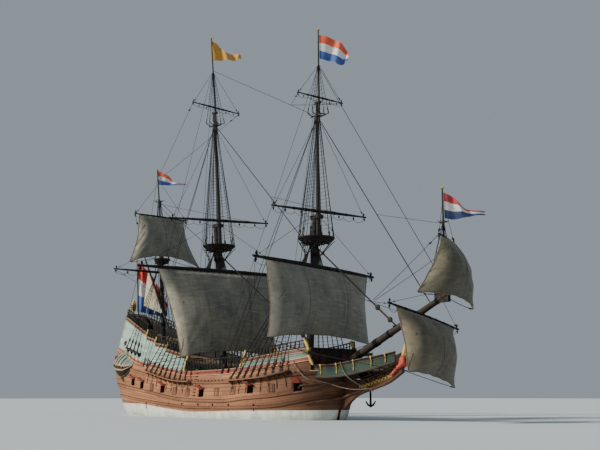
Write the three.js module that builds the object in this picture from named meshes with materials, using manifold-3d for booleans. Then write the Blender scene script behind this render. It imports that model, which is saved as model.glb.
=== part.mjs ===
// A 1:10 model of a three-masted, square-rigged, seventeenth-century ship.
// Sizes below are in metres of the real ship. M turns them into millimetres of the model.
// +X is the bow, +Y is port, +Z is up, and the origin is amidships at the waterline.
import * as THREE from 'three';
import { mergeVertices } from 'three/addons/utils/BufferGeometryUtils.js';
import Module from 'manifold-3d';

const wasm = await Module();
wasm.setup();

const M = 100;
const GAP = 0.003;
const CLEAR = 0.005;
const DEGREE = Math.PI / 180;
const group = new THREE.Group();
group.name = 'ship';

// Colours of the finished pieces
const COLOURS = {
  oiled: [0x9a5428, 0.65, 0], deck: [0xa98358, 0.8, 0], green: [0x87a894, 0.6, 0],
  darkgreen: [0x2f4a3a, 0.6, 0], spar: [0x3a2c22, 0.6, 0], mast: [0x6b4526, 0.6, 0],
  gold: [0xc8963a, 0.4, 0], red: [0xa8281e, 0.5, 0], tar: [0x1d1a18, 0.7, 0],
  iron: [0x2a2a2c, 0.5, 0.6], canvas: [0xa39a86, 0.9, 0],
};

function add(name, geometry, colour) {
  const [hex, roughness, metalness] = COLOURS[colour];
  const material = new THREE.MeshStandardMaterial({ color: hex, roughness, metalness });
  const mesh = new THREE.Mesh(geometry, material);
  mesh.name = name;
  group.add(mesh);
  return mesh;
}

// A smooth curve through a short table of [where, value] pairs
function curve(table) {
  const n = table.length;
  const slope = [];
  for (let i = 0; i < n - 1; i++) {
    slope.push((table[i + 1][1] - table[i][1]) / (table[i + 1][0] - table[i][0]));
  }
  const tangent = table.map((row, i) => {
    if (i === 0) return slope[0];
    if (i === n - 1) return slope[n - 2];
    return slope[i - 1] * slope[i] <= 0 ? 0 : (2 * slope[i - 1] * slope[i]) / (slope[i - 1] + slope[i]);
  });
  return (at) => {
    if (at <= table[0][0]) return table[0][1];
    if (at >= table[n - 1][0]) return table[n - 1][1];
    let i = 0;
    while (at > table[i + 1][0]) i++;
    const h = table[i + 1][0] - table[i][0];
    const t = (at - table[i][0]) / h;
    const t2 = t * t;
    const t3 = t2 * t;
    return table[i][1] * (2 * t3 - 3 * t2 + 1) + tangent[i] * h * (t3 - 2 * t2 + t)
      + table[i + 1][1] * (3 * t2 - 2 * t3) + tangent[i + 1] * h * (t3 - t2);
  };
}

// Straight lines between the rows of a table
function steps(table) {
  return (at) => {
    if (at <= table[0][0]) return table[0][1];
    for (let i = 0; i < table.length - 1; i++) {
      const [x0, y0] = table[i];
      const [x1, y1] = table[i + 1];
      if (at <= x1) return y0 + ((y1 - y0) * (at - x0)) / (x1 - x0);
    }
    return table[table.length - 1][1];
  };
}

// A closed body from rings of points, with a cap on the first and the last ring
function loft(rings) {
  const size = rings[0].length;
  const position = [];
  for (const ring of rings) {
    for (const [x, y, z] of ring) position.push(x * M, y * M, z * M);
  }
  const index = [];
  for (let i = 0; i < rings.length - 1; i++) {
    for (let j = 0; j < size; j++) {
      const a = i * size + j;
      const b = i * size + ((j + 1) % size);
      index.push(a, b, a + size, b, b + size, a + size);
    }
  }
  for (const [start, ring] of [[0, rings[0]], [(rings.length - 1) * size, rings[rings.length - 1]]]) {
    for (const [a, b, c] of flatCap(ring)) {
      if (start === 0) index.push(start + a, start + c, start + b);
      else index.push(start + a, start + b, start + c);
    }
  }
  const geometry = new THREE.BufferGeometry();
  geometry.setAttribute('position', new THREE.Float32BufferAttribute(position, 3));
  geometry.setIndex(index);
  return outward(geometry);
}

// The triangles that fill one ring, in the ring's own direction
function flatCap(ring) {
  const normal = new THREE.Vector3();
  for (let i = 0; i < ring.length; i++) {
    const [ax, ay, az] = ring[i];
    const [bx, by, bz] = ring[(i + 1) % ring.length];
    normal.x += (ay - by) * (az + bz);
    normal.y += (az - bz) * (ax + bx);
    normal.z += (ax - bx) * (ay + by);
  }
  normal.normalize();
  const side = new THREE.Vector3(0, 0, 1);
  if (Math.abs(normal.z) > 0.9) side.set(1, 0, 0);
  const across = new THREE.Vector3().crossVectors(side, normal).normalize();
  const up = new THREE.Vector3().crossVectors(normal, across);
  const flat = ring.map(([x, y, z]) => {
    const p = new THREE.Vector3(x, y, z);
    return new THREE.Vector2(p.dot(across), p.dot(up));
  });
  return THREE.ShapeUtils.triangulateShape(flat, []);
}

// Turns a closed body's faces outwards
function outward(geometry) {
  const p = geometry.attributes.position;
  const index = geometry.index.array;
  let volume = 0;
  for (let i = 0; i < index.length; i += 3) {
    const [a, b, c] = [index[i], index[i + 1], index[i + 2]];
    volume += p.getX(a) * (p.getY(b) * p.getZ(c) - p.getZ(b) * p.getY(c))
      - p.getY(a) * (p.getX(b) * p.getZ(c) - p.getZ(b) * p.getX(c))
      + p.getZ(a) * (p.getX(b) * p.getY(c) - p.getY(b) * p.getX(c));
  }
  if (volume < 0) {
    const turned = [];
    for (let i = 0; i < index.length; i += 3) turned.push(index[i], index[i + 2], index[i + 1]);
    geometry.setIndex(turned);
  }
  return geometry;
}

function toSolid(geometry) {
  const plain = geometry.clone();
  for (const key of Object.keys(plain.attributes)) {
    if (key !== 'position') plain.deleteAttribute(key);
  }
  const merged = mergeVertices(plain, 1e-4);
  return new wasm.Manifold(new wasm.Mesh({
    numProp: 3,
    vertProperties: new Float32Array(merged.attributes.position.array),
    triVerts: new Uint32Array(merged.index.array),
  }));
}

function fromSolid(solid) {
  const mesh = solid.getMesh();
  const geometry = new THREE.BufferGeometry();
  const position = [];
  for (let i = 0; i < mesh.vertProperties.length; i += mesh.numProp) {
    position.push(mesh.vertProperties[i], mesh.vertProperties[i + 1], mesh.vertProperties[i + 2]);
  }
  geometry.setAttribute('position', new THREE.Float32BufferAttribute(position, 3));
  geometry.setIndex(Array.from(mesh.triVerts));
  return geometry;
}

function join(...geometries) {
  return fromSolid(geometries.map(toSolid).reduce((sum, solid) => sum.add(solid)));
}

function cut(geometry, ...tools) {
  return fromSolid(tools.map(toSolid).reduce((rest, tool) => rest.subtract(tool), toSolid(geometry)));
}

// Slides a piece in a direction until it lies GAP away from what carries it
function seat(geometry, carrier, towards) {
  let piece = toSolid(geometry);
  const on = toSolid(carrier);
  for (let i = 0; i < 8; i++) {
    const left = piece.minGap(on, 60) - GAP * M;
    if (Math.abs(left) < 0.02) break;
    piece = piece.translate(towards.map((v) => v * left));
  }
  return fromSolid(piece);
}

function box(x0, x1, y0, y1, z0, z1) {
  return loft([x0, x1].map((x) => [[x, y0, z0], [x, y1, z0], [x, y1, z1], [x, y0, z1]]));
}

// A round bar along a path of points, each with its radius
function bar(path, sides = 12) {
  const points = path.map(([x, y, z]) => new THREE.Vector3(x, y, z));
  const start = points[1].clone().sub(points[0]).normalize();
  const helper = Math.abs(start.z) > 0.8 ? new THREE.Vector3(1, 0, 0) : new THREE.Vector3(0, 0, 1);
  let across = new THREE.Vector3().crossVectors(start, helper).normalize();
  return loft(points.map((point, i) => {
    const before = points[Math.max(i - 1, 0)];
    const after = points[Math.min(i + 1, points.length - 1)];
    const along = after.clone().sub(before).normalize();
    across = across.clone().addScaledVector(along, -across.dot(along)).normalize();
    const up = new THREE.Vector3().crossVectors(along, across);
    const radius = path[i][3];
    return Array.from({ length: sides }, (_, j) => {
      const angle = (2 * Math.PI * j) / sides;
      const p = point.clone().addScaledVector(across, radius * Math.cos(angle))
        .addScaledVector(up, radius * Math.sin(angle));
      return [p.x, p.y, p.z];
    });
  }));
}

// A turned body on the line from a base point along a direction, from [height, radius] rows
function turned(base, direction, profile, sides = 12) {
  return bar(profile.map(([h, radius]) => [
    base[0] + direction[0] * h, base[1] + direction[1] * h, base[2] + direction[2] * h, radius,
  ]), sides);
}

// Hull form: half breadths and end profiles, in metres
const KEEL = -5.1;
const MIDSHIP = curve([[-5.1, 0.18], [-4.95, 0.9], [-4.7, 2.0], [-4.2, 3.1], [-3.2, 4.1], [-2, 4.75],
  [-0.8, 5.1], [0.9, 5.25], [2.5, 5.15], [4, 4.95], [5.5, 4.65], [7, 4.25], [9, 3.8], [11, 3.35],
  [14.5, 2.8]]);
const TRANSOM = curve([[-5.1, 0.18], [-2.8, 0.18], [-1.5, 0.7], [0, 1.65], [1.5, 2.4], [3.4, 2.95],
  [5, 3.4], [7, 3.3], [9.2, 2.95], [11, 2.45], [13.5, 1.8], [15, 1.5]]);
const STERN_X = curve([[-5.1, -20.5], [-2.8, -20.75], [0, -20.95], [1.5, -21.13], [3.4, -21.2],
  [5, -21.41], [9.2, -21.86], [15, -22.35]]);
const STEM_X = curve([[-5.1, 13.5], [-4.9, 15], [-4, 17.6], [-2.5, 19.5], [-1, 20.45], [0, 20.75],
  [1.5, 21.2], [3, 21.7], [4.5, 22.1], [5.4, 22.3], [9, 22.6]]);
const RUN_POWER = curve([[-5, 1.3], [-4, 1.5], [0, 2.2], [4, 2.6], [9, 2], [14, 2]]);
const BOW_POWER = curve([[-4.5, 1.7], [-2, 2.2], [0, 2.8], [3, 4], [6, 6], [7, 7]]);
const AFT_START = -3;
const BOW_START = 4;
const STEM_HALF = 0.18;

// The hull that cuts its neighbours is this much wider all round
let swell = 0;

function halfBreadth(x, z) {
  const mid = MIDSHIP(z);
  if (x < AFT_START) {
    const s = Math.min((AFT_START - x) / (AFT_START - STERN_X(z)), 1);
    return mid - (mid - Math.min(TRANSOM(z), mid)) * s ** RUN_POWER(z) + swell;
  }
  if (x > BOW_START) {
    const s = Math.min((x - BOW_START) / (STEM_X(z) - BOW_START), 1);
    return Math.max(mid * (1 - s ** BOW_POWER(z)) ** 0.46, STEM_HALF) + swell;
  }
  return mid + swell;
}

function swollen(make) {
  swell = GAP;
  const geometry = make();
  swell = 0;
  return geometry;
}

// Heights along the ship, in metres
const SHEER_LINE = curve([[-22, 9.35], [-21.2, 9.15], [-14.5, 7.19], [-8.9, 6.37], [-0.5, 5.45], [5.6, 5.5],
  [9.6, 5.65], [17.3, 6.19], [20.3, 6.56]]);

// Hull stations forward from the transom; the waist well is between the two breaks
const BREAK_AFT = -2.0;
const BREAK_FORE = 9.8;
const BEAK_BULKHEAD = 20.2;
const BEAK_TOP = 5.15;
const HULL_STATIONS = [-21.86, -21.4, -20.5, -19, -17, -14.5, -12, -9, -6, -3, BREAK_AFT - 0.01, BREAK_AFT,
  0, 2, 4, 6, 8, BREAK_FORE, BREAK_FORE + 0.01, 12, 14, 16, 17.5, 18.7, 19.6, BEAK_BULKHEAD,
  BEAK_BULKHEAD + 0.01, 20.7, 21.2, 21.6, 21.9, 22.15, STEM_X(BEAK_TOP)];
const SHEER = steps(HULL_STATIONS.map((x) => [x, SHEER_LINE(x)]));
const WAIST_DECK = curve([[-2.5, 4.28], [3, 4.15], [10, 4.4]]);
const FORECASTLE_TOP = steps([[9.8, 6.62], [20.2, 7.55]]);
const QUARTERDECK = steps([[-13.7, 8.3], [-2, 6.35]]);
const POOP_DECK = steps([[-22.4, 12.0], [-13.7, 9.95]]);
const QUARTER_RAIL = steps([[-13.68, 10.41], [-10.76, 9.8], [-10.75, 9.37], [-7.37, 8.94],
  [-7.36, 8.46], [-2.0, 7.42]]);
const POOP_RAIL = steps([[-22.4, 13.85], [-13.7, 10.85]]);
const WALL = 0.2;
const POOP_START = -13.7;
const TAFFRAIL_INSIDE = -21.695;
const RAKE_START = -19.5;

// A hull ring at one station: s is -1 at the transom, 0 amidships and 1 at the stem
function stationX(s, z) {
  if (s < 0) return AFT_START + (STERN_X(z) - AFT_START) * -s;
  return BOW_START + (STEM_X(z) - BOW_START) * s;
}

// The station whose side passes through x at height z
function stationOf(x, z) {
  if (x < AFT_START) return -(AFT_START - x) / (AFT_START - STERN_X(z));
  return (x - BOW_START) / (STEM_X(z) - BOW_START);
}

const LEVELS = [0, 0.012, 0.035, 0.07, 0.12, 0.19, 0.28, 0.38, 0.48, 0.58, 0.7, 0.85, 1];

function mirrored(half) {
  const other = half.slice().reverse().filter(([, y]) => y > 1e-6).map(([x, y, z]) => [x, -y, z]);
  return half.concat(other);
}

function hullRing(x, top, well) {
  const inParallel = x >= AFT_START && x <= BOW_START;
  const s = stationOf(x, top);
  const at = (z) => (inParallel ? x : stationX(s, z));
  const half = [[at(KEEL), 0, KEEL]];
  for (const level of LEVELS) {
    const z = KEEL + (top - KEEL) * level;
    half.push([at(z), halfBreadth(at(z), z), z]);
  }
  const edge = Math.max(halfBreadth(x, top) - WALL, STEM_HALF * 0.5);
  half.push([at(top), edge, top]);
  half.push([at(well), edge - 0.02, well]);
  half.push([at(well), 0, well]);
  return mirrored(half);
}

function hullTop(x) {
  return (x > BEAK_BULKHEAD ? BEAK_TOP : SHEER(x)) + swell;
}
const hullShape = () => loft(HULL_STATIONS.map((x) => {
  const inWaist = x >= BREAK_AFT && x <= BREAK_FORE;
  return hullRing(x, hullTop(x), inWaist ? WAIST_DECK(x) : hullTop(x) - 0.004);
}));
const hullBlank = hullShape();
const hullWide = swollen(hullShape);

const blankSolid = toSolid(hullBlank);

// Gunports on the starboard side, with their lids raised: name, x, z of the middle
const PORT_WIDTH = 0.9;
const PORT_HEIGHT = 0.82;
const LID_CLEAR = 0.055;
const LID_THICK = 0.1;
const PORT_DEPTH = 0.75;
const lidOpen = (kind) => (kind === 'fore' ? 112 : 130) * DEGREE;
const GUNPORTS = [
  ['quarter', -15.0, 4.36], ['after', -12.1, 3.93], ['main', -6.33, 3.38],
  ['waist', 2.51, 2.86], ['fore', 11.94, 3.26], ['bow', 18.75, 3.44],
];

// The port's own frame: the hinge line is at the top edge, on the hull's surface
function portFrame(x, z) {
  const top = z + PORT_HEIGHT / 2 + LID_CLEAR;
  const fore = halfBreadth(x + 0.5, top);
  const aft = halfBreadth(x - 0.5, top);
  const along = new THREE.Vector3(1, -(fore - aft), 0).normalize();
  const out = new THREE.Vector3(along.y, -along.x, 0);
  const origin = new THREE.Vector3(x, -halfBreadth(x, top), top).addScaledVector(out, 0.05);
  const end = (a) => origin.clone().addScaledVector(along, a).toArray();
  const feeler = toSolid(bar([[...end(-PORT_WIDTH / 2), 0.014], [...end(PORT_WIDTH / 2), 0.014]], 8));
  let off = feeler.minGap(blankSolid, 60) / M - CLEAR;
  off += feeler.translate(out.clone().multiplyScalar(-off * M).toArray()).minGap(blankSolid, 60) / M - CLEAR;
  origin.addScaledVector(out, -off);
  return { along, out, origin };
}

// A box in that frame, turned about the hinge line: a is along, o is outward, h is up
function portBox(frame, a, o, h, angle = 0) {
  const { along, out, origin } = frame;
  const place = (i, j, k) => {
    const [u, v, w] = [a[i], o[j], h[k]];
    const vv = v * Math.cos(angle) - w * Math.sin(angle);
    const ww = v * Math.sin(angle) + w * Math.cos(angle);
    const p = origin.clone().addScaledVector(along, u).addScaledVector(out, vv);
    return [p.x, p.y, p.z + ww];
  };
  return loft([0, 1].map((i) => [place(i, 0, 0), place(i, 1, 0), place(i, 1, 1), place(i, 0, 1)]));
}

const pockets = GUNPORTS.map(([, x, z]) => portBox(portFrame(x, z),
  [-PORT_WIDTH / 2 - LID_CLEAR, PORT_WIDTH / 2 + LID_CLEAR], [-PORT_DEPTH, 0.5],
  [-PORT_HEIGHT - 2 * LID_CLEAR, 0]));

// Masts and bowsprit: base and head points, with radii, in metres
const MASTS = {
  fore: { base: [16.25, 0, 7.2], head: [17.25, 0, 22.5], r: [0.42, 0.33] },
  main: { base: [0.06, 0, 4.2], head: [-2.45, 0, 24.4], r: [0.46, 0.36] },
  mizzen: { base: [-14.69, 0, 10.2], head: [-16.3, 0, 23.4], r: [0.3, 0.24] },
};
const TOPMASTS = {
  fore: { base: [17.72, 0, 19.2], head: [17.6, 0, 35.9], r: [0.25, 0.17] },
  main: { base: [-1.42, 0, 20.8], head: [-3.42, 0, 40.0], r: [0.27, 0.18] },
  mizzen: { base: [-15.56, 0, 20.9], head: [-17.86, 0, 34.9], r: [0.17, 0.07] },
};
const TOPGALLANTS = {
  fore: { base: [17.96, 0, 33.4], head: [17.86, 0, 44.7], r: [0.14, 0.07] },
  main: { base: [-2.84, 0, 37.3], head: [-4.52, 0, 51.0], r: [0.14, 0.07] },
};
const BOWSPRIT = { base: [20.9, 0, 5.35], head: [36.6, 0, 12.12], r: [0.44, 0.27] };
const SPRIT_MAST = { base: [36.0, 0, 12.17], head: [35.98, 0, 22.3], r: [0.15, 0.07] };

function direction(spar) {
  const d = new THREE.Vector3(...spar.head).sub(new THREE.Vector3(...spar.base));
  return d.normalize().toArray();
}

function pointAt(spar, z) {
  const t = (z - spar.base[2]) / (spar.head[2] - spar.base[2]);
  return [spar.base[0] + (spar.head[0] - spar.base[0]) * t, 0, z];
}

function radiusAt(spar, z) {
  const t = (z - spar.base[2]) / (spar.head[2] - spar.base[2]);
  return spar.r[0] + (spar.r[1] - spar.r[0]) * t;
}

function sparBar(spar, grow = 0, sides = 12) {
  const d = direction(spar);
  const over = grow > 0 ? 0.06 : 0;
  const low = spar.base.map((v, i) => v - d[i] * over);
  const high = spar.head.map((v, i) => v + d[i] * over);
  return bar([[...low, spar.r[0] + grow], [...high, spar.r[1] + grow]], sides);
}

// A lower mast whose foot follows the deck that it stands on
function deckMast(spar, deckHeight) {
  const sides = 12;
  const ring = (p, radius, onDeck) => Array.from({ length: sides }, (_, j) => {
    const angle = (2 * Math.PI * j) / sides;
    const x = p[0] + radius * Math.cos(angle);
    return [x, radius * Math.sin(angle), onDeck ? deckHeight(x) + GAP : p[2]];
  });
  const foot = pointAt(spar, deckHeight(spar.base[0]));
  return loft([ring(foot, spar.r[0], true), ring(spar.head, spar.r[1], false)]);
}

const CAP_LENGTH = 1.5;
const CAP_HEIGHT = 0.45;
function cap(lower, upper) {
  const z = lower.head[2];
  const middle = (pointAt(lower, z)[0] + pointAt(upper, z)[0]) / 2;
  return box(middle - CAP_LENGTH / 2, middle + CAP_LENGTH / 2, -0.36, 0.36, z - CAP_HEIGHT, z + 0.02);
}

const TOP_HEIGHT = { fore: 19.45, main: 21.05, mizzen: 21.0 };
const TOP_RIM = { fore: 2.1, main: 2.1, mizzen: 1.15 };
const TOP_WALL = 0.5;

// A round top: a floor and a flared basket, with a hole that the two masts pass through
function roundTop(kind) {
  const z = TOP_HEIGHT[kind];
  const rim = TOP_RIM[kind];
  const floor = rim * 0.74;
  const x = (pointAt(MASTS[kind], z)[0] + pointAt(TOPMASTS[kind], z)[0]) / 2;
  const outside = turned([x, 0, z], [0, 0, 1], [[0, floor], [0.14, floor + 0.05], [TOP_WALL, rim]], 16);
  const inside = turned([x, 0, z], [0, 0, 1],
    [[0.14, floor - 0.08], [TOP_WALL + 0.1, rim - 0.1]], 16);
  return cut(outside, inside, sparBar(MASTS[kind], CLEAR), sparBar(TOPMASTS[kind], CLEAR));
}

// Trestletrees and crosstrees under a top or a cap, joined to the mast
function trestle(x, z, half, width) {
  return join(
    box(x - half, x + half, -width - 0.08, -width + 0.08, z - 0.3, z),
    box(x - half, x + half, width - 0.08, width + 0.08, z - 0.3, z),
    box(x - 0.12, x + 0.12, -half, half, z - 0.22, z),
  );
}

const deckHeights = { fore: (x) => FORECASTLE_TOP(x) - 0.004, main: WAIST_DECK, mizzen: POOP_DECK };
const mastNodes = {};
for (const kind of ['fore', 'main', 'mizzen']) {
  const lower = MASTS[kind];
  const upper = TOPMASTS[kind];
  const z = TOP_HEIGHT[kind] - GAP;
  const topX = (pointAt(lower, z)[0] + pointAt(upper, z)[0]) / 2;
  const hole = sparBar(upper, CLEAR);
  const cheek = kind === 'mizzen' ? 0.27 : 0.42;
  const mast = join(deckMast(lower, deckHeights[kind]), cap(lower, upper),
    trestle(topX, z, TOP_RIM[kind] * 0.66, cheek),
    box(topX - 0.9, topX + 0.2, -cheek - 0.05, cheek + 0.05, z - 0.3, z - 0.02));
  mastNodes[kind] = cut(mast, hole);
  add(kind === 'fore' ? 'foremast' : `${kind}mast`, mastNodes[kind], 'mast');
  add(`${kind}_top`, roundTop(kind), 'tar');
}
for (const kind of ['fore', 'main']) {
  const topmast = TOPMASTS[kind];
  const gallant = TOPGALLANTS[kind];
  const z = gallant.base[2] + 0.75;
  const x = (pointAt(topmast, z)[0] + pointAt(gallant, z)[0]) / 2;
  const capZ = topmast.head[2];
  add(`${kind}_topmast`, join(sparBar(topmast), sparBar(gallant, 0, 12),
    trestle(x, z, 0.95, 0.2), box(x - 0.5, x + 0.5, -0.2, 0.2, z - 0.3, z - 0.05),
    box(pointAt(topmast, capZ)[0] - 0.25, pointAt(gallant, capZ)[0] + 0.22, -0.2, 0.2, capZ - 0.28, capZ),
    turned(gallant.head, [0, 0, 1], [[-0.05, 0.06], [0.02, 0.17], [0.14, 0.19], [0.26, 0.1]])), 'mast');
}
add('mizzen_topmast', join(sparBar(TOPMASTS.mizzen),
  trestle(pointAt(TOPMASTS.mizzen, 30)[0], 30, 0.6, 0.12),
  turned(TOPMASTS.mizzen.head, [0, 0, 1], [[-0.05, 0.06], [0.02, 0.15], [0.12, 0.17], [0.22, 0.09]])),
'mast');

// Bowsprit, with the round top and the small mast on its end
const bowspritBar = sparBar(BOWSPRIT, 0, 16);
const bowspritHole = bar([[20.0, 0, 5.35 - 0.9 * 0.4312, 0.45], [23.6, 0, 5.35 + 2.7 * 0.4312, 0.45]], 16);
const spritFoot = { base: [36.0, 0, 11.4], head: SPRIT_MAST.head, r: [0.15, 0.07] };
const spritKnee = box(34.7, 36.45, -0.2, 0.2, 11.2, 12.447);
add('bowsprit', cut(join(bowspritBar, spritKnee), sparBar(spritFoot, CLEAR)), 'mast');
const SPRIT_TOP_Z = 12.45;
add('sprit_top', cut(turned([35.6, 0, SPRIT_TOP_Z], [0, 0, 1], [[0, 0.9], [0.1, 0.95], [0.75, 1.3]], 14),
  turned([35.6, 0, SPRIT_TOP_Z], [0, 0, 1], [[0.1, 0.86], [0.85, 1.22]], 14),
  sparBar(spritFoot, CLEAR)), 'tar');
add('sprit_topmast', join(sparBar(spritFoot, 0, 12),
  turned(SPRIT_MAST.head, [0, 0, 1], [[-0.05, 0.06], [0.02, 0.15], [0.12, 0.18], [0.24, 0.09]]),
  trestle(36.0, 18.9, 0.4, 0.1)), 'mast');

// The sternpost, which carries the rudder
const POST_FACE = 0.19;
const sternLine = (z) => -21.42 - 0.0075 * (z + 5.1);
const sternpost = loft([KEEL, -2.8, 0, 1.5, 3.3].map((z) => [
  [STERN_X(z) + 0.3, -0.16, z], [STERN_X(z) + 0.3, 0.16, z], [sternLine(z) + POST_FACE, 0.16, z],
  [sternLine(z) + POST_FACE, -0.16, z]]));

// The hull, with its gunports and the place of the bowsprit cut out
add('hull', cut(join(hullBlank, sternpost), bowspritHole, ...pockets), 'oiled');

// A block of upper works: the hull's side carried up, with a well in it if rail is over deck
function upperRing(x, bottom, top, deck, wall) {
  const s = stationOf(x, bottom);
  const at = (z) => (x > RAKE_START ? x : stationX(s, z));
  const half = [[at(bottom), 0, bottom]];
  for (const t of [0, 0.33, 0.66, 1]) {
    const z = bottom + (top - bottom) * t;
    half.push([at(z), halfBreadth(at(z), z), z]);
  }
  const edge = halfBreadth(at(top), top) - wall;
  half.push([at(top), edge, top]);
  const deckX = x > TAFFRAIL_INSIDE ? x : at(deck);
  half.push([deckX, edge + 0.03, deck]);
  half.push([deckX, 0, deck]);
  return mirrored(half);
}

// Catheads: beams that stand out over the bows
const CATHEAD = { base: [19.7, 2.5, 6.75], head: [21.2, 4.75, 7.0], half: 0.16 };
function cathead(side) {
  const { base, head, half } = CATHEAD;
  return loft([base, head].map(([x, y, z]) => [
    [x + half * 0.83, side * (y - half * 0.55), z - half], [x - half * 0.83, side * (y + half * 0.55), z - half],
    [x - half * 0.83, side * (y + half * 0.55), z + half], [x + half * 0.83, side * (y - half * 0.55), z + half]]));
}

const CASTLE_STATIONS = [BREAK_FORE, 12, 14, 16, 17.5, 18.7, 19.6, BEAK_BULKHEAD - 0.05];
const castleBody = cut(join(loft(CASTLE_STATIONS.map((x) => upperRing(x, SHEER(x) + GAP, FORECASTLE_TOP(x),
  FORECASTLE_TOP(x) - 0.004, WALL))), cathead(-1), cathead(1)), bowspritHole);
add('forecastle', castleBody, 'green');

const RAIL_STEPS = [-10.76, -10.75, -7.37, -7.36];
const QUARTER_STATIONS = [POOP_START + GAP * 2, -12, ...RAIL_STEPS.slice(0, 2), -9, ...RAIL_STEPS.slice(2),
  -6, -3, BREAK_AFT];
const quarterShape = () => loft(QUARTER_STATIONS.map((x) => upperRing(x, SHEER(x) + GAP, QUARTER_RAIL(x),
  QUARTERDECK(x), WALL)));
add('quarterdeck', quarterShape(), 'green');

// A body laid against the hull's side: each row is x, then outward offsets and heights of a ring
function sideBody(side, rows, gap = GAP) {
  return loft(rows.map(([x, outer]) => {
    const inner = outer.slice().reverse();
    const ring = outer.map(([o, z]) => [x, side * (halfBreadth(x, z) + gap + o), z]);
    return ring.concat(inner.map(([, z]) => [x, side * (halfBreadth(x, z) + gap), z]));
  }));
}

// Channels: planks that spread the shrouds: name, end heights, and x of the ends
const CHANNELS = [
  ['main', [[-10.9, 5.75], [-7, 5.0], [-3.2, 4.4], [0.2, 4.2]], 0.75],
  ['fore', [[8.2, 4.25], [11.5, 4.35], [14.5, 4.55], [16.5, 4.85], [18.0, 5.1]], 0.75],
];
const CHANNEL_THICK = 0.14;
for (const [kind, rows, width] of CHANNELS) {
  for (const [name, side] of [['starboard', -1], ['port', 1]]) {
    add(`${kind}_channel_${name}`, cut(sideBody(side, rows.map(([x, z]) => [x,
      [[0.001, z - CHANNEL_THICK], [width, z - CHANNEL_THICK], [width, z], [0.001, z]]]), -0.1), hullWide), 'oiled');
  }
}

// The small mizzen channels belong to the poop's side
const MIZZEN_CHANNEL = [[-18.6, 9.05], [-16.5, 8.55], [-14.2, 8.0]];
const mizzenChannels = [-1, 1].map((side) => sideBody(side, MIZZEN_CHANNEL.map(([x, z]) => [x,
  [[0.001, z - CHANNEL_THICK], [0.5, z - CHANNEL_THICK], [0.5, z], [0.001, z]]]), -0.1));

const POOP_STATIONS = [-21.86, -21.7, -21.69, -21.4, -20.5, -19, -17, -14.5, POOP_START - GAP];
const poopShape = () => loft(POOP_STATIONS.map((x) => upperRing(x, SHEER(x) + GAP, POOP_RAIL(x),
  x < TAFFRAIL_INSIDE ? POOP_RAIL(x) - 0.004 : POOP_DECK(x), WALL)));
const poopBody = join(poopShape(), ...mizzenChannels);
add('poop', poopBody, 'green');

// Forecastle rails: a handrail on posts along each side
for (const [name, side] of [['starboard', -1], ['port', 1]]) {
  const stations = [9.95, 12, 14, 16, 17.6, 18.8, 19.6, 20.05];
  const rail = (x, y0, y1, z0, z1) => {
    const y = halfBreadth(x, FORECASTLE_TOP(x)) - 0.1;
    return [[x, side * (y - y0), z0], [x, side * (y - y1), z0], [x, side * (y - y1), z1], [x, side * (y - y0), z1]];
  };
  const height = (x) => FORECASTLE_TOP(x) + 0.72;
  const hand = loft(stations.map((x) => rail(x, 0, 0.16, height(x) - 0.1, height(x))));
  const posts = stations.map((x, i) => {
    const wide = i === stations.length - 1 ? -0.12 : 0.12;
    return loft([x, x + wide].map((at) => rail(at, 0.02, 0.14,
      Math.max(FORECASTLE_TOP(x), FORECASTLE_TOP(x + wide)) + GAP, height(x) - 0.04)));
  });
  add(`forecastle_rail_${name}`, join(hand, ...posts), 'red');
}

// The side above the hull, a little wider, to cut the galleries: the hull's side carried up with no gap
const GALLERY_STATIONS = [-21.86, -21.4, -20.5, -19, -17, -14.5];
const upperWide = swollen(() => loft(GALLERY_STATIONS.map((x) => upperRing(x, SHEER(x) - 0.2, SHEER(x) + 2,
  SHEER(x) + 1.99, WALL))));

// Quarter galleries: x, bottom, top, and how far each bulges out
const GALLERY = [
  [-21.2, 6.1, 8.3, 0.55], [-20.4, 5.4, 8.75, 0.85], [-19.2, 5.05, 8.75, 0.95],
  [-17.8, 5.2, 8.1, 0.8], [-16.6, 5.9, 7.3, 0.45], [-16.0, 6.5, 6.9, 0.1],
];
for (const [name, side] of [['starboard', -1], ['port', 1]]) {
  add(`quarter_gallery_${name}`, cut(sideBody(side, GALLERY.map(([x, low, high, bulge]) => [x,
    [[0.001, low], [bulge * 0.75, low + (high - low) * 0.22], [bulge, low + (high - low) * 0.5],
      [bulge * 0.8, low + (high - low) * 0.78], [0.001, high]]]), -0.12), hullWide, upperWide), 'green');
}

// The head: knee, side panels, platform and figurehead
const KNEE_HALF = 0.17;
const KNEE_LOWER = [[21.68, 1.06], [24.03, 2.57], [26.8, 3.29], [28.25, 3.71], [30.3, 4.75]];
const KNEE_UPPER = [[30.3, 5.5], [27.2, 4.55], [24.5, 3.95], [22.6, 4.0]];
const stemEdge = [4.0, 3.5, 3, 2.5, 2, 1.5, 1, 0.5, 0.1].map((z) => [STEM_X(z) + 0.04, z]);
const kneeOutline = [...stemEdge, ...KNEE_LOWER, ...KNEE_UPPER];
const kneeBody = seat(loft([-KNEE_HALF, KNEE_HALF].map((y) => kneeOutline.map(([x, z]) => [x, y, z]))),
  hullBlank, [-1, 0, 0]);
add('stem_knee', kneeBody, 'oiled');

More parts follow.
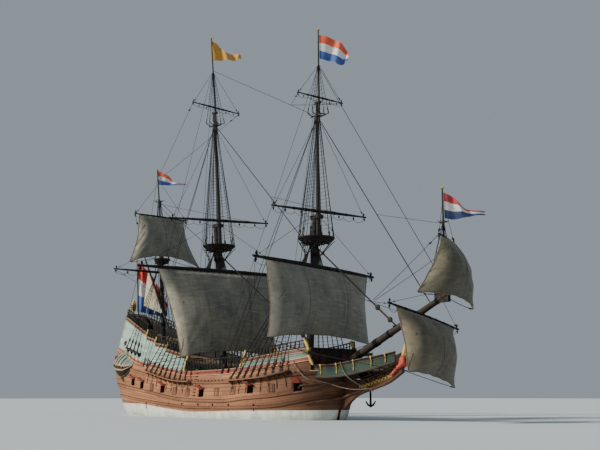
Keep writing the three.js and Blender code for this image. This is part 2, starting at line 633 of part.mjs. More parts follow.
// Head panels: x, half width, low and high edge
const HEAD = [[20.28, 3.0, 4.35, 5.72], [22.2, 2.75, 4.3, 5.72], [24.2, 2.3, 4.45, 5.9],
  [26, 1.85, 4.75, 6.2], [28, 1.3, 5.2, 6.5], [29.8, 0.66, 5.7, 6.85]];
const HEAD_WALL = 0.14;
for (const [name, side] of [['starboard', -1], ['port', 1]]) {
  const panel = loft(HEAD.map(([x, y, low, high]) => [
    [x, side * y, low], [x, side * y, high], [x, side * (y - HEAD_WALL), high], [x, side * (y - HEAD_WALL), low],
  ]));
  add(`head_panel_${name}`, cut(panel, hullWide), 'darkgreen');
}
const PLATFORM_Z = 5.2;
const platformRow = HEAD.slice(0, 5).map(([x, y]) => [x, y - HEAD_WALL - GAP]);
add('beakhead_platform', cut(loft([PLATFORM_Z - 0.04, PLATFORM_Z + 0.06].map((z) => [
  ...platformRow.map(([x, y]) => [x, y, z]),
  ...platformRow.slice().reverse().map(([x, y]) => [x, -y, z]),
])), bar([[20.0, 0, 4.96, 0.46], [26, 0, 7.55, 0.46]], 16)), 'oiled');
add('figurehead', seat(turned([29.95, 0, 5.6], [0.55, 0, 0.83],
  [[0, 0.12], [0.5, 0.24], [1.1, 0.34], [1.7, 0.36], [2.2, 0.4], [2.6, 0.24], [2.75, 0.1]], 14), kneeBody, [0, 0, -1]), 'red');

// Lantern and flagstaff over the stern
const TAFFRAIL_X = -22.3;
add('stern_lantern', seat(join(
  bar([[TAFFRAIL_X - 0.04, 0, 13.3, 0.07], [TAFFRAIL_X - 0.75, 0, 13.9, 0.07],
    [TAFFRAIL_X - 1.1, 0, 14.6, 0.07]], 8),
  turned([TAFFRAIL_X - 1.1, 0, 14.45], [0, 0, 1],
    [[0, 0.12], [0.15, 0.3], [0.3, 0.34], [1.15, 0.45], [1.3, 0.5], [1.65, 0.2], [1.95, 0.05]], 12)),
poopBody, [1, 0, 0]), 'gold');
add('ensign_staff', seat(bar([[-21.55, 0, POOP_DECK(-21.5) + 0.03, 0.1], [-22.9, 0, 22.2, 0.05]], 10),
  poopBody, [0, 0, -1]), 'mast');

// Rudder, on the sternpost's line
const RUDDER = [[-5.0, 1.75], [-4, 1.8], [-2, 1.55], [0, 1.2], [1.6, 0.95], [3.0, 0.8]];
add('rudder', loft(RUDDER.map(([z, length]) => {
  const x = sternLine(z);
  return [[x + POST_FACE - CLEAR, 0, z], [x, 0.16, z], [x - length, 0.11, z], [x - length, -0.11, z],
    [x, -0.16, z]];
})), 'oiled');

// Lids of the gunports, raised, each on a barrel along its hinge line
const BARREL = 0.014;
for (const [kind, x, z] of GUNPORTS) {
  const frame = portFrame(x, z);
  const panel = portBox(frame, [-PORT_WIDTH / 2, PORT_WIDTH / 2], [-LID_THICK, -0.005],
    [-PORT_HEIGHT - LID_CLEAR, -LID_CLEAR], lidOpen(kind));
  const straps = [-0.28, 0.28].map((a) => portBox(frame, [a - 0.06, a + 0.06], [-0.011, 0.008],
    [-LID_CLEAR - 0.05, 0], lidOpen(kind)));
  const end = (a) => frame.origin.clone().addScaledVector(frame.along, a).toArray();
  const barrel = bar([[...end(-PORT_WIDTH / 2), BARREL], [...end(PORT_WIDTH / 2), BARREL]], 8);
  add(`${kind}_port_lid`, join(panel, ...straps, barrel), kind === 'fore' ? 'red' : 'oiled');
}

// Yards: mast, height, half length, thickest radius, brace angle (starboard arm forward is positive),
// and tilt (starboard arm up is positive)
const YARDS = [
  { name: 'fore_yard', spar: MASTS.fore, z: 16.61, half: 10.9, r: 0.28, brace: 11 },
  { name: 'fore_topsail_yard', spar: TOPMASTS.fore, z: 22.86, half: 6.35, r: 0.17, brace: -8 },
  { name: 'fore_topgallant_yard', spar: TOPGALLANTS.fore, z: 36.25, half: 3.3, r: 0.1, brace: -4 },
  { name: 'main_yard', spar: MASTS.main, z: 18.1, half: 11.2, r: 0.3, brace: -10 },
  { name: 'main_topsail_yard', spar: TOPMASTS.main, z: 24.8, half: 6.5, r: 0.18, brace: -22 },
  { name: 'main_topgallant_yard', spar: TOPGALLANTS.main, z: 40.5, half: 3.9, r: 0.11, brace: 1 },
  { name: 'crossjack_yard', spar: MASTS.mizzen, z: 19.5, half: 7.3, r: 0.17, brace: -6 },
  { name: 'mizzen_topsail_yard', spar: TOPMASTS.mizzen, z: 27.65, half: 4.3, r: 0.13, brace: -1 },
  { name: 'sprit_topsail_yard', spar: spritFoot, z: 17.25, half: 3.2, r: 0.12, brace: 27 },
];

function yardSpar(centre, along, half, radius, sides = 8) {
  const rows = [[-1, 0.42], [-0.72, 0.72], [-0.3, 0.98], [0.3, 0.98], [0.72, 0.72], [1, 0.42]];
  return bar(rows.map(([t, k]) => [centre[0] + along[0] * half * t, centre[1] + along[1] * half * t,
    centre[2] + along[2] * half * t, radius * k]), sides);
}

const yardPlaces = {};
const yardBodies = {};
const PARREL_THICK = 0.1;
const PARREL_HEIGHT = 0.3;
for (const { name, spar, z, half, r, brace } of YARDS) {
  const b = brace * DEGREE;
  const mastRadius = radiusAt(spar, z - PARREL_HEIGHT / 2);
  const hole = (mastRadius + CLEAR) / Math.cos(Math.PI / 14);
  const centreOn = pointAt(spar, z);
  const reach = mastRadius + 0.055 + r;
  const centre = [centreOn[0] + reach * Math.cos(b), reach * Math.sin(b), z];
  const along = [Math.sin(b), -Math.cos(b), 0];
  const axis = direction(spar);
  const ring = cut(
    turned(centreOn, axis, [[-PARREL_HEIGHT / 2, mastRadius + PARREL_THICK + 0.03],
      [PARREL_HEIGHT / 2, mastRadius + PARREL_THICK + 0.03]], 14),
    turned(centreOn, axis, [[-PARREL_HEIGHT, hole], [PARREL_HEIGHT, hole]], 14));
  yardPlaces[name] = { centre, along, axis, centreOn, half, r, forward: [Math.cos(b), Math.sin(b), 0] };
  yardBodies[name] = join(yardSpar(centre, along, half, r), ring);
  add(name, yardBodies[name], 'spar');
}

// The spritsail yard hangs under the bowsprit on a sling
const SPRIT_YARD = { half: 6, r: 0.17, brace: 7.6 * DEGREE, tilt: 8.8 * DEGREE, z: 9.9, x: 33.3 };
{
  const { half, r, brace, tilt, z, x } = SPRIT_YARD;
  const along = [Math.sin(brace) * Math.cos(tilt), -Math.cos(brace) * Math.cos(tilt), Math.sin(tilt)];
  const up = [-direction(BOWSPRIT)[2], 0, direction(BOWSPRIT)[0]];
  yardPlaces.spritsail_yard = { centre: [x, 0, z], along, axis: up, centreOn: [x, 0, z], half, r,
    forward: [Math.cos(brace), Math.sin(brace), 0] };
  const sling = bar([[x, 0, z, 0.06], [x + up[0] * (r + 0.09), 0, z + up[2] * (r + 0.09), 0.06]], 10);
  yardBodies.spritsail_yard = seat(join(yardSpar([x, 0, z], along, half, r), sling), bowspritBar, up);
  add('spritsail_yard', yardBodies.spritsail_yard, 'spar');
}

// The lateen yard stands steeply along the mizzen mast, to starboard of it
const LATEEN_R = 0.16;
const LATEEN_Y = -(radiusAt(MASTS.mizzen, 15) + LATEEN_R + GAP);
const LATEEN = { low: [-11.3, LATEEN_Y, 9.35], high: [-20.0, LATEEN_Y, 22.4] };
const lateenAt = (t) => LATEEN.low.map((v, i) => v + (LATEEN.high[i] - v) * t);
const lateenBar = bar([[...LATEEN.low, 0.1], [...lateenAt(0.1), LATEEN_R], [...lateenAt(0.86), LATEEN_R],
  [...LATEEN.high, 0.07]], 8);
add('lateen_yard', lateenBar, 'spar');

// Sails: a thin closed sheet from a grid of points
const SAIL_THICK = 0.06;
function sailBody(point, across, down, thick = SAIL_THICK) {
  const grid = [];
  for (let i = 0; i <= across; i++) {
    const row = [];
    for (let j = 0; j <= down; j++) row.push(new THREE.Vector3(...point(i / across, j / down)));
    grid.push(row);
  }
  const front = [];
  const back = [];
  for (let i = 0; i <= across; i++) {
    for (let j = 0; j <= down; j++) {
      const du = grid[Math.min(i + 1, across)][j].clone().sub(grid[Math.max(i - 1, 0)][j]);
      const dv = grid[i][Math.min(j + 1, down)].clone().sub(grid[i][Math.max(j - 1, 0)]);
      const normal = du.cross(dv).normalize().multiplyScalar(thick / 2);
      front.push(grid[i][j].clone().add(normal));
      back.push(grid[i][j].clone().sub(normal));
    }
  }
  const size = (across + 1) * (down + 1);
  const at = (i, j) => i * (down + 1) + j;
  const index = [];
  for (let i = 0; i < across; i++) {
    for (let j = 0; j < down; j++) {
      const [a, b, c, d] = [at(i, j), at(i + 1, j), at(i + 1, j + 1), at(i, j + 1)];
      index.push(a, b, c, a, c, d);
      index.push(size + a, size + c, size + b, size + a, size + d, size + c);
    }
  }
  const edge = [];
  for (let i = 0; i < across; i++) edge.push([at(i, 0), at(i + 1, 0)]);
  for (let j = 0; j < down; j++) edge.push([at(across, j), at(across, j + 1)]);
  for (let i = across; i > 0; i--) edge.push([at(i, down), at(i - 1, down)]);
  for (let j = down; j > 0; j--) edge.push([at(0, j), at(0, j - 1)]);
  for (const [a, b] of edge) index.push(a, size + a, b, b, size + a, size + b);
  const geometry = new THREE.BufferGeometry();
  const position = [...front, ...back].flatMap((p) => [p.x * M, p.y * M, p.z * M]);
  geometry.setAttribute('position', new THREE.Float32BufferAttribute(position, 3));
  geometry.setIndex(index);
  return outward(geometry);
}

// A square sail under its yard: half widths of the head and foot, drop at the clews and in the middle,
// how far the foot stands forward, and the belly
const SAILS = [
  { name: 'fore_course', yard: 'fore_yard', head: 9.15, foot: 8.95, drop: 8.0, rise: 0.65, ahead: [0.3, 0.2],
    belly: 1.3 },
  { name: 'main_course', yard: 'main_yard', head: 8.6, foot: 6.4, drop: 10.8, rise: 0.9, ahead: [2.6, 2.6],
    belly: 1.7 },
  { name: 'mizzen_topsail', yard: 'mizzen_topsail_yard', head: 3.55, foot: 5.5, drop: 7.0, rise: 1.2,
    ahead: [1.7, 1.3], belly: 0.9 },
  { name: 'spritsail', yard: 'spritsail_yard', head: 4.9, foot: 4.7, drop: 5.9, rise: 0.3, ahead: [0.0, 1.0],
    belly: 1.8 },
  { name: 'sprit_topsail', yard: 'sprit_topsail_yard', head: 2.55, foot: 4.4, drop: 6.3, rise: 0.2,
    ahead: [1.2, -1.9], belly: 1.4, hauledUp: 1.0, twist: 3 },
];
for (const sail of SAILS) {
  const { centre, along, forward, r } = yardPlaces[sail.yard];
  const lace = (0.98 * r + SAIL_THICK / 2 + GAP) * Math.SQRT1_2;
  const point = (u, v) => {
    const t = 1 - 2 * u;
    const width = sail.head + (sail.foot - sail.head) * v - 0.5 * Math.sin(Math.PI * v);
    const ahead = sail.ahead[0] + (sail.ahead[1] - sail.ahead[0]) * (1 - u) ** (sail.twist ?? 1);
    const drop = sail.drop - (sail.hauledUp ?? 0) * (1 - u);
    const lift = sail.rise * (1 - t * t);
    const out = lace + ahead * v ** 1.3
      + sail.belly * Math.sin(Math.PI * Math.min(0.85 * v + 0.08, 1)) * (1 - t ** 4) * (v > 0 ? 1 : 0);
    const a = t * width;
    return [centre[0] + along[0] * a + forward[0] * out, centre[1] + along[1] * a + forward[1] * out,
      centre[2] + along[2] * a - lace - (drop - lift) * v];
  };
  add(sail.name, seat(sailBody(point, 8, 6), yardBodies[sail.yard],
    [-forward[0] * Math.SQRT1_2, -forward[1] * Math.SQRT1_2, Math.SQRT1_2]), 'canvas');
}

// The lateen sail: it is laced along the yard's lower side, with a clew aft and a foot
const LATEEN_CLEW = [-18.9, -0.9, 15.1];
const LATEEN_SAIL = { from: 0.36, to: 0.84 };
const lateenWay = direction({ base: LATEEN.low, head: LATEEN.high });
add('lateen_sail', seat(sailBody((u, v) => {
  const d = lateenWay;
  const lace = LATEEN_R + SAIL_THICK / 2 + GAP;
  const onYard = (t) => lateenAt(t).map((value, i) => value + [-d[2], 0, d[0]][i] * lace);
  const t = LATEEN_SAIL.from + (LATEEN_SAIL.to - LATEEN_SAIL.from) * u;
  const head = new THREE.Vector3(...onYard(t));
  const foot = new THREE.Vector3(...onYard(LATEEN_SAIL.from)).lerp(new THREE.Vector3(...LATEEN_CLEW), u);
  const p = head.lerp(foot, v);
  return [p.x - 0.02 * v, p.y - 0.45 * Math.sin(Math.PI * u) * Math.sin(Math.PI * v), p.z - 0.25 * v * (1 - u)];
}, 4, 4), lateenBar, [lateenWay[2], 0, -lateenWay[0]]), 'canvas');

// Main stays, from the front of each masthead down to the spar ahead
const STAYS = [
  ['forestay', MASTS.fore, 18.95, BOWSPRIT, 29.5, 0.075],
  ['mainstay', MASTS.main, 20.4, MASTS.fore, 8.6, 0.08],
  ['mizzen_stay', MASTS.mizzen, 20.4, MASTS.main, 8.6, 0.05],
];
for (const [name, from, z0, to, at, radius] of STAYS) {
  const start = new THREE.Vector3(...pointAt(from, z0));
  const end = new THREE.Vector3();
  if (to === BOWSPRIT) end.set(at, 0, to.base[2] + (at - to.base[0]) * 0.4312);
  else end.set(...pointAt(to, at));
  const along = end.clone().sub(start).normalize();
  const carriers = [from, to].map((spar) => toSolid(sparBar(spar, 0)));
  const ends = [1.4, 1.4];
  let stay;
  for (let i = 0; i < 8; i++) {
    const a = start.clone().addScaledVector(along, ends[0]).toArray();
    const b = end.clone().addScaledVector(along, -ends[1]).toArray();
    stay = bar([[...a, radius], [...b, radius]], 8);
    carriers.forEach((carrier, k) => {
      ends[k] -= toSolid(stay).minGap(carrier, 200) / M - GAP;
    });
  }
  add(name, stay, 'tar');
}

// The port anchor, hanging by its tackle from the port cathead
const ANCHOR = [CATHEAD.head[0] - 0.2, CATHEAD.head[1] - 0.15, 3.6];
add('anchor', seat(join(
  bar([[ANCHOR[0], ANCHOR[1], CATHEAD.head[2] - 0.3, 0.05], [...ANCHOR, 0.05]], 8),
  bar([[...ANCHOR, 0.09], [ANCHOR[0], ANCHOR[1], ANCHOR[2] - 2.3, 0.13]], 8),
  bar([[ANCHOR[0] - 0.75, ANCHOR[1], ANCHOR[2] - 1.75, 0.07], [ANCHOR[0] - 0.4, ANCHOR[1], ANCHOR[2] - 2.15, 0.11],
    [ANCHOR[0], ANCHOR[1], ANCHOR[2] - 2.3, 0.13], [ANCHOR[0] + 0.4, ANCHOR[1], ANCHOR[2] - 2.15, 0.11],
    [ANCHOR[0] + 0.75, ANCHOR[1], ANCHOR[2] - 1.75, 0.07]], 8),
  box(ANCHOR[0] - 0.12, ANCHOR[0] + 0.12, ANCHOR[1] - 0.9, ANCHOR[1] + 0.9, ANCHOR[2] - 0.35, ANCHOR[2] - 0.15),
), castleBody, [0, 0, 1]), 'iron');

export default group;
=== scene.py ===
"""The looks of a 1:10 model of a three-masted sailing ship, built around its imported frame.

Lengths are metres of the real ship unless a name says otherwise, and SCALE turns them into the model's
metres. +X is the bow, +Y is port, +Z is up, and the origin is amidships at the waterline.
"""

import math
import random

import bmesh
import bpy
from bpy.props import FloatProperty, FloatVectorProperty, IntProperty, PointerProperty
from mathutils import Matrix, Vector, noise


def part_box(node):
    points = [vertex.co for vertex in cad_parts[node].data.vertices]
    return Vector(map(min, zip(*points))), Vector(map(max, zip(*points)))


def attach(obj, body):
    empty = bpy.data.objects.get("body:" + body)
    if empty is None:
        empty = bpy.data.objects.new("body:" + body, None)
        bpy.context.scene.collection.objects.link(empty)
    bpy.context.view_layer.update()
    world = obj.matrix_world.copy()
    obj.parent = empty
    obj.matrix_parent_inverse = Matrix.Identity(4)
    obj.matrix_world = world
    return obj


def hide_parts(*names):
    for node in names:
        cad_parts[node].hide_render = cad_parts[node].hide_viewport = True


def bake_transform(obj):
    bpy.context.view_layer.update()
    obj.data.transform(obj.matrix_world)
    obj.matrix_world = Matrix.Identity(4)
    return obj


bl_info = {
    "name": "Tall ship looks",
    "version": (1, 0, 0),
    "blender": (4, 5, 0),
    "location": "View3D > Sidebar > Tall ship",
    "description": "Hull, spars, sails, flags and rigging of a square-rigged ship",
    "category": "Object",
}

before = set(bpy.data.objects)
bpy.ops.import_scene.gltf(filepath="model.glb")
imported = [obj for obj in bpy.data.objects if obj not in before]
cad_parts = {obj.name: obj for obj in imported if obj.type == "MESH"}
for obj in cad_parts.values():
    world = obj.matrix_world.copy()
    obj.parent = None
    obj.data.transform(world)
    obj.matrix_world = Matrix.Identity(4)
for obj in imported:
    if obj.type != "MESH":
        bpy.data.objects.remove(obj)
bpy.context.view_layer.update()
SCALE = 0.1
SIDES = (("starboard", -1), ("port", 1))
UP = Vector((0, 0, 1))
# Points of a piece that lie closer than this, in the model's metres, become one
WELD = 1e-4 * SCALE


# Curves along the ship
def curve(table):
    """A smooth curve through a short table of (where, value) pairs."""
    count = len(table)
    slopes = [(table[i + 1][1] - table[i][1]) / (table[i + 1][0] - table[i][0]) for i in range(count - 1)]
    tangents = [slopes[0]]
    for a, b in zip(slopes, slopes[1:]):
        tangents.append(0.0 if a * b <= 0 else 2 * a * b / (a + b))
    tangents.append(slopes[-1])

    def value(at):
        if at <= table[0][0]:
            return table[0][1]
        if at >= table[-1][0]:
            return table[-1][1]
        i = next(k for k in range(count - 1) if at <= table[k + 1][0])
        h = table[i + 1][0] - table[i][0]
        t = (at - table[i][0]) / h
        rise = table[i + 1][1] - table[i][1]
        bend = tangents[i] * h * (t**3 - 2 * t**2 + t) + tangents[i + 1] * h * (t**3 - t**2)
        return table[i][1] + rise * (3 * t**2 - 2 * t**3) + bend

    return value


def steps(table):
    """Straight lines between the rows of a table."""

    def value(at):
        if at <= table[0][0]:
            return table[0][1]
        for (x0, y0), (x1, y1) in zip(table, table[1:]):
            if at <= x1:
                return y0 + (y1 - y0) * (at - x0) / (x1 - x0)
        return table[-1][1]

    return value


def spread(low, high, count):
    """Evenly spaced values from low to high, both ends included."""
    return [low + (high - low) * i / (count - 1) for i in range(count)]


# Hull form: half breadths amidships and at the transom, and the profiles of the two ends
KEEL = -5.1
MIDSHIP = curve([(-5.1, 0.18), (-4.95, 0.9), (-4.7, 2.0), (-4.2, 3.1), (-3.2, 4.1), (-2, 4.75), (-0.8, 5.1),
                 (0.9, 5.25), (2.5, 5.15), (4, 4.95), (5.5, 4.65), (7, 4.25), (9, 3.8), (11, 3.35),
                 (14.5, 2.8)])
TRANSOM = curve([(-5.1, 0.18), (-2.8, 0.18), (-1.5, 0.7), (0, 1.65), (1.5, 2.4), (3.4, 2.95), (5, 3.4),
                 (7, 3.3), (9.2, 2.95), (11, 2.45), (13.5, 1.8), (15, 1.5)])
STERN_X = curve([(-5.1, -20.5), (-2.8, -20.75), (0, -20.95), (1.5, -21.13), (3.4, -21.2), (5, -21.41),
                 (9.2, -21.86), (15, -22.35)])
STEM_X = curve([(-5.1, 13.5), (-4.9, 15), (-4, 17.6), (-2.5, 19.5), (-1, 20.45), (0, 20.75), (1.5, 21.2),
                (3, 21.7), (4.5, 22.1), (5.4, 22.3), (9, 22.6)])
RUN_POWER = curve([(-5, 1.3), (-4, 1.5), (0, 2.2), (4, 2.6), (9, 2), (14, 2)])
BOW_POWER = curve([(-4.5, 1.7), (-2, 2.2), (0, 2.8), (3, 4), (6, 6), (7, 7)])
AFT_START, BOW_START, STEM_HALF = -3.0, 4.0, 0.18

# Heights along the ship
SHEER = curve([(-22, 9.35), (-21.2, 9.15), (-14.5, 7.19), (-8.9, 6.37), (-0.5, 5.45), (5.6, 5.5), (9.6, 5.65),
               (17.3, 6.19), (20.3, 6.56)])
BOOT_TOP = curve([(-22.3, 1.62), (-12.5, 1.52), (-5.3, 1.05), (0.4, 0.7), (11.2, 0.93), (21.3, 1.07)])
LOWER_WALE = curve([(-20.5, 2.45), (-9.6, 1.7), (-4, 1.3), (0.5, 1.05), (9, 1.1), (13.3, 1.2), (15.7, 1.33),
                    (18, 1.67), (21, 2.3)])
MIDDLE_WALE = curve([(-20.9, 3.92), (-9.8, 2.83), (-1, 1.91), (6.5, 1.77), (11.2, 2.12), (15.1, 2.35),
                     (17.6, 2.66), (20.1, 3.05), (22, 3.9)])
UPPER_WALE = curve([(-21.4, 7.0), (-14, 5.55), (-8.7, 4.75), (-0.6, 4.02), (5, 3.9), (12.9, 4.1), (17.5, 4.5),
                    (20, 4.69), (22.2, 4.85)])
STRIP_HEIGHT = curve([(-21.5, 0.3), (-12, 0.33), (-5, 0.36), (0, 0.46), (6, 0.5), (12, 0.36), (20.3, 0.3)])
BREAK_AFT, BREAK_FORE = -2.0, 9.8
BEAK_BULKHEAD, BEAK_TOP = 20.2, 5.15
WAIST_DECK = curve([(-2.5, 4.28), (3, 4.15), (10, 4.4)])
FORECASTLE_TOP = steps([(9.8, 6.62), (20.2, 7.55)])
QUARTERDECK = steps([(-13.7, 8.3), (-2, 6.35)])
POOP_DECK = steps([(-22.4, 12.0), (-13.7, 9.95)])
QUARTER_RAIL = steps([(-13.68, 10.41), (-10.76, 9.8), (-10.75, 9.37), (-7.37, 8.94), (-7.36, 8.46),
                      (-2.0, 7.42)])
POOP_RAIL = steps([(-22.4, 13.85), (-13.7, 10.85)])
POOP_START, TAFFRAIL_INSIDE, RAKE_START, WALL = -13.7, -21.695, -19.5, 0.2


def half_breadth(x, z):
    """Half the hull's width at a place along it and a height."""
    mid = MIDSHIP(z)
    if x < AFT_START:
        s = min((AFT_START - x) / (AFT_START - STERN_X(z)), 1)
        return mid - (mid - min(TRANSOM(z), mid)) * s ** RUN_POWER(z)
    if x > BOW_START:
        s = min((x - BOW_START) / (STEM_X(z) - BOW_START), 1)
        return max(mid * max(1 - s ** BOW_POWER(z), 0) ** 0.46, STEM_HALF)
    return mid


def station_of(x, z):
    """Share of the way from amidships to the stern (-1) or the stem (1)."""
    if x < AFT_START:
        return -(AFT_START - x) / (AFT_START - STERN_X(z))
    if x > BOW_START:
        return (x - BOW_START) / (STEM_X(z) - BOW_START)
    return 0.0


def station_x(x, s, z):
    """Where a station lies at a height: the ends follow the stern and stem profiles."""
    if s < 0:
        return AFT_START + (STERN_X(z) - AFT_START) * -s
    if s > 0:
        return BOW_START + (STEM_X(z) - BOW_START) * s
    return x


def on_side(x, z, side, out=0.0):
    """A point on the hull's side, moved out from it."""
    return Vector((x, side * (half_breadth(x, z) + out), z))


def side_out(x, z, side):
    """The level direction that points straight out of the hull's side."""
    slope = half_breadth(x + 0.3, z) - half_breadth(x - 0.3, z)
    return Vector((-slope, side * 0.6, 0)).normalized()


def rudder_line(z):
    """Where the rudder's hinge line lies at a height."""
    return -21.42 - 0.0075 * (z + 5.1)


# Meshes
def frame_of(way):
    """Two directions square to a direction."""
    way = Vector(way).normalized()
    helper = UP if abs(way.z) < 0.9 else Vector((1, 0, 0))
    across = way.cross(helper).normalized()
    return across, across.cross(way)


class Shape:
    """Points and faces of one piece, in metres of the real ship."""

    def __init__(self):
        self.points, self.faces, self.paints, self.uvs = [], [], [], []

    def add(self, points, faces, paint=0, uvs=None):
        start = len(self.points)
        self.points += [tuple(p) for p in points]
        for face in faces:
            self.faces.append([start + i for i in face])
            self.paints.append(paint)
            self.uvs.append([uvs[i] if uvs else (points[i][0], points[i][2] * 3) for i in face])

    def loft(self, rings, paint=0, caps=True, uvs=None, paints=None):
        """Rings of points joined by faces, with a flat cap on each end."""
        size = len(rings[0])
        points = [p for ring in rings for p in ring]
        flat = [uv for ring in uvs for uv in ring] if uvs else None
        for j in range(size):
            k = (j + 1) % size
            faces = [(i * size + j, i * size + k, (i + 1) * size + k, (i + 1) * size + j)
                     for i in range(len(rings) - 1)]
            start = len(self.points)
            if j == 0:
                self.add(points, faces, paints[j] if paints else paint, flat)
                base = start
            else:
                for face in faces:
                    self.faces.append([base + i for i in face])
                    self.paints.append(paints[j] if paints else paint)
                    self.uvs.append([flat[i] if flat else (points[i][0], points[i][2] * 3) for i in face])
        if caps:
            for ring, row in ((rings[0], 0), (rings[-1], len(rings) - 1)):
                self.faces.append([base + row * size + i for i in range(size)])
                self.paints.append(paint)
                self.uvs.append([(p[1], p[2] * 3) for p in ring])

    def tube(self, path, radius, sides=8, paint=0):
        """A round bar along points; radius is a number or one for each point."""
        path = [Vector(p) for p in path]
        radii = radius if isinstance(radius, (list, tuple)) else [radius] * len(path)
        across, _ = frame_of(path[1] - path[0])
        rings = []
        for i, point in enumerate(path):
            along = (path[min(i + 1, len(path) - 1)] - path[max(i - 1, 0)]).normalized()
            across = (across - along * across.dot(along)).normalized()
            up = along.cross(across)
            rings.append([point + across * radii[i] * math.cos(a) + up * radii[i] * math.sin(a)
                          for a in (2 * math.pi * j / sides for j in range(sides))])
        lengths = [sum((b - a).length for a, b in zip(path[:i + 1], path[1:i + 1])) for i in range(len(path))]
        around = [abs(1 - 2 * j / sides) for j in range(sides)]
        self.loft(rings, paint, uvs=[[(u, length) for u in around] for length in lengths])

    def turned(self, base, way, profile, sides=16, paint=0):
        """A turned body from (height, radius) rows."""
        base, way = Vector(base), Vector(way).normalized()
        self.tube([base + way * h for h, _ in profile], [r for _, r in profile], sides, paint)

    def box(self, centre, size, axes=None, paint=0):
        """A box with its edges along three directions."""
        centre = Vector(centre)
        axes = axes or (Vector((1, 0, 0)), Vector((0, 1, 0)), UP)
        points = [centre + sum((axes[k] * size[k] * 0.5 * sign[k] for k in range(3)), Vector())
                  for sign in ((i, j, k) for i in (-1, 1) for j in (-1, 1) for k in (-1, 1))]
        faces = [(0, 1, 3, 2), (4, 6, 7, 5), (0, 4, 5, 1), (2, 3, 7, 6), (0, 2, 6, 4), (1, 5, 7, 3)]
        self.add(points, faces, paint)

    def plank(self, start, end, width, thick, up=(0, 0, 1), paint=0):
        """A straight board between two points."""
        start, end = Vector(start), Vector(end)
        along = (end - start).normalized()
        side = along.cross(Vector(up)).normalized()
        axes = (along, side, side.cross(along))
        self.box((start + end) / 2, ((end - start).length, width, thick), axes, paint)

    def moulding(self, xs, height, side, section, paint=0):
        """A strip along the hull's side: section is (out, up) points, outermost last but one."""
        rings = []
        for x in xs:
            z = height(x)
            rings.append([on_side(x, z + up, side, out) for out, up in section])
        self.loft(rings, paint)

    def make(self, name, materials, sharp=35.0):
        """The mesh object of this shape, in the model's metres."""
        mesh = bpy.data.meshes.new(name)
        mesh.from_pydata([tuple(c * SCALE for c in p) for p in self.points], [], self.faces)
        layer = mesh.uv_layers.new(name="UVMap")
        layer.data.foreach_set("uv", [c for face in self.uvs for uv in face for c in uv])
        mesh.polygons.foreach_set("material_index", self.paints)
        tidy = bmesh.new()
        tidy.from_mesh(mesh)
        bmesh.ops.remove_doubles(tidy, verts=tidy.verts, dist=WELD)
        bmesh.ops.dissolve_degenerate(tidy, edges=tidy.edges, dist=WELD * 0.1)
        bmesh.ops.recalc_face_normals(tidy, faces=tidy.faces)
        tidy.to_mesh(mesh)
        tidy.free()
        mesh.shade_smooth()
        mesh.set_sharp_from_angle(angle=math.radians(sharp))
        piece = bpy.data.objects.new(name, mesh)
        bpy.context.scene.collection.objects.link(piece)
        for material in materials:
            mesh.materials.append(material)
        return piece

    def piece(self, name, finishes, slot, *nodes, body="ship", sharp=35.0):
        """Makes the mesh object and finishes it."""
        return finish_piece(self.make(name, paint_list(*finishes), sharp), body, slot, *nodes)


def finish_piece(piece, body, slot, *nodes):
    """Hands a finished piece to its body and hides the frame's nodes that it stands for; slot is not used."""
    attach(piece, body)
    if nodes:
        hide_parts(*nodes)
    return piece


# Shader nodes
class Finish:
    """A material and a short way to write its nodes."""

    def __init__(self, name, roughness=0.6, metallic=0.0, sheen=0.0, specular=0.2):
        self.material = bpy.data.materials.new(name)
        self.material.use_nodes = True
        self.tree = self.material.node_tree
        self.shader = self.tree.nodes["Principled BSDF"]
        self.shader.inputs["Roughness"].default_value = roughness
        self.shader.inputs["Metallic"].default_value = metallic
        self.shader.inputs["Sheen Weight"].default_value = sheen
        self.shader.inputs["Specular IOR Level"].default_value = specular

    def node(self, kind, inputs=(), **settings):
        made = self.tree.nodes.new(kind)
        for key, value in settings.items():
            setattr(made, key, value)
        for key, value in dict(inputs).items():
            if isinstance(value, bpy.types.NodeSocket):
                self.tree.links.new(value, made.inputs[key])
            else:
                made.inputs[key].default_value = value
        return made

    def math(self, operation, a, b=0.0):
        return self.node("ShaderNodeMath", {0: a, 1: b}, operation=operation).outputs[0]

    def place(self, kind="Object", scale=(1, 1, 1)):
        found = self.node("ShaderNodeTexCoord").outputs[kind]
        return self.node("ShaderNodeMapping", {"Vector": found, "Scale": scale}).outputs[0]

    def cloud(self, vector, scale, detail=4.0, roughness=0.55):
        made = self.node("ShaderNodeTexNoise", {"Vector": vector, "Scale": scale, "Detail": detail,
                                                "Roughness": roughness})
        return made.outputs["Fac"]

    def span(self, value, low, high, to_low=0.0, to_high=1.0):
        made = self.node("ShaderNodeMapRange", {"Value": value, "From Min": low, "From Max": high,
                                                "To Min": to_low, "To Max": to_high})
        return made.outputs[0]

    def mix(self, factor, a, b):
        made = self.node("ShaderNodeMix", data_type="RGBA", blend_type="MIX")
        for key, value in ((0, factor), (6, a), (7, b)):
            if isinstance(value, bpy.types.NodeSocket):
                self.tree.links.new(value, made.inputs[key])
            else:
                made.inputs[key].default_value = value if key == 0 else (*value, 1.0)
        return made.outputs[2]

    def finish(self, colour, height=None, depth=0.001, roughness=None):
        self.tree.links.new(colour, self.shader.inputs["Base Color"])
        if roughness is not None:
            self.tree.links.new(roughness, self.shader.inputs["Roughness"])
        if height is not None:
            bump = self.node("ShaderNodeBump", {"Height": height, "Distance": depth, "Strength": 1.0})
            self.tree.links.new(bump.outputs[0], self.shader.inputs["Normal"])
        return self.material


def shade(colour, factor):
    return tuple(min(c * factor, 1.0) for c in colour)


# Where the painted shade towards the bow starts, and where it is darkest, along the model
BOW_SHADE_FROM, BOW_SHADE_TO = 0.95, 1.95


